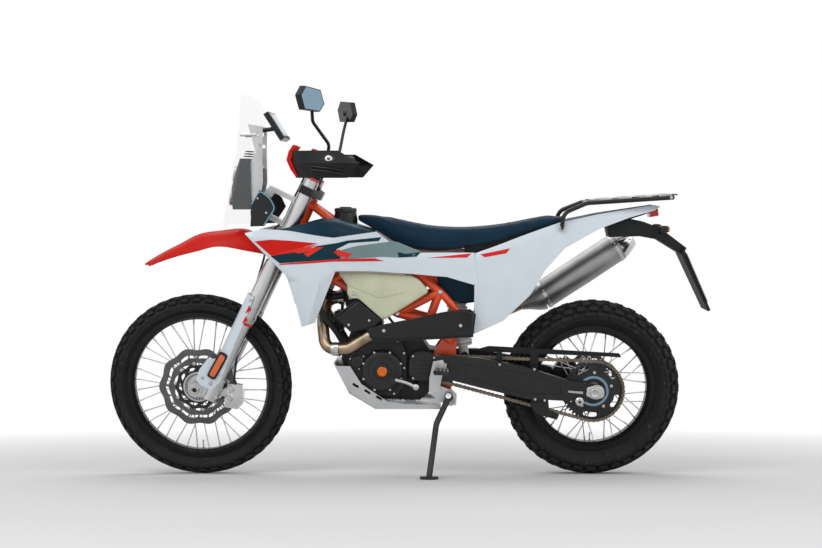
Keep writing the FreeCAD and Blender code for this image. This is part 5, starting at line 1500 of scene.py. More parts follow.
GRAPHICS: tuple[tuple[str, Skin, Finish, float, tuple[Spot, ...]], ...] = (
    ("teal_band", SHROUD_SKIN, BLUE_TEAL, 0.3, (
        (1177, 856), (1089, 871), (1041, 879), (1008, 892), (933, 903), (900, 911), (775, 923),
        (785, 909),
        (893, 902), (940, 879), (924, 871), (922, 845), (1042, 837), (1144, 830))),
    ("red_patch", SHROUD_SKIN, ORANGE, 0.5, (
        (1233, 909), (1174, 915), (1107, 911), (1006, 901), (1067, 886), (1088, 869), (1175, 857))),
    ("arrow_front", SHROUD_SKIN, ORANGE_DECAL, 0.8, (
        (1176, 860), (1068, 886), (1007, 897), (1034, 885), (984, 889), (1042, 853), (1056, 864),
        (1035, 874),
        (1075, 865), (1095, 872))),
    ("grey_area", SHROUD_SKIN, GREY_GREEN, 0.4, (
        (922, 877), (868, 891), (732, 908), (712, 903), (631, 869), (648, 852), (713, 849),
        (773, 852),
        (868, 847), (924, 845))),
    ("teal_tip", SHROUD_SKIN, BLUE_TEAL, 0.6,
     ((716, 869), (686, 862), (631, 869), (648, 852), (713, 849))),
    ("red_line", SHROUD_SKIN, RED_DECAL, 0.7, (
        (1145, 828), (935, 845), (800, 847), (766, 837), (868, 836), (949, 836), (1044, 829),
        (1145, 824))),
    ("arrow_rear", SHROUD_SKIN, ORANGE_DECAL, 0.8, (
        (948, 870), (928, 881), (925, 875), (881, 863), (901, 846), (915, 848), (901, 854),
        (925, 852))),
    ("slash_front", SHROUD_SKIN, RED_DECAL, 0.4, ((610, 847), (446, 862), (463, 847))),
    ("slash_rear", SIDE_SKIN, RED_DECAL, 0.4, ((414, 858), (304, 880), (318, 862), (398, 848))),
)


@dataclass(frozen=True)
class BodyPanels:
    """Shrouds and rear side panels with their coloured graphics."""

    smooth: float = 22.0
    wall: float = 3.0
    bevel: float = 1.2

    def panel(self, name: str, panel: Panel, side: Side, node: str) -> None:
        """Makes one white panel; the left one stands for the node of both.

        Args:
            name: object name without its side.
            panel: the sheet.
            side: the side that it is on.
            node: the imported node.
        """
        CHASSIS.add(f"{name}_{side.word}", panel.surface().on(side), WHITE, self.smooth,
                    (0, side.value, 0),
                    self.wall, self.bevel, replaces=(node,) if side is Side.LEFT else (),
                    slot="white_plastic")

    def build(self) -> None:
        """Makes both sides' panels in place of the plain nodes, then their graphics."""
        for side in Side:
            pairs = SIDE_PAIRS if side is Side.LEFT else RIGHT_PAIRS
            self.panel("shroud", SHROUD, side, "shrouds")
            self.panel("side_panel", Panel(SIDE_SKIN, pairs), side, "side_panels")
            for name, skin, finish, proud, outline in GRAPHICS:
                patch = decal(skin, outline, proud).on(side)
                CHASSIS.add(f"{name}_{side.word}", patch, finish, 40, (0, side.value, 0))


# Front end


def steer_slab(corners: Line, low: float, high: float) -> Surface:
    """Plate square to the steering axis: p = foot + reach a + left b + rise from low to high.

    Args:
        corners: pairs (ahead, left).
        low: distance up the axis to its underside.
        high: distance up the axis to its top.

    Returns:
        The closed plate.
    """
    flat = np.asarray(corners, float)
    if not clockwise(flat):
        flat = flat[::-1]
    base = steer_point(0) + flat[:, :1] * REACH + flat[:, 1:] * np.array(TO_LEFT, float)
    return grid(np.stack([base + RISE * low, base + RISE * high]), wrap_v=True, caps=True)


@dataclass(frozen=True)
class FrontEnd:
    """Fender, fork details, reflectors, caliper pots and axle ends; all of it steers.

    Attributes:
        fender: rows of x, half width, and height at the edge, the shoulder and the middle.
        lower_clamp: distance up the steering axis to the lower clamp.
        leg_left: distance of a fork leg from the middle.
        leg_split: distance up the axis to the wiper rings.
        leg_top: distance up the axis to the screw caps.
        reflector_at: middle of the left reflector.
        reflector_up: direction of its length.
        guard_skin: sideways place of the fork guard's outer face.
        pots: middles (x, z) of the caliper's two pots.
        pot_left: sideways place of their faces.
    """

    fender: Line = (
        (1681, 20, 806, 810, 814),
        (1610, 50, 828, 846, 855),
        (1543, 66, 848, 874, 889),
        (1464, 82, 868, 906, 928),
        (1402, 92, 884, 918, 937),
        (1272, 96, 868, 914, 934),
        (1212, 84, 856, 884, 893),
    )
    lower_clamp: float = 608.0
    leg_left: float = 98.0
    leg_split: float = 319.0
    leg_top: float = 902.0
    reflector_at: At = (1392.7, 136.0, 444.8)
    reflector_up: At = (-0.503, 0.0, 0.864)
    guard_skin: float = 136.2
    pots: tuple[Spot, ...] = ((1356.6, 349.3), (1364.4, 312.0))
    pot_left: float = 81.8

    def fender_sheet(self) -> Surface:
        """Arch z = top - a v^2 - b v^4 + ribs, with b so that the shoulder is at |v| = 0.72.

        Half width and heights are splined along X, and the tip is drawn round.

        Returns:
            The open sheet.
        """
        x, half, edge, shoulder, top = (row[:, None] for row in stations(self.fender, 72))
        v = np.linspace(-1, 1, 41)
        bend = ((top - shoulder) - 0.5184 * (top - edge)) / (0.2687 - 0.5184)
        z = top - (top - edge - bend) * v**2 - bend * v**4 - 3 * np.exp(-((v / 0.2) ** 4))
        z = z + 3 * np.exp(-(((np.abs(v) - 0.3) / 0.08) ** 2))
        nose = np.exp(-(x[0] - x) / 26)
        return grid(np.stack([x - 24 * nose * v**2, half * v, z], axis=-1))

    def fender_pieces(self) -> None:
        """Fender shell and its under plate."""
        FORK.add("front_fender_shell", self.fender_sheet(), ORANGE, 40, UP, 3.2, 0.8,
                 replaces=("front_fender",), slot="orange_plastic")
        corners = [(-56, -46), (78, -52), (78, 52), (-56, 46)]
        mount = steer_slab(corners, self.lower_clamp - 10.3, self.lower_clamp - 0.3)
        FORK.add("front_fender_mount", mount, BLACK_PLASTIC, bevel=1.5)

    def on_legs(self, up: float, profile: Line) -> Surface:
        """A profile turned about both fork legs at a distance up the axis.

        Args:
            up: the distance.
            profile: pairs of radius and distance along the leg.

        Returns:
            Both turned surfaces.
        """
        spots = [steer_point(up, CLAMP_OFFSET, side.value * self.leg_left) for side in Side]
        return joined([lathe(profile, spot, RISE) for spot in spots])

    def rings(self) -> None:
        """Red wiper ring with its collar on each leg, and the screw cap on top."""
        wiper = [(25, -15), (28.6, -15), (29.4, -11), (29.4, -5), (25, -4), (25, -15)]
        collar = [(26, -3.5), (31, -3.5), (31.5, -1), (31.5, 22), (30.4, 26), (26, 26), (26, -3.5)]
        cap = [(25, -8), (25, -1), (22, 1.5), (12, 1.5), (11, -2), (AXIS_RADIUS, -2)]
        FORK.add("leg_wipers", self.on_legs(self.leg_split, wiper), RED_PAINT, 40)
        FORK.add("leg_collars", self.on_legs(self.leg_split, collar), STEEL, 40)
        FORK.add("leg_caps", self.on_legs(self.leg_top, cap), RED_PAINT)

    def reflectors(self) -> None:
        """Orange reflector in its black frame on each guard, with bolts and two red marks."""
        across = np.cross(TO_LEFT, self.reflector_up)
        at = np.array(self.reflector_at)
        frame = block((36, 12, 108), 8, at, across, self.reflector_up)
        lens = block((22, 8, 90), 9, at + [0, 4.6, 0], across, self.reflector_up)
        FORK.add("guard_reflector_frames", both(frame), SMOOTH_BLACK, 40)
        FORK.add("guard_reflectors", both(lens), ORANGE_LENS, 40)
        heads = [(1422, 131.5, 377, 8, 4), (1452, 131.5, 398, 6, 3), (1262, 134, 690, 6, 5)]
        FORK.bolts("guard_bolts", heads, mirrored=True)
        marks = [[(1268, 672), (1284, 640), (1262, 650)], [(1282, 632), (1298, 602), (1276, 612)]]
        red = joined([plate(mark, self.guard_skin - 3, self.guard_skin) for mark in marks])
        FORK.add("guard_marks", both(red), RED_DECAL)

    def brake(self) -> None:
        """Caliper pots and bridge bolts."""
        profile = [(4, -3), (16.5, -3), (16.5, 1.6), (14.5, 3), (12.5, 1.2), (4, 1.2)]
        pots = joined([closed_lathe(profile, (x, self.pot_left, z)) for x, z in self.pots])
        FORK.add("caliper_pots", pots, STEEL, 40)
        heads = [(1383, self.pot_left, 352, 5.5, 4), (1388, self.pot_left, 312, 5.5, 4)]
        FORK.bolts("caliper_bolts", heads, finish=DARK_STEEL)

    def axle_ends(self) -> None:
        """Flanged hollow nuts on the axle with the two pinch bolts of each lug."""
        x, _, z = PLACE.front_axle
        nut = closed_lathe([(9, -4), (17, -4), (17, 3), (15.5, 4.6), (10.5, 4.6), (9, 3)],
                           (x, 132.4, z))
        FORK.add("front_axle_nuts", both(nut), STEEL, 35)
        hexagon = [(5.5, -2), (5.5, 6), (4, 7), (AXIS_RADIUS, 7)]
        pinch = joined([lathe(hexagon, (x - back, 110, z - 27), (0.2, 0, -1), 6) for back in (22,
                                                                                              0)])
        FORK.add("axle_pinch_bolts", both(pinch), STEEL)

    def build(self) -> None:
        """Makes the front end's pieces."""
        self.fender_pieces()
        self.rings()
        self.reflectors()
        self.brake()
        self.axle_ends()


@dataclass(frozen=True)
class Cockpit:
    """Screen, lamps, side fairings, instrument, handguards, mirrors and bar clamps.

    Attributes:
        screen: rows of height, x of the edge, half width and x of the middle.
        lamps: middles (x, z) of the two lamps.
        lamp_way: the way that they face.
        display_at: middle of the display.
        display_tilt: its lean from upright, in degrees.
        mirror_heads: each mirror's place from the bar's middle.
        mirror_turn: turn of the mirrors about Z, in degrees.
        mirror_outline: the glass seen from behind, (across, up).
        bar_end: left end of the handlebar.
        bar_end_way: the way that it points.
    """

    screen: Line = (
        (960, 1222, 128, 1384),
        (1080, 1222, 124, 1357),
        (1200, 1222, 118, 1330),
        (1320, 1226, 109, 1313),
        (1400, 1232, 98, 1306),
        (1436, 1262, 70, 1303),
    )
    lamps: tuple[Spot, ...] = ((1322, 1062), (1306, 1146))
    lamp_way: At = (0.97, 0, 0.24)
    display_at: At = (1168.0, 0.0, 1322.0)
    display_tilt: float = 32.0
    mirror_heads: tuple[tuple[Side, At], ...] = ((Side.LEFT, (-6, 330, 238)),
                                                 (Side.RIGHT, (-82, 330, 228)))
    mirror_turn: float = -28.0
    mirror_outline: tuple[Spot, ...] = ((-74, -14), (-50, 34), (44, 42), (74, 10), (52, -38),
                                        (-44, -42))
    bar_end: At = (938, 430, 1200)
    bar_end_way: At = (0, 1, 0.26)

    def screen_sheet(self) -> Surface:
        """At each height an arc x = c + R cos t, y = R sin t through both edges and the middle.

        Returns:
            The open sheet.
        """
        z, rear, half, middle = (row[:, None] for row in stations(self.screen, 64))
        bow = ((middle - rear) ** 2 + half**2) / (2 * (middle - rear))
        t = np.arctan2(half, rear - (middle - bow)) * np.linspace(-1, 1, 41)
        return grid(np.stack([middle - bow + bow * np.cos(t), bow * np.sin(t), z + 0 * t], axis=-1))

    def lamp(self) -> None:
        """Two lamps with silver bezels and domed lenses over bright bowls, and a ribbed brow."""
        bezel = [(32, 24), (36.5, 24), (36.5, 29), (34.5, 31), (32, 31), (32, 24)]
        bowl = [(31.5, 30.4), (24, 30.6), (12, 31), (AXIS_RADIUS, 31)]
        lens = [(33, 30.8), (28, 32.6), (18, 34), (8, 34.8), (AXIS_RADIUS, 35)]
        rows = (("lamp_bezels", bezel, STEEL, 35), ("lamp_bowls", bowl, POLISHED, 50),
                ("lamp_lenses", lens, SMOKE, 50))
        for name, profile, finish, smooth in rows:
            made = joined([lathe(profile, (x - 6, 0, z), self.lamp_way) for x, z in self.lamps])
            CHASSIS.add(name, made, finish, smooth)
        fins = []
        for n in range(3):
            low, front = 1212 + 9 * n, 1288 - 3 * n
            outline = [(1262, low), (front, low), (front - 2, low + 4), (1262, low + 4)]
            fins.append(plate(outline, 4 * n - 60, 60 - 4 * n))
        CHASSIS.add("lamp_brow", joined(fins), BLACK_PLASTIC, bevel=1.0)

    def piping(self) -> None:
        """Blue cord along the edge of each side fairing, and its two bolts."""
        line = [(1206, 143, 965), (1164, 142.5, 1026), (1180, 142.5, 1060), (1218, 142, 1090),
                (1249, 141, 1040)]
        CHASSIS.add("fairing_piping", both(tube(line, 2.2, 14, 10)), BLUE_CORD, 60)
        CHASSIS.bolts("fairing_bolts", [(1196, 142.6, 1010, 5, 3), (1226, 142.2, 1062, 4.5, 3)],
                      mirrored=True)

    def instrument(self) -> None:
        """Glass face and keys on the display's rear side."""
        turn = math.radians(self.display_tilt)
        back = np.array([-math.cos(turn), 0, math.sin(turn)])
        up = np.array([math.sin(turn), 0, math.cos(turn)])
        face = np.array(self.display_at) + back * 10.4
        CHASSIS.add("display_glass", block((152, 92, 2.4), 12, face + up * 2, TO_LEFT, back),
                    GLASS_BLUE, 40)
        keys = joined([block((14, 7, 4), 8, face - up * 50.5 + [0, y, 0], TO_LEFT,
                             back) for y in (-54, -18, 18, 54)])
        CHASSIS.add("display_keys", keys, RUBBER, 40)

    def mirrors(self) -> None:
        """Glass and rim on the rear face of each mirror: its outline at five sizes and depths."""
        turn = math.radians(self.mirror_turn)
        across = np.array([-math.sin(turn), math.cos(turn), 0])
        ahead = np.array([math.cos(turn), math.sin(turn), 0])
        flat = np.array(self.mirror_outline, float)
        shape = across * flat[:, :1] + np.array(UP) * flat[:, 1:]
        steps = ((0.99, 0.5), (0.99, -5.5), (0.95, -7.6), (0.91, -7.2), (0.9, -6.4))
        glass, rims = [], []
        for side, place in self.mirror_heads:
            at = np.array(BAR_MIDDLE) + place
            loops = [at + shape * size + ahead * depth for size, depth in steps]
            rims.append(grid(np.stack(loops), wrap_u=True, wrap_v=True).on(side))
            face = np.stack([loops[-1] - ahead * 0.3, loops[-1] + ahead * 0.3])
            glass.append(grid(face, wrap_v=True, caps=True).on(side))
        FORK.add("mirror_rims", joined(rims), SMOOTH_BLACK, bevel=0.8)
        FORK.add("mirror_glasses", joined(glass), GLASS_BLUE)

    def guards(self) -> None:
        """Handguard spoilers, bosses, bar end bolts and ribs."""
        spoiler = [(1050, 1243), (1067, 1250), (1084, 1226), (1092, 1197), (1078, 1164),
                   (1060, 1139), (1052, 1142),
                   (1064, 1170), (1074, 1197), (1066, 1222)]
        FORK.add("handguard_spoilers", both(plate(spoiler, 262, 352)), ORANGE, 40, bevel=3.0)
        ring = [(13, -14), (21, -14), (21, 1), (18, 2.6), (13, 1)]
        boss = closed_lathe(ring, np.array(self.bar_end) + TO_LEFT, self.bar_end_way)
        FORK.add("handguard_bosses", both(boss), SMOOTH_BLACK)
        FORK.bolts("bar_end_bolts", [(*self.bar_end, 13, 4)], mirrored=True, way=self.bar_end_way)
        ribs = joined([tube([(1000, 419, 1186 - d), (940, 434 - d / 9, 1180 - d),
                             (890, 428 - d / 6, 1172 - d)],
                            3.2, 10, 8) for d in (0, 11, 22)])
        FORK.add("handguard_ribs", both(ribs), SMOOTH_BLACK, 50)

    def clamps(self) -> None:
        """Silver bar clamps with their bolts, the switch blocks by the grips, and the bar pad."""
        x, _, z = BAR_MIDDLE
        at = np.array([x, 45, z])
        FORK.add("bar_clamps", both(block((44, 30, 36), 6, at, REACH, RISE)), ALUMINIUM, 40)
        heads = [(*(at + RISE * 17.5 + REACH * reach), 5, 5) for reach in (-15, 15)]
        FORK.bolts("bar_clamp_bolts", heads, mirrored=True, finish=DARK_STEEL, way=RISE)
        FORK.add("switch_blocks", both(block((40, 34, 36), 5, (x - 44, 186, z + 38))),
                 BLACK_PLASTIC, 50)
        FORK.add("bar_pad", block((60, 120, 40), 4, (x - 2, 0, z + 24), REACH, RISE), BLACK_PLASTIC,
                 50)

    def build(self) -> None:
        """Makes the cockpit's pieces."""
        CHASSIS.add("screen_sheet", self.screen_sheet(), SCREEN, 40, AHEAD, 3.0,
                    replaces=("windscreen",), slot="screen_clear")
        self.lamp()
        self.piping()
        self.instrument()
        self.mirrors()
        self.guards()
        self.clamps()


# Tank, seat and side cells


def evaluated_mesh(thing: Thing) -> bpy.types.Mesh:
    """A new mesh with the object's modifiers worked in."""
    graph = bpy.context.evaluated_depsgraph_get()
    return bpy.data.meshes.new_from_object(thing.evaluated_get(graph))


def apply_modifiers(thing: Thing) -> None:
    """Works the object's modifiers into its own mesh.

    Args:
        thing: the object.
    """
    made, old = evaluated_mesh(thing), thing.data
    thing.modifiers.clear()
    thing.data = made
    bpy.data.meshes.remove(old)


def cut_away(thing: Thing, cutter: Surface) -> None:
    """Takes a closed surface's inside out of an object's mesh.

    Args:
        thing: the object.
        cutter: the closed surface.
    """
    tool = make_object("cutter", cutter)
    step = thing.modifiers.new("cut", "BOOLEAN")
    step.operation = "DIFFERENCE"
    step.solver = "EXACT"
    step.object = tool
    apply_modifiers(thing)
    bpy.data.objects.remove(tool)


def super_round(across: float, up: float, steps: int = 41) -> tuple[Array, Array]:
    """Half ring y = cos^across t, z = sin^up t, the signs kept, from the left over the top.

    Args:
        across: power of the cosine.
        up: power of the sine.
        steps: points on the ring.

    Returns:
        The ring's y and z for a half width and a height of 1.
    """
    t = np.linspace(0, np.pi, steps)
    return np.sign(np.cos(t)) * np.abs(np.cos(t)) ** across, np.abs(np.sin(t)) ** up


@dataclass(frozen=True)
class Tank:
    """Navy tank top with its filler neck and ribbed cap.

    Attributes:
        rows: x, half width, low and top of each station.
        cap_at: seat of the cap.
        steering_room: radius that the turning fork needs.
        room_span: stretch of the steering axis on which it needs it.
        knurl_depth: depth of the cap's ribs.
        knurls: number of the cap's ribs.
    """

    rows: Line = (
        (1176, 166, 928, 948),
        (1110, 171, 908, 968),
        (1046, 170, 890, 986),
        (950, 149, 890, 990),
        (880, 116, 892, 966),
        (806, 84, 912, 944),
    )
    cap_at: At = (918.0, 0.0, 1010.0)
    steering_room: float = 148.0
    room_span: Spot = (560.0, 960.0)
    knurl_depth: float = 1.0
    knurls: int = 24

    def shell(self) -> Surface:
        """Half ring y = w cos^(1/3) t, z = low + h sin^(5/8) t at each station, splined along X.

        Returns:
            The closed shell.
        """
        x, half, low, top = (row[:, None] for row in stations(self.rows, 46))
        y, z = super_round(2 / 6, 2 / 3.2)
        points = np.stack([x + 0 * y, half * y, low + (top - low) * z], axis=-1)
        return grid(points, wrap_v=True, caps=True)

    def cap(self) -> None:
        """Neck, and the screw cap r(u) = r + d cos(knurls u) with its grip bar."""
        at = np.array(self.cap_at)
        neck = lathe([(45, -46), (45, -30), (41, -2), (38, 0), (AXIS_RADIUS, 0)], at, UP)
        CHASSIS.add("filler_neck", neck, SMOOTH_BLACK, 40)
        u = round_angles(4 * self.knurls)
        ripple = 41 + self.knurl_depth * np.cos(self.knurls * u)
        rings = [(ripple, 0.3), (ripple, 9), (ripple - 3, 13), (0 * u + 30, 14.3),
                 (0 * u + 27, 12.4),
                 (0 * u + AXIS_RADIUS, 12.4)]
        loops = [np.stack([r * np.cos(u), r * np.sin(u), 0 * u + h], axis=1) for r, h in rings]
        CHASSIS.add("filler_cap", shifted(grid(np.stack(loops), wrap_v=True), at), SMOOTH_BLACK, 35)
        CHASSIS.add("filler_cap_bar", block((46, 12, 8), 6, at + [0, 0, 14]), SMOOTH_BLACK, 50)

    def build(self) -> None:
        """Makes the tank top, cut away round the turning fork."""
        thing = CHASSIS.add("tank_shell", self.shell(), NAVY, 40, replaces=("fuel_tank",),
                            slot="navy_plastic")
        low, high = self.room_span
        room = [(AXIS_RADIUS, 0), (self.steering_room, 0), (self.steering_room, high - low),
                (AXIS_RADIUS, high - low)]
        cut_away(thing, lathe(room, steer_point(low), RISE, 96))
        thing.data.shade_smooth()
        thing.data.set_sharp_from_angle(angle=math.radians(35))
        self.cap()


@dataclass(frozen=True)
class Saddle:
    """One long seat: a crowned pad swollen by cloth pressure, with its seams.

    Attributes:
        rows: x, half width, low and top of each station.
        inset: how much smaller the pad starts, before it swells.
        most_swell: furthest that a point may move.
        voxel: cell of the remesh.
        pressure: the cloth's pressure.
        stretch: its resistance to stretching and squeezing.
        stiffness: its resistance to bending.
        frames: steps of the simulation.
        fill: how tight the pad is; not used.
    """

    rows: Line = (
        (872, 34, 984, 1008),
        (800, 60, 946, 1003),
        (714, 92, 894, 980),
        (601, 112, 872, 957),
        (487, 118, 880, 950),
        (337, 112, 908, 961),
        (186, 92, 954, 989),
        (92, 62, 974, 1005),
    )
    inset: float = 3.0
    most_swell: float = 5.0
    voxel: float = 6.0
    pressure: float = 4.0
    stretch: float = 30.0
    stiffness: float = 2.0
    frames: int = 20
    fill: float = 0.85

    def shell(self) -> Surface:
        """Ring y = w cos^(2/5) t, z = low + h sin^(2/3) t at each station, its sides dished.

        Returns:
            The closed shell, a little smaller than the seat.
        """
        x, half, low, top = (row[:, None] for row in stations(self.rows, 90, self.inset))
        end = np.minimum(self.rows[0][0] - x, x - self.rows[-1][0])
        taper = np.clip(1 - np.exp(-(end + 6) / 10), 0.3, 1)
        y, z = super_round(2 / 5, 2 / 3)
        width = (half - self.inset) * y * (1 - 0.04 * np.sin(np.pi * z)) * taper
        height = low + self.inset * 0.3 + (top - low - 1.3 * self.inset) * z * taper**0.3
        return grid(np.stack([x + 0 * y, width, height], axis=-1), wrap_v=True, caps=True)

    def swell(self, thing: Thing) -> None:
        """Blows the pad up: voxel remesh, cloth under pressure with no gravity, movement capped.

        Args:
            thing: the pad.
        """
        remesh = thing.modifiers.new("even", "REMESH")
        remesh.mode = "VOXEL"
        remesh.voxel_size = self.voxel / MM
        apply_modifiers(thing)
        start = np.empty(len(thing.data.vertices) * 3)
        thing.data.vertices.foreach_get("co", start)
        cloth = thing.modifiers.new("pad", "CLOTH").settings
        cloth.quality = 4
        cloth.use_pressure = True
        cloth.uniform_pressure_force = self.pressure
        cloth.effector_weights.gravity = 0.0
        cloth.tension_stiffness = cloth.compression_stiffness = self.stretch
        cloth.bending_stiffness = self.stiffness
        scene = bpy.context.scene
        for frame in range(1, self.frames + 1):
            scene.frame_set(frame)
        made = evaluated_mesh(thing)
        end = np.empty(len(made.vertices) * 3)
        made.vertices.foreach_get("co", end)
        step = (end - start).reshape(-1, 3)
        far = np.linalg.norm(step, axis=1, keepdims=True) + 1e-9
        step *= np.minimum(1.0, self.most_swell / MM / far)
        thing.modifiers.clear()
        thing.data.vertices.foreach_set("co", (start.reshape(-1, 3) + step).ravel())
        thing.data.update()
        bpy.data.meshes.remove(made)
        scene.frame_set(1)

    def seam(self, thing: Thing, name: str, spots: Array, way: Point, radius: float) -> None:
        """Thin cord on the cover: a line of points dropped on it and drawn as a bar.

        Args:
            thing: the pad.
            name: the seam's name.
            spots: points of the line.
            way: direction of the drop.
            radius: the cord's radius.
        """
        down = Vector(PLACE.direction(way))
        hits = [thing.ray_cast(Vector(spot) - down * 0.3, down) for spot in PLACE.row(spots)]
        found = np.array([place[:] for hit, place, _, _ in hits if hit])
        if len(found) > 3:
            line = (found - PLACE.shift) @ PLACE.turn * MM
            CHASSIS.add(name, sweep(line, circle(radius, 8)), SEAT_NAVY, 60)

    def seams(self, thing: Thing) -> None:
        """Two long seams on each side and two across.

        Args:
            thing: the pad.
        """
        x = np.linspace(800, 120, 70)
        table = np.array(self.rows, float)
        half, low, top = spline(table[:, 0], table[:, 1:], x).T
        for side in Side:
            line = np.stack([x, side.value * 0.74 * half, top], axis=1)
            self.seam(thing, "seat_seam_top_" + side.word, line, (0, 0, -1), 1.5)
            edge = np.stack([x, side.value * half, low + 0.34 * (top - low)], axis=1)
            self.seam(thing, "seat_seam_low_" + side.word, edge, (0, -side.value, 0), 1.3)
        across = np.linspace(-0.74, 0.74, 30)
        for index, station in enumerate((640, 300)):
            wide = float(np.interp(station, table[::-1, 0], table[::-1, 1]))
            line = np.stack([station + 16 * across**2, across * wide, 0 * across + 1000], axis=1)
            self.seam(thing, f"seat_seam_cross_{index}", line, (0, 0, -1), 1.3)

    def build(self) -> None:
        """Makes the seat in place of its plain node, then its seams."""
        thing = CHASSIS.add("seat_pad", self.shell(), SEAT_NAVY, 60, replaces=("seat",),
                            slot="seat_cover")
        self.swell(thing)
        thing.data.shade_smooth()
        bpy.context.view_layer.update()
        self.seams(thing)
        add_subdivision(thing)


@dataclass(frozen=True)
class SideCells:
    """Pale lower tank cells, dark box, radiator fins, hose clips and the panel inside the frame."""

    cell: Line = (
        (939, 793), (902, 748), (905, 716), (893, 695), (866, 700), (771, 616), (602, 722),
        (640, 768), (670, 783),
        (820, 793),
    )
    cell_steps: Line = (
        (0.97, 134), (1.0, 137), (1.0, 151), (0.985, 155), (0.95, 157.3), (0.86, 158.8),
        (0.5, 159.8),
    )
    boss_at: At = (878, 157.5, 717)
    box: Line = ((950, 626), (862, 692), (775, 616), (800, 590), (890, 568))

    def cells(self) -> None:
        """Pillow sheet with rounded corners on each side, its boss, bolt, stub, strip and seam."""
        loops = raised(self.cell, self.cell_steps)
        fine = [rounded(np.vstack([loop, loop[:2]]), 14, 4)[1:-1] for loop in loops]
        cell = grid(np.stack(fine), wrap_v=True, caps=True)
        CHASSIS.add("lower_tank_cells", both(cell), CREAM, 50, replaces=("fuel_cells",),
                    slot="cell_cream")
        x, y, z = self.boss_at
        boss = closed_lathe([(9, 0), (17, 0), (17, 3), (14, 5), (9, 5)], self.boss_at)
        CHASSIS.add("tank_cell_bosses", both(boss), CREAM, 40)
        CHASSIS.bolts("tank_cell_bolts", [(x, y + 2.5, z, 9, 5)], mirrored=True)
        stub = lathe([(AXIS_RADIUS, 86), (13, 86), (13, 136), (AXIS_RADIUS, 136)], (x + 3, 0, z),
                     turns=24)
        CHASSIS.add("tank_cell_stubs", both(stub), SMOOTH_BLACK, 40)
        strip = plate([(936, 797), (820, 799), (690, 790), (690, 784), (820, 792), (930, 790)], 138,
                      161)
        CHASSIS.add("tank_cell_strip", both(strip), BEIGE, 40, bevel=1.5)
        line = [(925, 159.5, 786), (905, 160, 752), (880, 160.3, 740), (780, 161, 700),
                (690, 160.4, 724)]
        CHASSIS.add("tank_cell_seam", both(tube(line, 1.6, 20, 8)), CREAM, 60)

    def dark_box(self) -> None:
        """Dark box below the cell with a pale sloped edge, a tab and two bolts."""
        CHASSIS.add("side_box", plate(self.box, 120, 152), SMOOTH_BLACK, bevel=7,
                    replaces=("canister",))
        slope = [(944, 150, 634), (866, 150, 693)]
        CHASSIS.add("side_box_edge", tube(slope, 3.2, 0, 10), DARK_STEEL, 50)
        tab = plate([(840, 650), (862, 650), (858, 700), (844, 700)], 86, 121)
        CHASSIS.add("side_box_tab", tab, BLACK_PLASTIC, bevel=1)
        CHASSIS.bolts("side_box_bolts", [(900, 152, 600, 5.5, 4), (824, 152, 616, 5.5, 4)])

    def cooling(self) -> None:
        """Radiator fins and hose clips behind the shrouds."""
        fin = plate([(1003, -1.2), (1043, -1.2), (1043, 1.2), (1003, 1.2)], 96, 146)
        fins = joined([shifted(fin, (0.3, 0, height)) for height in np.linspace(672, 856, 24)])
        CHASSIS.add("radiator_fins", both(fins), DARK_STEEL)
        clip = closed_lathe([(13.2, 0), (15, 0), (15, 8), (13.2, 8)], (1010, 85, 709),
                            (0.86, 0.45, 0.3))
        CHASSIS.add("hose_clips", both(clip), STEEL, 40)

    def inner_panel(self) -> None:
        """Navy box between the trellis and the side panel, with the frame and shock bolts."""
        navy = plate([(574, 770), (420, 768), (416, 676), (470, 668), (560, 690)], 30, 56)
        CHASSIS.add("inner_panel", both(navy), NAVY, bevel=5)
        spots = ((494, 108, 640), (562, 114, 718), (722, 102, 634), (604, 100, 603))
        CHASSIS.bolts("frame_bolts", [(*spot, 9, 5) for spot in spots], mirrored=True)
        CHASSIS.bolts("shock_bolts", [(512, 22, 742, 10, 6)], mirrored=True)

    def build(self) -> None:
        """Makes the pieces in the middle of the bike."""
        self.cells()
        self.dark_box()
        self.cooling()
        self.inner_panel()


# Engine and exhaust


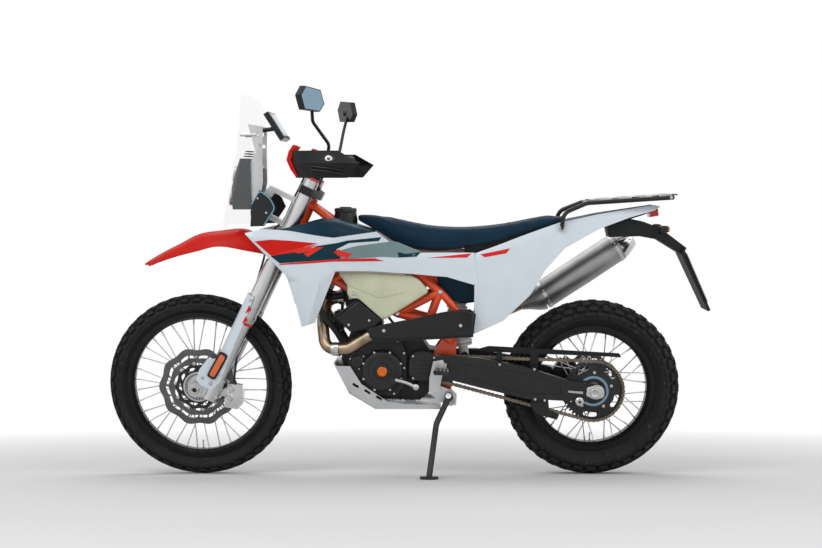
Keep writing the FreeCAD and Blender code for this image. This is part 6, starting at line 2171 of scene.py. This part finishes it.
@dataclass(frozen=True)
class Exhaust:
    """Header with its clamp and springs, heat cover, and the silencer in its finishes."""

    front: At = (158.0, -176.0, 677.0)
    rear: At = (-137.0, -186.0, 871.0)
    joint: At = (250.0, -172.0, 640.0)
    radius: float = 57.0
    neck: float = 24.0

    def silencer(self) -> None:
        """Cone, can, cap and two bands, each a profile about the can's own line, and their rivets.

        The cone's radius is neck + (radius - neck)(3k^2 - 2k^3) at a share k of its length.
        """
        front, rear, joint = (np.array(p) for p in (self.front, self.rear, self.joint))
        along = rear - front
        length = float(np.linalg.norm(along))
        cone = float(np.linalg.norm(front - joint))
        r, neck = self.radius, self.neck
        bell = [(neck + (r - neck) * (3 * k * k - 2 * k**3), cone * k) for k in np.linspace(0, 1,
                                                                                            12)[1:]]
        CHASSIS.add("silencer_cone", lathe([(20, 0.5), *bell], joint, front - joint, 56), TITANIUM,
                    50)
        body = [(r - 1, -2), (r, 0), (r, 0.2 * length), (r + 0.8, 0.5 * length), (r, length - 2),
                (r - 2, length)]
        CHASSIS.add("silencer_can", lathe(body, front, along, 72), TITANIUM, 40,
                    replaces=("silencer",), slot="silencer_titanium")
        cap = [(r - 1.5, 0), (r - 0.5, 2), (r - 3, 14), (r - 13, 40), (36, 58), (33, 62),
               (30, 62.5), (27, 60), (22, 46),
               (22, -10), (AXIS_RADIUS, -10)]
        CHASSIS.add("silencer_cap", lathe(cap, rear, along, 72), POLISHED, 35)
        band = [(r, 0), (r + 2, 0.6), (r + 2, 13.4), (r, 14), (r - 1, 7)]
        bands = [closed_lathe(band, front + along * share, along, 72) for share in (0.0, 0.94)]
        CHASSIS.add("silencer_bands", joined(bands), STEEL, 40)
        side = np.cross(along / length, TO_LEFT)
        side /= np.linalg.norm(side)
        up = np.cross(side, along / length)
        head = [(2.6, -1), (2.6, 0.4), (1.4, 1.3), (AXIS_RADIUS, 1.4)]
        ways = [side * math.cos(a) + up * math.sin(a) for a in round_angles(16)]
        spots = [front + along * share for share in (0.024, 0.963)]
        rivets = [lathe(head, spot + out * (r + 2), out, 8) for spot in spots for out in ways]
        CHASSIS.add("silencer_rivets", joined(rivets), POLISHED, 40)

    def header(self) -> None:
        """Clamp where the pipe turns back, flange, and a spring wound as a helix along its line."""
        clamp = closed_lathe([(22.2, -14), (25.5, -14), (25.5, 14), (22.2, 14)], (949, 120, 505),
                             (-0.96, 0.26, 0.02))
        CHASSIS.add("header_clamp", clamp + block((16, 12, 22), 6, (949, 146, 505)), STEEL, 40)
        ring = [(23, 0), (33, 0), (33, 7), (27, 9), (27, 20), (23, 20)]
        CHASSIS.add("header_flange", closed_lathe(ring, (931, 0, 689.5), (0.97, 0, -0.16)), STEEL,
                    40)
        t = np.linspace(0, 2 * np.pi * 9, 150)
        share = (t / t[-1])[:, None]
        turns = 4 * np.stack([np.cos(t), 0 * t, np.sin(t)], axis=1)
        line = np.array([1022.0, 76, 640]) + np.array([-8, 20, -46]) * share + turns
        CHASSIS.add("header_springs", sweep(line, circle(1.4, 6)), STEEL, 60)

    def heat_cover(self) -> None:
        """Long cover over the pipe: a bowed top line, a raised face and two bolts."""
        top = rounded([(828, 590), (770, 602), (640, 628), (540, 650), (470, 658), (436, 646)], 40,
                      5)
        low = rounded([(440, 562), (520, 556), (640, 552), (760, 545), (822, 552)], 30, 5)
        steps = ((1.0, 150), (1.0, 163), (0.985, 167), (0.95, 169), (0.9, 169.4), (0.88, 168.2))
        loops = raised(np.vstack([top, low]), steps, kept=0.5)
        CHASSIS.add("heat_cover", grid(np.stack(loops), wrap_v=True, caps=True), SMOOTH_BLACK, 40)
        CHASSIS.bolts("heat_cover_bolts", [(769.6, 168, 579.8, 7, 4), (486.5, 168, 598.7, 7, 4)])

    def build(self) -> None:
        """Makes the exhaust's pieces."""
        self.silencer()
        self.header()
        self.heat_cover()


@dataclass(frozen=True)
class Engine:
    """Covers, plug, bolts and controls over the castings."""

    cover: Spot = (779.0, 421.0)
    starter: Spot = (872.0, 456.0)
    lever: At = (652, 152, 366)
    lever_tip: At = (738, 152, 396)

    def covers(self) -> None:
        """Plug, cover rings, the starter's cap and their bolts on the left."""
        x, z = self.cover
        plug = [(19, 0), (19, 4), (17, 6), (13.5, 6.4), (12, 4), (6, 3.4), (5, 6.8),
                (AXIS_RADIUS, 7)]
        CHASSIS.add("cover_plug", lathe(plug, (x, 128.5, z), turns=40), BRONZE, 35)
        rim = closed_lathe([(52, -1), (56, -1), (55, 2.2), (53, 2.2)], (x, 125, z), turns=72)
        inner = closed_lathe([(30, -1), (34, -1), (33, 2.4), (31, 2.4)], (x, 125, z), turns=60)
        CHASSIS.add("cover_rings", rim + inner, CASTING, 40)
        ways = spokes(round_angles(8, 0.5)) * 76
        heads = [(x + a, 121.5, z + b, 5, 4) for a, _, b in ways]
        CHASSIS.bolts("cover_bolts", heads)
        x, z = self.starter
        cap = lathe([(24, 0), (24, 5), (20, 8), (9, 8.5), (8, 6), (AXIS_RADIUS, 6)], (x, 109.5, z),
                    turns=36)
        CHASSIS.add("starter_cap", cap, CASTING, 35)
        screws = [(x + 29 * math.cos(a), 104, z + 29 * math.sin(a), 3.6,
                   3) for a in np.radians((20, 140, 260))]
        CHASSIS.bolts("starter_screws", screws)

    def case(self) -> None:
        """Case bolts round the flange, oil line, the cylinder's studs, and ribs under the case."""
        spots = ((880, 500), (856, 534), (790, 536), (722, 534), (698, 486), (698, 430), (700, 380),
                 (736, 332),
                 (826, 338), (890, 402))
        CHASSIS.bolts("case_bolts", [(x, 98, z, 5.2, 5) for x, z in spots], mirrored=True)
        line = tube([(700, 90, 520), (690, 96, 560), (742, 80, 600), (768, 70, 640)], 5, 20, 12)
        CHASSIS.add("oil_line", line, DARK_STEEL, 60)
        studs = ((836, 700), (900, 690), (826, 740), (890, 730))
        CHASSIS.bolts("head_bolts", [(x, 66, z, 6, 5) for x, z in studs], mirrored=True)
        rib = plate([(646, 300), (652, 300), (640, 372), (634, 372)], 57, 60.5)
        ribs = joined([shifted(rib, (22 * n, 0, 0)) for n in range(1, 4)])
        CHASSIS.add("case_ribs", both(ribs), CASTING, bevel=0.8)

    def controls(self) -> None:
        """Silver gear lever, and the teeth of both foot pegs."""
        x, y, z = self.lever
        lever = tube([self.lever, (690, 152, 384), np.array(self.lever_tip) + [0, 2, 0]], 6.6, 14,
                     14)
        hub = lathe([(11, -5), (11, 8), (8, 10), (AXIS_RADIUS, 10)], (x, y - 2, z), turns=24)
        CHASSIS.add("gear_lever", lever + hub, ALUMINIUM, 50)
        tip = lathe([(8, 0), (9, 3), (9, 24), (7, 27), (AXIS_RADIUS, 27)], self.lever_tip, turns=20)
        CHASSIS.add("gear_lever_tip", tip, RUBBER, 40)
        tooth = plate([(0, 0), (5, 0), (3.6, 5), (1.4, 5)], 0, 5)
        spots = [(x, y, 436.0) for x in (531, 544, 558, 572) for y in (166, 178, 190, 202, 214)]
        CHASSIS.add("peg_teeth", both(joined([shifted(tooth, spot) for spot in spots])), STEEL)

    def build(self) -> None:
        """Makes the engine's pieces."""
        self.covers()
        self.case()
        self.controls()


# Rear end, chain and small parts on the wheels


def strip(first: Spot, last: Spot, thick: Spot) -> Surface:
    """Flat level strip between two corners (x, y) and two heights."""
    (a, c), (b, d) = first, last
    return plate([(a, c), (b, c), (b, d), (a, d)], *thick, Carry.UPWARDS)


@dataclass(frozen=True)
class Drive:
    """Chain of plates and rollers round both sprockets, sprocket bolts and the gearbox cover.

    Attributes:
        shaft: middle (x, z) of the front sprocket.
        line: sideways place of the chain.
        pitch: distance between two joints.
        rear_teeth: teeth of the rear sprocket.
        front_teeth: teeth of the front sprocket.
        waist: outline of a link's plate, one pitch long between its holes.
        layers: first joint, inner and outer plane of the inner and the outer plates.
        pin: profile of a joint's roller and pin.
    """

    shaft: Spot = (618.0, 436.0)
    line: float = 86.0
    pitch: float = 15.875
    rear_teeth: int = 45
    front_teeth: int = 16
    layers: tuple[tuple[int, float, float], ...] = ((0, 4.6, 6.4), (1, 6.8, 8.6))
    pin: Line = (
        (AXIS_RADIUS, -9), (3, -9), (3, -4.6), (5, -4.6), (5, 4.6), (3, 4.6), (3, 9),
        (AXIS_RADIUS, 9),
    )

    def joints(self) -> Array:
        """Joints on the belt line round both sprockets: an arc, a tangent, an arc and a tangent.

        A pitch circle's radius is pitch / (2 sin(pi / teeth)). The number of links is even.

        Returns:
            The joints (x, z), shape (n, 2).
        """
        big, small = (self.pitch / (2 * math.sin(math.pi / teeth)) for teeth in (self.rear_teeth,
                                                                                 self.front_teeth))
        rear, front = PLACE.rear_axle[[0, 2]], np.array(self.shaft)
        run = front - rear
        span = float(np.linalg.norm(run))
        tilt = math.atan2(run[1], run[0])
        open_angle = math.acos((big - small) / span)
        straight = math.sqrt(span**2 - (big - small) ** 2)
        arcs = (big * (2 * math.pi - 2 * open_angle), small * 2 * open_angle)
        ends = np.cumsum([0, arcs[0], straight, arcs[1], straight])
        count = 2 * int(ends[-1] / self.pitch / 2)
        s = (np.arange(count) + 0.001) / count * ends[-1]

        def at(middle: Array, radius: float, angle: Array) -> Array:
            """Points of a pitch circle, shape (n, 2)."""
            return middle + radius * np.stack([np.cos(angle), np.sin(angle)], axis=-1)

        low, high = tilt - open_angle, tilt + open_angle
        low_rear, low_front = at(rear, big, low), at(front, small, low)
        top_front, top_rear = at(front, small, high), at(rear, big, high)
        runs = [
            at(rear, big, high + s / big),
            low_rear + (low_front - low_rear) * ((s - ends[1]) / straight)[:, None],
            at(front, small, low + (s - ends[2]) / small),
            top_front + (top_rear - top_front) * ((s - ends[3]) / straight)[:, None],
        ]
        which = np.clip(np.searchsorted(ends, s, side="right") - 1, 0, 3)
        return np.stack(runs)[which, np.arange(count)]

    def links(self) -> None:
        """Waisted plates in pairs, inner and outer by turns, with a roller at each joint."""
        joints = self.joints()
        after = np.roll(joints, -1, axis=0)
        way = unit(after - joints)
        ahead = np.stack([way[:, 0], 0 * way[:, 0], way[:, 1]], axis=1)
        left = np.tile(np.array(TO_LEFT, float), (len(joints), 1))
        turns = np.stack([ahead, left, np.cross(ahead, left)], axis=2)
        place, pins = (np.insert(spots, 1, self.line, axis=1) for spots in ((joints + after) / 2,
                                                                            joints))
        half = self.pitch / 2
        waist = [(-half - 5.6, -3.4), (-half - 5.6, 3.4), (-half, 6.6), (0, 4.4), (half, 6.6),
                 (half + 5.6, 3.4),
                 (half + 5.6, -3.4), (half, -6.6), (0, -4.4), (-half, -6.6)]
        parts = [copies(both(plate(waist, inner, outer)), turns[first::2], place[first::2])
                 for first, inner, outer in self.layers]
        upright = np.tile(np.eye(3), (len(joints), 1, 1))
        parts.append(copies(lathe(self.pin, (0, 0, 0), turns=10), upright, pins))
        CHASSIS.add("chain_links", joined(parts), CHAIN, replaces=("chain",), slot="chain_steel")

    def bolts(self) -> None:
        """Sprocket bolts between its windows, and the ring on the hub."""
        x, _, z = PLACE.rear_axle
        wheel = Piece(Body.REAR_WHEEL)
        ways = spokes(round_angles(5, 0.72)) * 70
        heads = [(x + a, 88.8, z - b, 7, 6) for a, _, b in ways]
        wheel.bolts("sprocket_bolts", heads)
        ring = closed_lathe([(46, -2), (60, -2), (58, 2.5), (48, 2.5)], (x, 89, z), turns=60)
        wheel.add("sprocket_ring", ring, GLASS_BLUE, 35)

    def cover(self) -> None:
        """Ribbed cover over the drive sprocket, with three bolts."""
        x, z = self.shaft
        corners = ((62, 30), (44, 58), (-4, 62), (-44, 40), (-50, -34), (-20, -56), (40, -58),
                   (64, -30))
        outline = [(x + a, z + b) for a, b in corners]
        shell = plate(rounded(outline + outline[:2], 16, 4)[1:-1], 98, 108)
        CHASSIS.add("sprocket_cover", shell, CASTING, bevel=4)
        rib = plate([(x - 34, z - 30), (x + 40, z - 24), (x + 40, z - 20), (x - 34, z - 26)], 107,
                    109.6)
        ribs = joined([shifted(rib, (0, 0, 16 * n)) for n in range(4)])
        CHASSIS.add("sprocket_cover_ribs", ribs, CASTING, bevel=0.8)
        spots = ((46, 40), (-34, 34), (46, -44))
        CHASSIS.bolts("sprocket_cover_bolts", [(x + a, 108, z + b, 5, 4) for a, b in spots])

    def build(self) -> None:
        """Makes chain, bolts and cover."""
        self.links()
        self.bolts()
        self.cover()


@dataclass(frozen=True)
class RearEnd:
    """Axle blocks, spools, arm details, rack plate, number plate bolts and flashers."""

    rack_turn: float = 3.8
    rack_at: float = 1052.0
    spool_at: Spot = (40.3, 308.8)
    pivot: At = (560, 138, 436)
    plate_way: At = (-0.907, 0, 0.421)
    flasher_at: At = (-268, 84, 948)

    def arm(self) -> None:
        """Silver axle blocks with hollow nuts, round spools, arm bolts and pivot nuts."""
        x, _, z = PLACE.rear_axle
        corners = ((-36, -12), (-30, 20), (10, 25), (30, 20), (32, -10), (6, -22), (-26, -20))
        axle_block = plate([(x + a, z + b) for a, b in corners], 132.4, 138)
        CHASSIS.add("axle_blocks", both(axle_block), ALUMINIUM, bevel=1.6)
        nut = closed_lathe([(8.5, -5), (18, -5), (18, 3), (16, 5), (11, 5), (8.5, 3.5)],
                           (x, 140, z), turns=36)
        CHASSIS.add("rear_axle_nuts", both(nut), STEEL, 35)
        spool = [(5, 132), (15, 132), (15, 135), (10, 138), (10, 144), (15, 147), (15, 150),
                 (13, 151.5), (5, 151.5)]
        spools = closed_lathe(spool, (self.spool_at[0], 0, self.spool_at[1]), turns=32)
        CHASSIS.add("lift_spools", both(spools), STEEL, 35)
        end = lathe([(AXIS_RADIUS, 0), (9, 0), (9, 9), (AXIS_RADIUS, 9)], self.pivot, turns=6)
        CHASSIS.add("pivot_nuts", both(button(self.pivot, 15, 7) + end), STEEL)
        spots = ((206, 316), (170, 312), (210, 430), (340, 448))
        CHASSIS.bolts("arm_bolts", [(a, 132, b, 5.5, 4) for a, b in spots])
        mark = plate([(x + 44, z - 4), (x + 100, z + 2), (x + 100, z + 9), (x + 44, z + 5)], 132,
                     133.4)
        CHASSIS.add("arm_marks", both(mark), STEEL, bevel=0.5)

    def rack(self) -> None:
        """Bright slotted plate over the rack's bars: strips turned about Y and lifted onto it."""
        slope = math.radians(self.rack_turn)
        sine, cosine = math.sin(slope), math.cos(slope)
        turn = np.array([[cosine, 0, -sine], [0, 1, 0], [sine, 0, cosine]])
        along = [strip((-314, low), (6, high), (-0.4, 5.4)) for low,
                 high in ((-84, -60), (-24, 24), (60, 84))]
        steps = ((-314, -293), (-245, -219), (-171, -145), (-97, -71), (-23, 6))
        across = [strip((low, -84), (high, 84), (-0.3, 5.3)) for low, high in steps]

        for name, strips in (("long", along), ("cross", across)):
            made = joined(strips).mapped(lambda p: p @ turn + [0, 0, self.rack_at])
            CHASSIS.add("rack_strips_" + name, made, ALUMINIUM)
        CHASSIS.bolts("rack_bolts", [(114, 112, 952, 10, 6), (-290, 87, 1063, 6, 4)], mirrored=True)

    def plate_details(self) -> None:
        """Number plate bolts, holder ribs and the rear flashers on their stalks."""
        heads = [(x, y, z, 5, 3) for x, z in ((-385.5, 800.5), (-424, 717.5)) for y in (-40, 40)]
        CHASSIS.bolts("plate_bolts", heads, way=self.plate_way)
        corners = ((-200, 962, 16), (-206, 959, 16), (-196, 934, 18), (-190, 937, 18))
        ribs = [plate([(x - 42 * n, z - fall * n) for x, z, fall in corners], 40,
                      44) for n in range(3)]
        CHASSIS.add("holder_ribs", both(joined(ribs)), BLACK_PLASTIC, bevel=0.6)
        x, y, z = self.flasher_at
        stalk = tube([(-262, 40, 934), (x + 2, y - 6, z - 1)], 6, 0, 12)
        CHASSIS.add("rear_flashers", both(block((34, 22, 26), 4, self.flasher_at) + stalk),
                    SMOOTH_BLACK, 50)
        CHASSIS.add("rear_flasher_lenses", both(block((8, 18, 20), 4, (x - 16, y, z))), ORANGE_LENS,
                    50)

    def build(self) -> None:
        """Makes the rear end's pieces."""
        self.arm()
        self.rack()
        self.plate_details()


@dataclass(frozen=True)
class HeaderGap:
    """Hoses and the finned regulator in the gap between header and engine."""

    facing: At = (0.99, 0, -0.1)
    drops: tuple[tuple[Side, float], ...] = ((Side.LEFT, 0.0), (Side.RIGHT, 14.0))

    def build(self) -> None:
        """Makes the pieces in the gap."""
        for side, drop in self.drops:
            s = side.value
            route = [(1016, s * 118, 662), (990, s * 100, 620 - drop), (950, s * 66, 560),
                     (918, s * 60, 500)]
            CHASSIS.add("low_hose_" + side.word, tube(route, 12, 30, 18), RUBBER, 60)
        core = block((26, 96, 78), 7, (944, -6, 600), self.facing)
        fins = joined([block((40, 92, 4), 8, (948, -6, 568 + 9 * n),
                             self.facing) for n in range(8)])
        CHASSIS.add("regulator", core + fins, CASTING, 40)
        bracket = tube([(936, -6, 640), (934, 0, 690), (930, 60, 704)], 6, 20, 12)
        CHASSIS.add("regulator_bracket", bracket, DARK_STEEL, 60)
        lead = tube([(946, 40, 566), (925, 70, 540), (915, 88, 520)], 4, 18, 10)
        CHASSIS.add("regulator_lead", lead, RUBBER, 60)


@dataclass(frozen=True)
class RimDetail:
    """Spoke nipples round both rims and the valves.

    Attributes:
        count: spokes of a wheel.
        sweep_degrees: turn of a spoke from the hub to the rim.
        sleeve: profile of a nipple.
        valve: profile of a valve.
        wheels: name, body, hub flange radius, its half width and the rim's inner radius.
    """

    count: int = 36
    sweep_degrees: float = 48.0
    sleeve: Line = ((AXIS_RADIUS, -20), (2.4, -20), (3.4, -16), (3.4, -4), (4.2, 0),
                    (AXIS_RADIUS, 0))
    valve: Line = (
        (AXIS_RADIUS, -34), (3.4, -34), (3.4, -26), (2.6, -25), (2.6, -8), (5, -6), (5, 0),
        (AXIS_RADIUS, 0),
    )
    wheels: tuple[tuple, ...] = (("front", Body.FRONT_WHEEL, 40, 30, 253),
                                 ("rear", Body.REAR_WHEEL, 62, 42, 213))

    def nipples(self, centre: Array, flange: float, flange_at: float, inner: float) -> Surface:
        """Small tapered sleeves at each spoke's rim end, turned along the spoke.

        Args:
            centre: middle of the axle.
            flange: radius of the hub's flange.
            flange_at: its distance from the middle.
            inner: the rim's inner radius.

        Returns:
            All the sleeves.
        """
        n = np.arange(self.count)
        side = np.where(n % 2, 1.0, -1.0)[:, None]
        lean = np.where((n // 2) % 2, 1.0, -1.0)
        rim = round_angles(self.count, 0.5)
        hub = rim + lean * math.radians(self.sweep_degrees)
        left = side * np.array(TO_LEFT, float)
        start = spokes(hub) * (flange - 4) + left * (flange_at + lean * 2.0)[:, None]
        end = spokes(rim) * (inner - 1) + left * 3.0
        way = unit(end - start)
        across = unit(np.cross(way, TO_LEFT))
        turns = np.stack([across, np.cross(way, across), way], axis=2)
        return copies(lathe(self.sleeve, (0, 0, 0), UP, 8), turns, end + centre)

    def build(self) -> None:
        """Makes nipples and valves on both wheels."""
        centres = {"front": PLACE.front_axle, "rear": PLACE.rear_axle}
        for name, body, flange, flange_at, inner in self.wheels:
            made = self.nipples(centres[name], flange, flange_at, inner)
            Piece(body).add(name + "_nipples", made, STEEL)
        for name, body, _, _, inner in self.wheels:
            valve = lathe(self.valve, centres[name] + np.array([0, 0, -inner]), (0, 0, -1), 12)
            Piece(body).add(name + "_valve", valve, STEEL, 35)


# Stage, lamps and camera


@dataclass(frozen=True)
class Studio:
    """Pale floor, soft lamps and the photograph's camera.

    Attributes:
        camera_at: the camera's place, in upright millimetres.
        focal_mm: its focal length.
        shift: its shift, in picture widths.
        clip: its nearest and furthest distance, in metres.
        pale: the floor's colour near the bike.
        fade: distances over which the floor turns into the background, in metres.
        reach: half the floor's side, in metres.
        drop: how far the floor lies under the tyres, in metres.
        open_air: strength of the surroundings as a light.
        lamps: each lamp's name, place, size and power.
        aim: the point that the lamps look at.
    """

    camera_at: At = (544.0, 4700.0, 366.0)
    focal_mm: float = 52.73
    shift: Spot = (-34 / 822, 105 / 822)
    clip: Spot = (0.05, 100.0)
    pale: Colour = (0.8, 0.8, 0.8)
    fade: Spot = (1.6, 4.5)
    reach: float = 30.0
    drop: float = 0.0005
    open_air: float = 0.42
    lamps: tuple[tuple[str, At, float, float], ...] = (
        ("key", (2.5, 4.0, 4.5), 3.5, 120.0),
        ("fill", (-4.0, 3.5, 3.0), 4.0, 70.0),
        ("top", (0.0, -2.0, 5.0), 4.0, 80.0),
    )
    aim: At = (0.0, 0.0, 0.6)

    def pale_material(self) -> bpy.types.Material:
        """Pale and matt round the bike, to keep the shadow, and bright like the world farther out.

        Returns:
            The material.
        """
        made = bpy.data.materials.new("pale_stage")
        made.use_nodes = True
        tree = made.node_tree
        tree.nodes.clear()
        add, link = tree.nodes.new, tree.links.new
        out = add("ShaderNodeOutputMaterial")
        matt = add("ShaderNodeBsdfDiffuse")
        matt.inputs["Color"].default_value = (*self.pale, 1.0)
        away = add("ShaderNodeVectorMath")
        away.operation = "LENGTH"
        link(add("ShaderNodeTexCoord").outputs["Object"], away.inputs[0])
        share = maths(tree, "MULTIPLY", spread(tree, away.outputs["Value"], *self.fade),
                      self.seen(tree))
        mixed = add("ShaderNodeMixShader")
        link(share, mixed.inputs["Fac"])
        link(matt.outputs["BSDF"], mixed.inputs[1])
        link(add("ShaderNodeEmission").outputs["Emission"], mixed.inputs[2])
        link(mixed.outputs["Shader"], out.inputs["Surface"])
        return made

    def seen(self, tree: Tree) -> Socket:
        """One where the ray comes from the camera, through clear plastic or off a glossy face.

        Args:
            tree: the node tree.

        Returns:
            The value's socket.
        """
        path = tree.nodes.new("ShaderNodeLightPath").outputs
        seen = maths(tree, "MAXIMUM", path["Is Camera Ray"], path["Is Transmission Ray"])
        return maths(tree, "MAXIMUM", seen, path["Is Glossy Ray"])

    def world(self) -> None:
        """Even pale surroundings."""
        world = bpy.data.worlds.new("studio")
        bpy.context.scene.world = world
        world.use_nodes = True
        tree = world.node_tree
        back = tree.nodes["Background"]
        tree.links.new(spread(tree, self.seen(tree), 0, 1, self.open_air, 1.0),
                       back.inputs["Strength"])
        back.inputs["Color"].default_value = (1.0, 1.0, 1.0, 1.0)

    def place(self, name: str, data: bpy.types.ID) -> Thing:
        """A new object in the scene.

        Args:
            name: its name.
            data: its mesh, lamp or camera.

        Returns:
            The object.
        """
        thing = bpy.data.objects.new(name, data)
        bpy.context.scene.collection.objects.link(thing)
        return thing

    def floor(self) -> None:
        """Floor under the tyres."""
        mesh = bpy.data.meshes.new("floor")
        signs = ((-1, -1), (1, -1), (1, 1), (-1, 1))
        corners = [(x * self.reach, y * self.reach, -self.drop) for x, y in signs]
        mesh.from_pydata(corners, [], [(0, 1, 2, 3)])
        mesh.materials.append(self.pale_material())
        self.place("floor", mesh)

    def lamp(self, name: str, at: At, size: float, power: float) -> None:
        """Soft area lamp aimed at the bike's middle.

        Args:
            name: the lamp's name.
            at: its place, in metres.
            size: length of its side.
            power: its power, in watts.
        """
        light = bpy.data.lights.new(name, "AREA")
        light.size = size
        light.energy = power
        thing = self.place(name, light)
        thing.location = at
        thing.rotation_euler = (Vector(self.aim) - Vector(at)).to_track_quat("-Z", "Y").to_euler()

    def camera(self) -> None:
        """Camera at the photograph's place, level, with the picture's own part of its view."""
        lens = bpy.data.cameras.new("photo_camera")
        lens.lens = self.focal_mm
        lens.clip_start, lens.clip_end = self.clip
        lens.shift_x, lens.shift_y = self.shift
        thing = self.place("photo_camera", lens)
        x, y, z = self.camera_at
        thing.location = (x / MM + PLACE.shift[0], y / MM + PLACE.shift[1], z / MM)
        thing.rotation_euler = (math.radians(90), 0.0, math.radians(180))
        bpy.context.scene.camera = thing

    def build(self) -> None:
        """Sets the whole stage."""
        self.world()
        self.floor()
        for lamp in self.lamps:
            self.lamp(*lamp)
        self.camera()
        bpy.context.scene.view_settings.view_transform = "Standard"


SUB_ASSEMBLIES = (
    Wheels(), RimDetail(), BodyPanels(), FrontEnd(), Cockpit(), Tank(), Saddle(), SideCells(),
    Exhaust(), Engine(),
    HeaderGap(), Drive(), RearEnd(),
)


def main() -> None:
    """Builds the dressed motorcycle."""
    global PLACE
    logging.basicConfig(level=logging.INFO, format="%(message)s")
    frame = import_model()
    PLACE = Place.from_joints(frame["joints"])
    LOG.info("rear axle %s, front axle %s", PLACE.rear_axle.round(1), PLACE.front_axle.round(1))
    dress_nodes(frame["nodes"])
    for part in SUB_ASSEMBLIES:
        part.build()
        LOG.info("built %s", type(part).__name__)
    Studio().build()


if __name__ == "__main__":
    main()
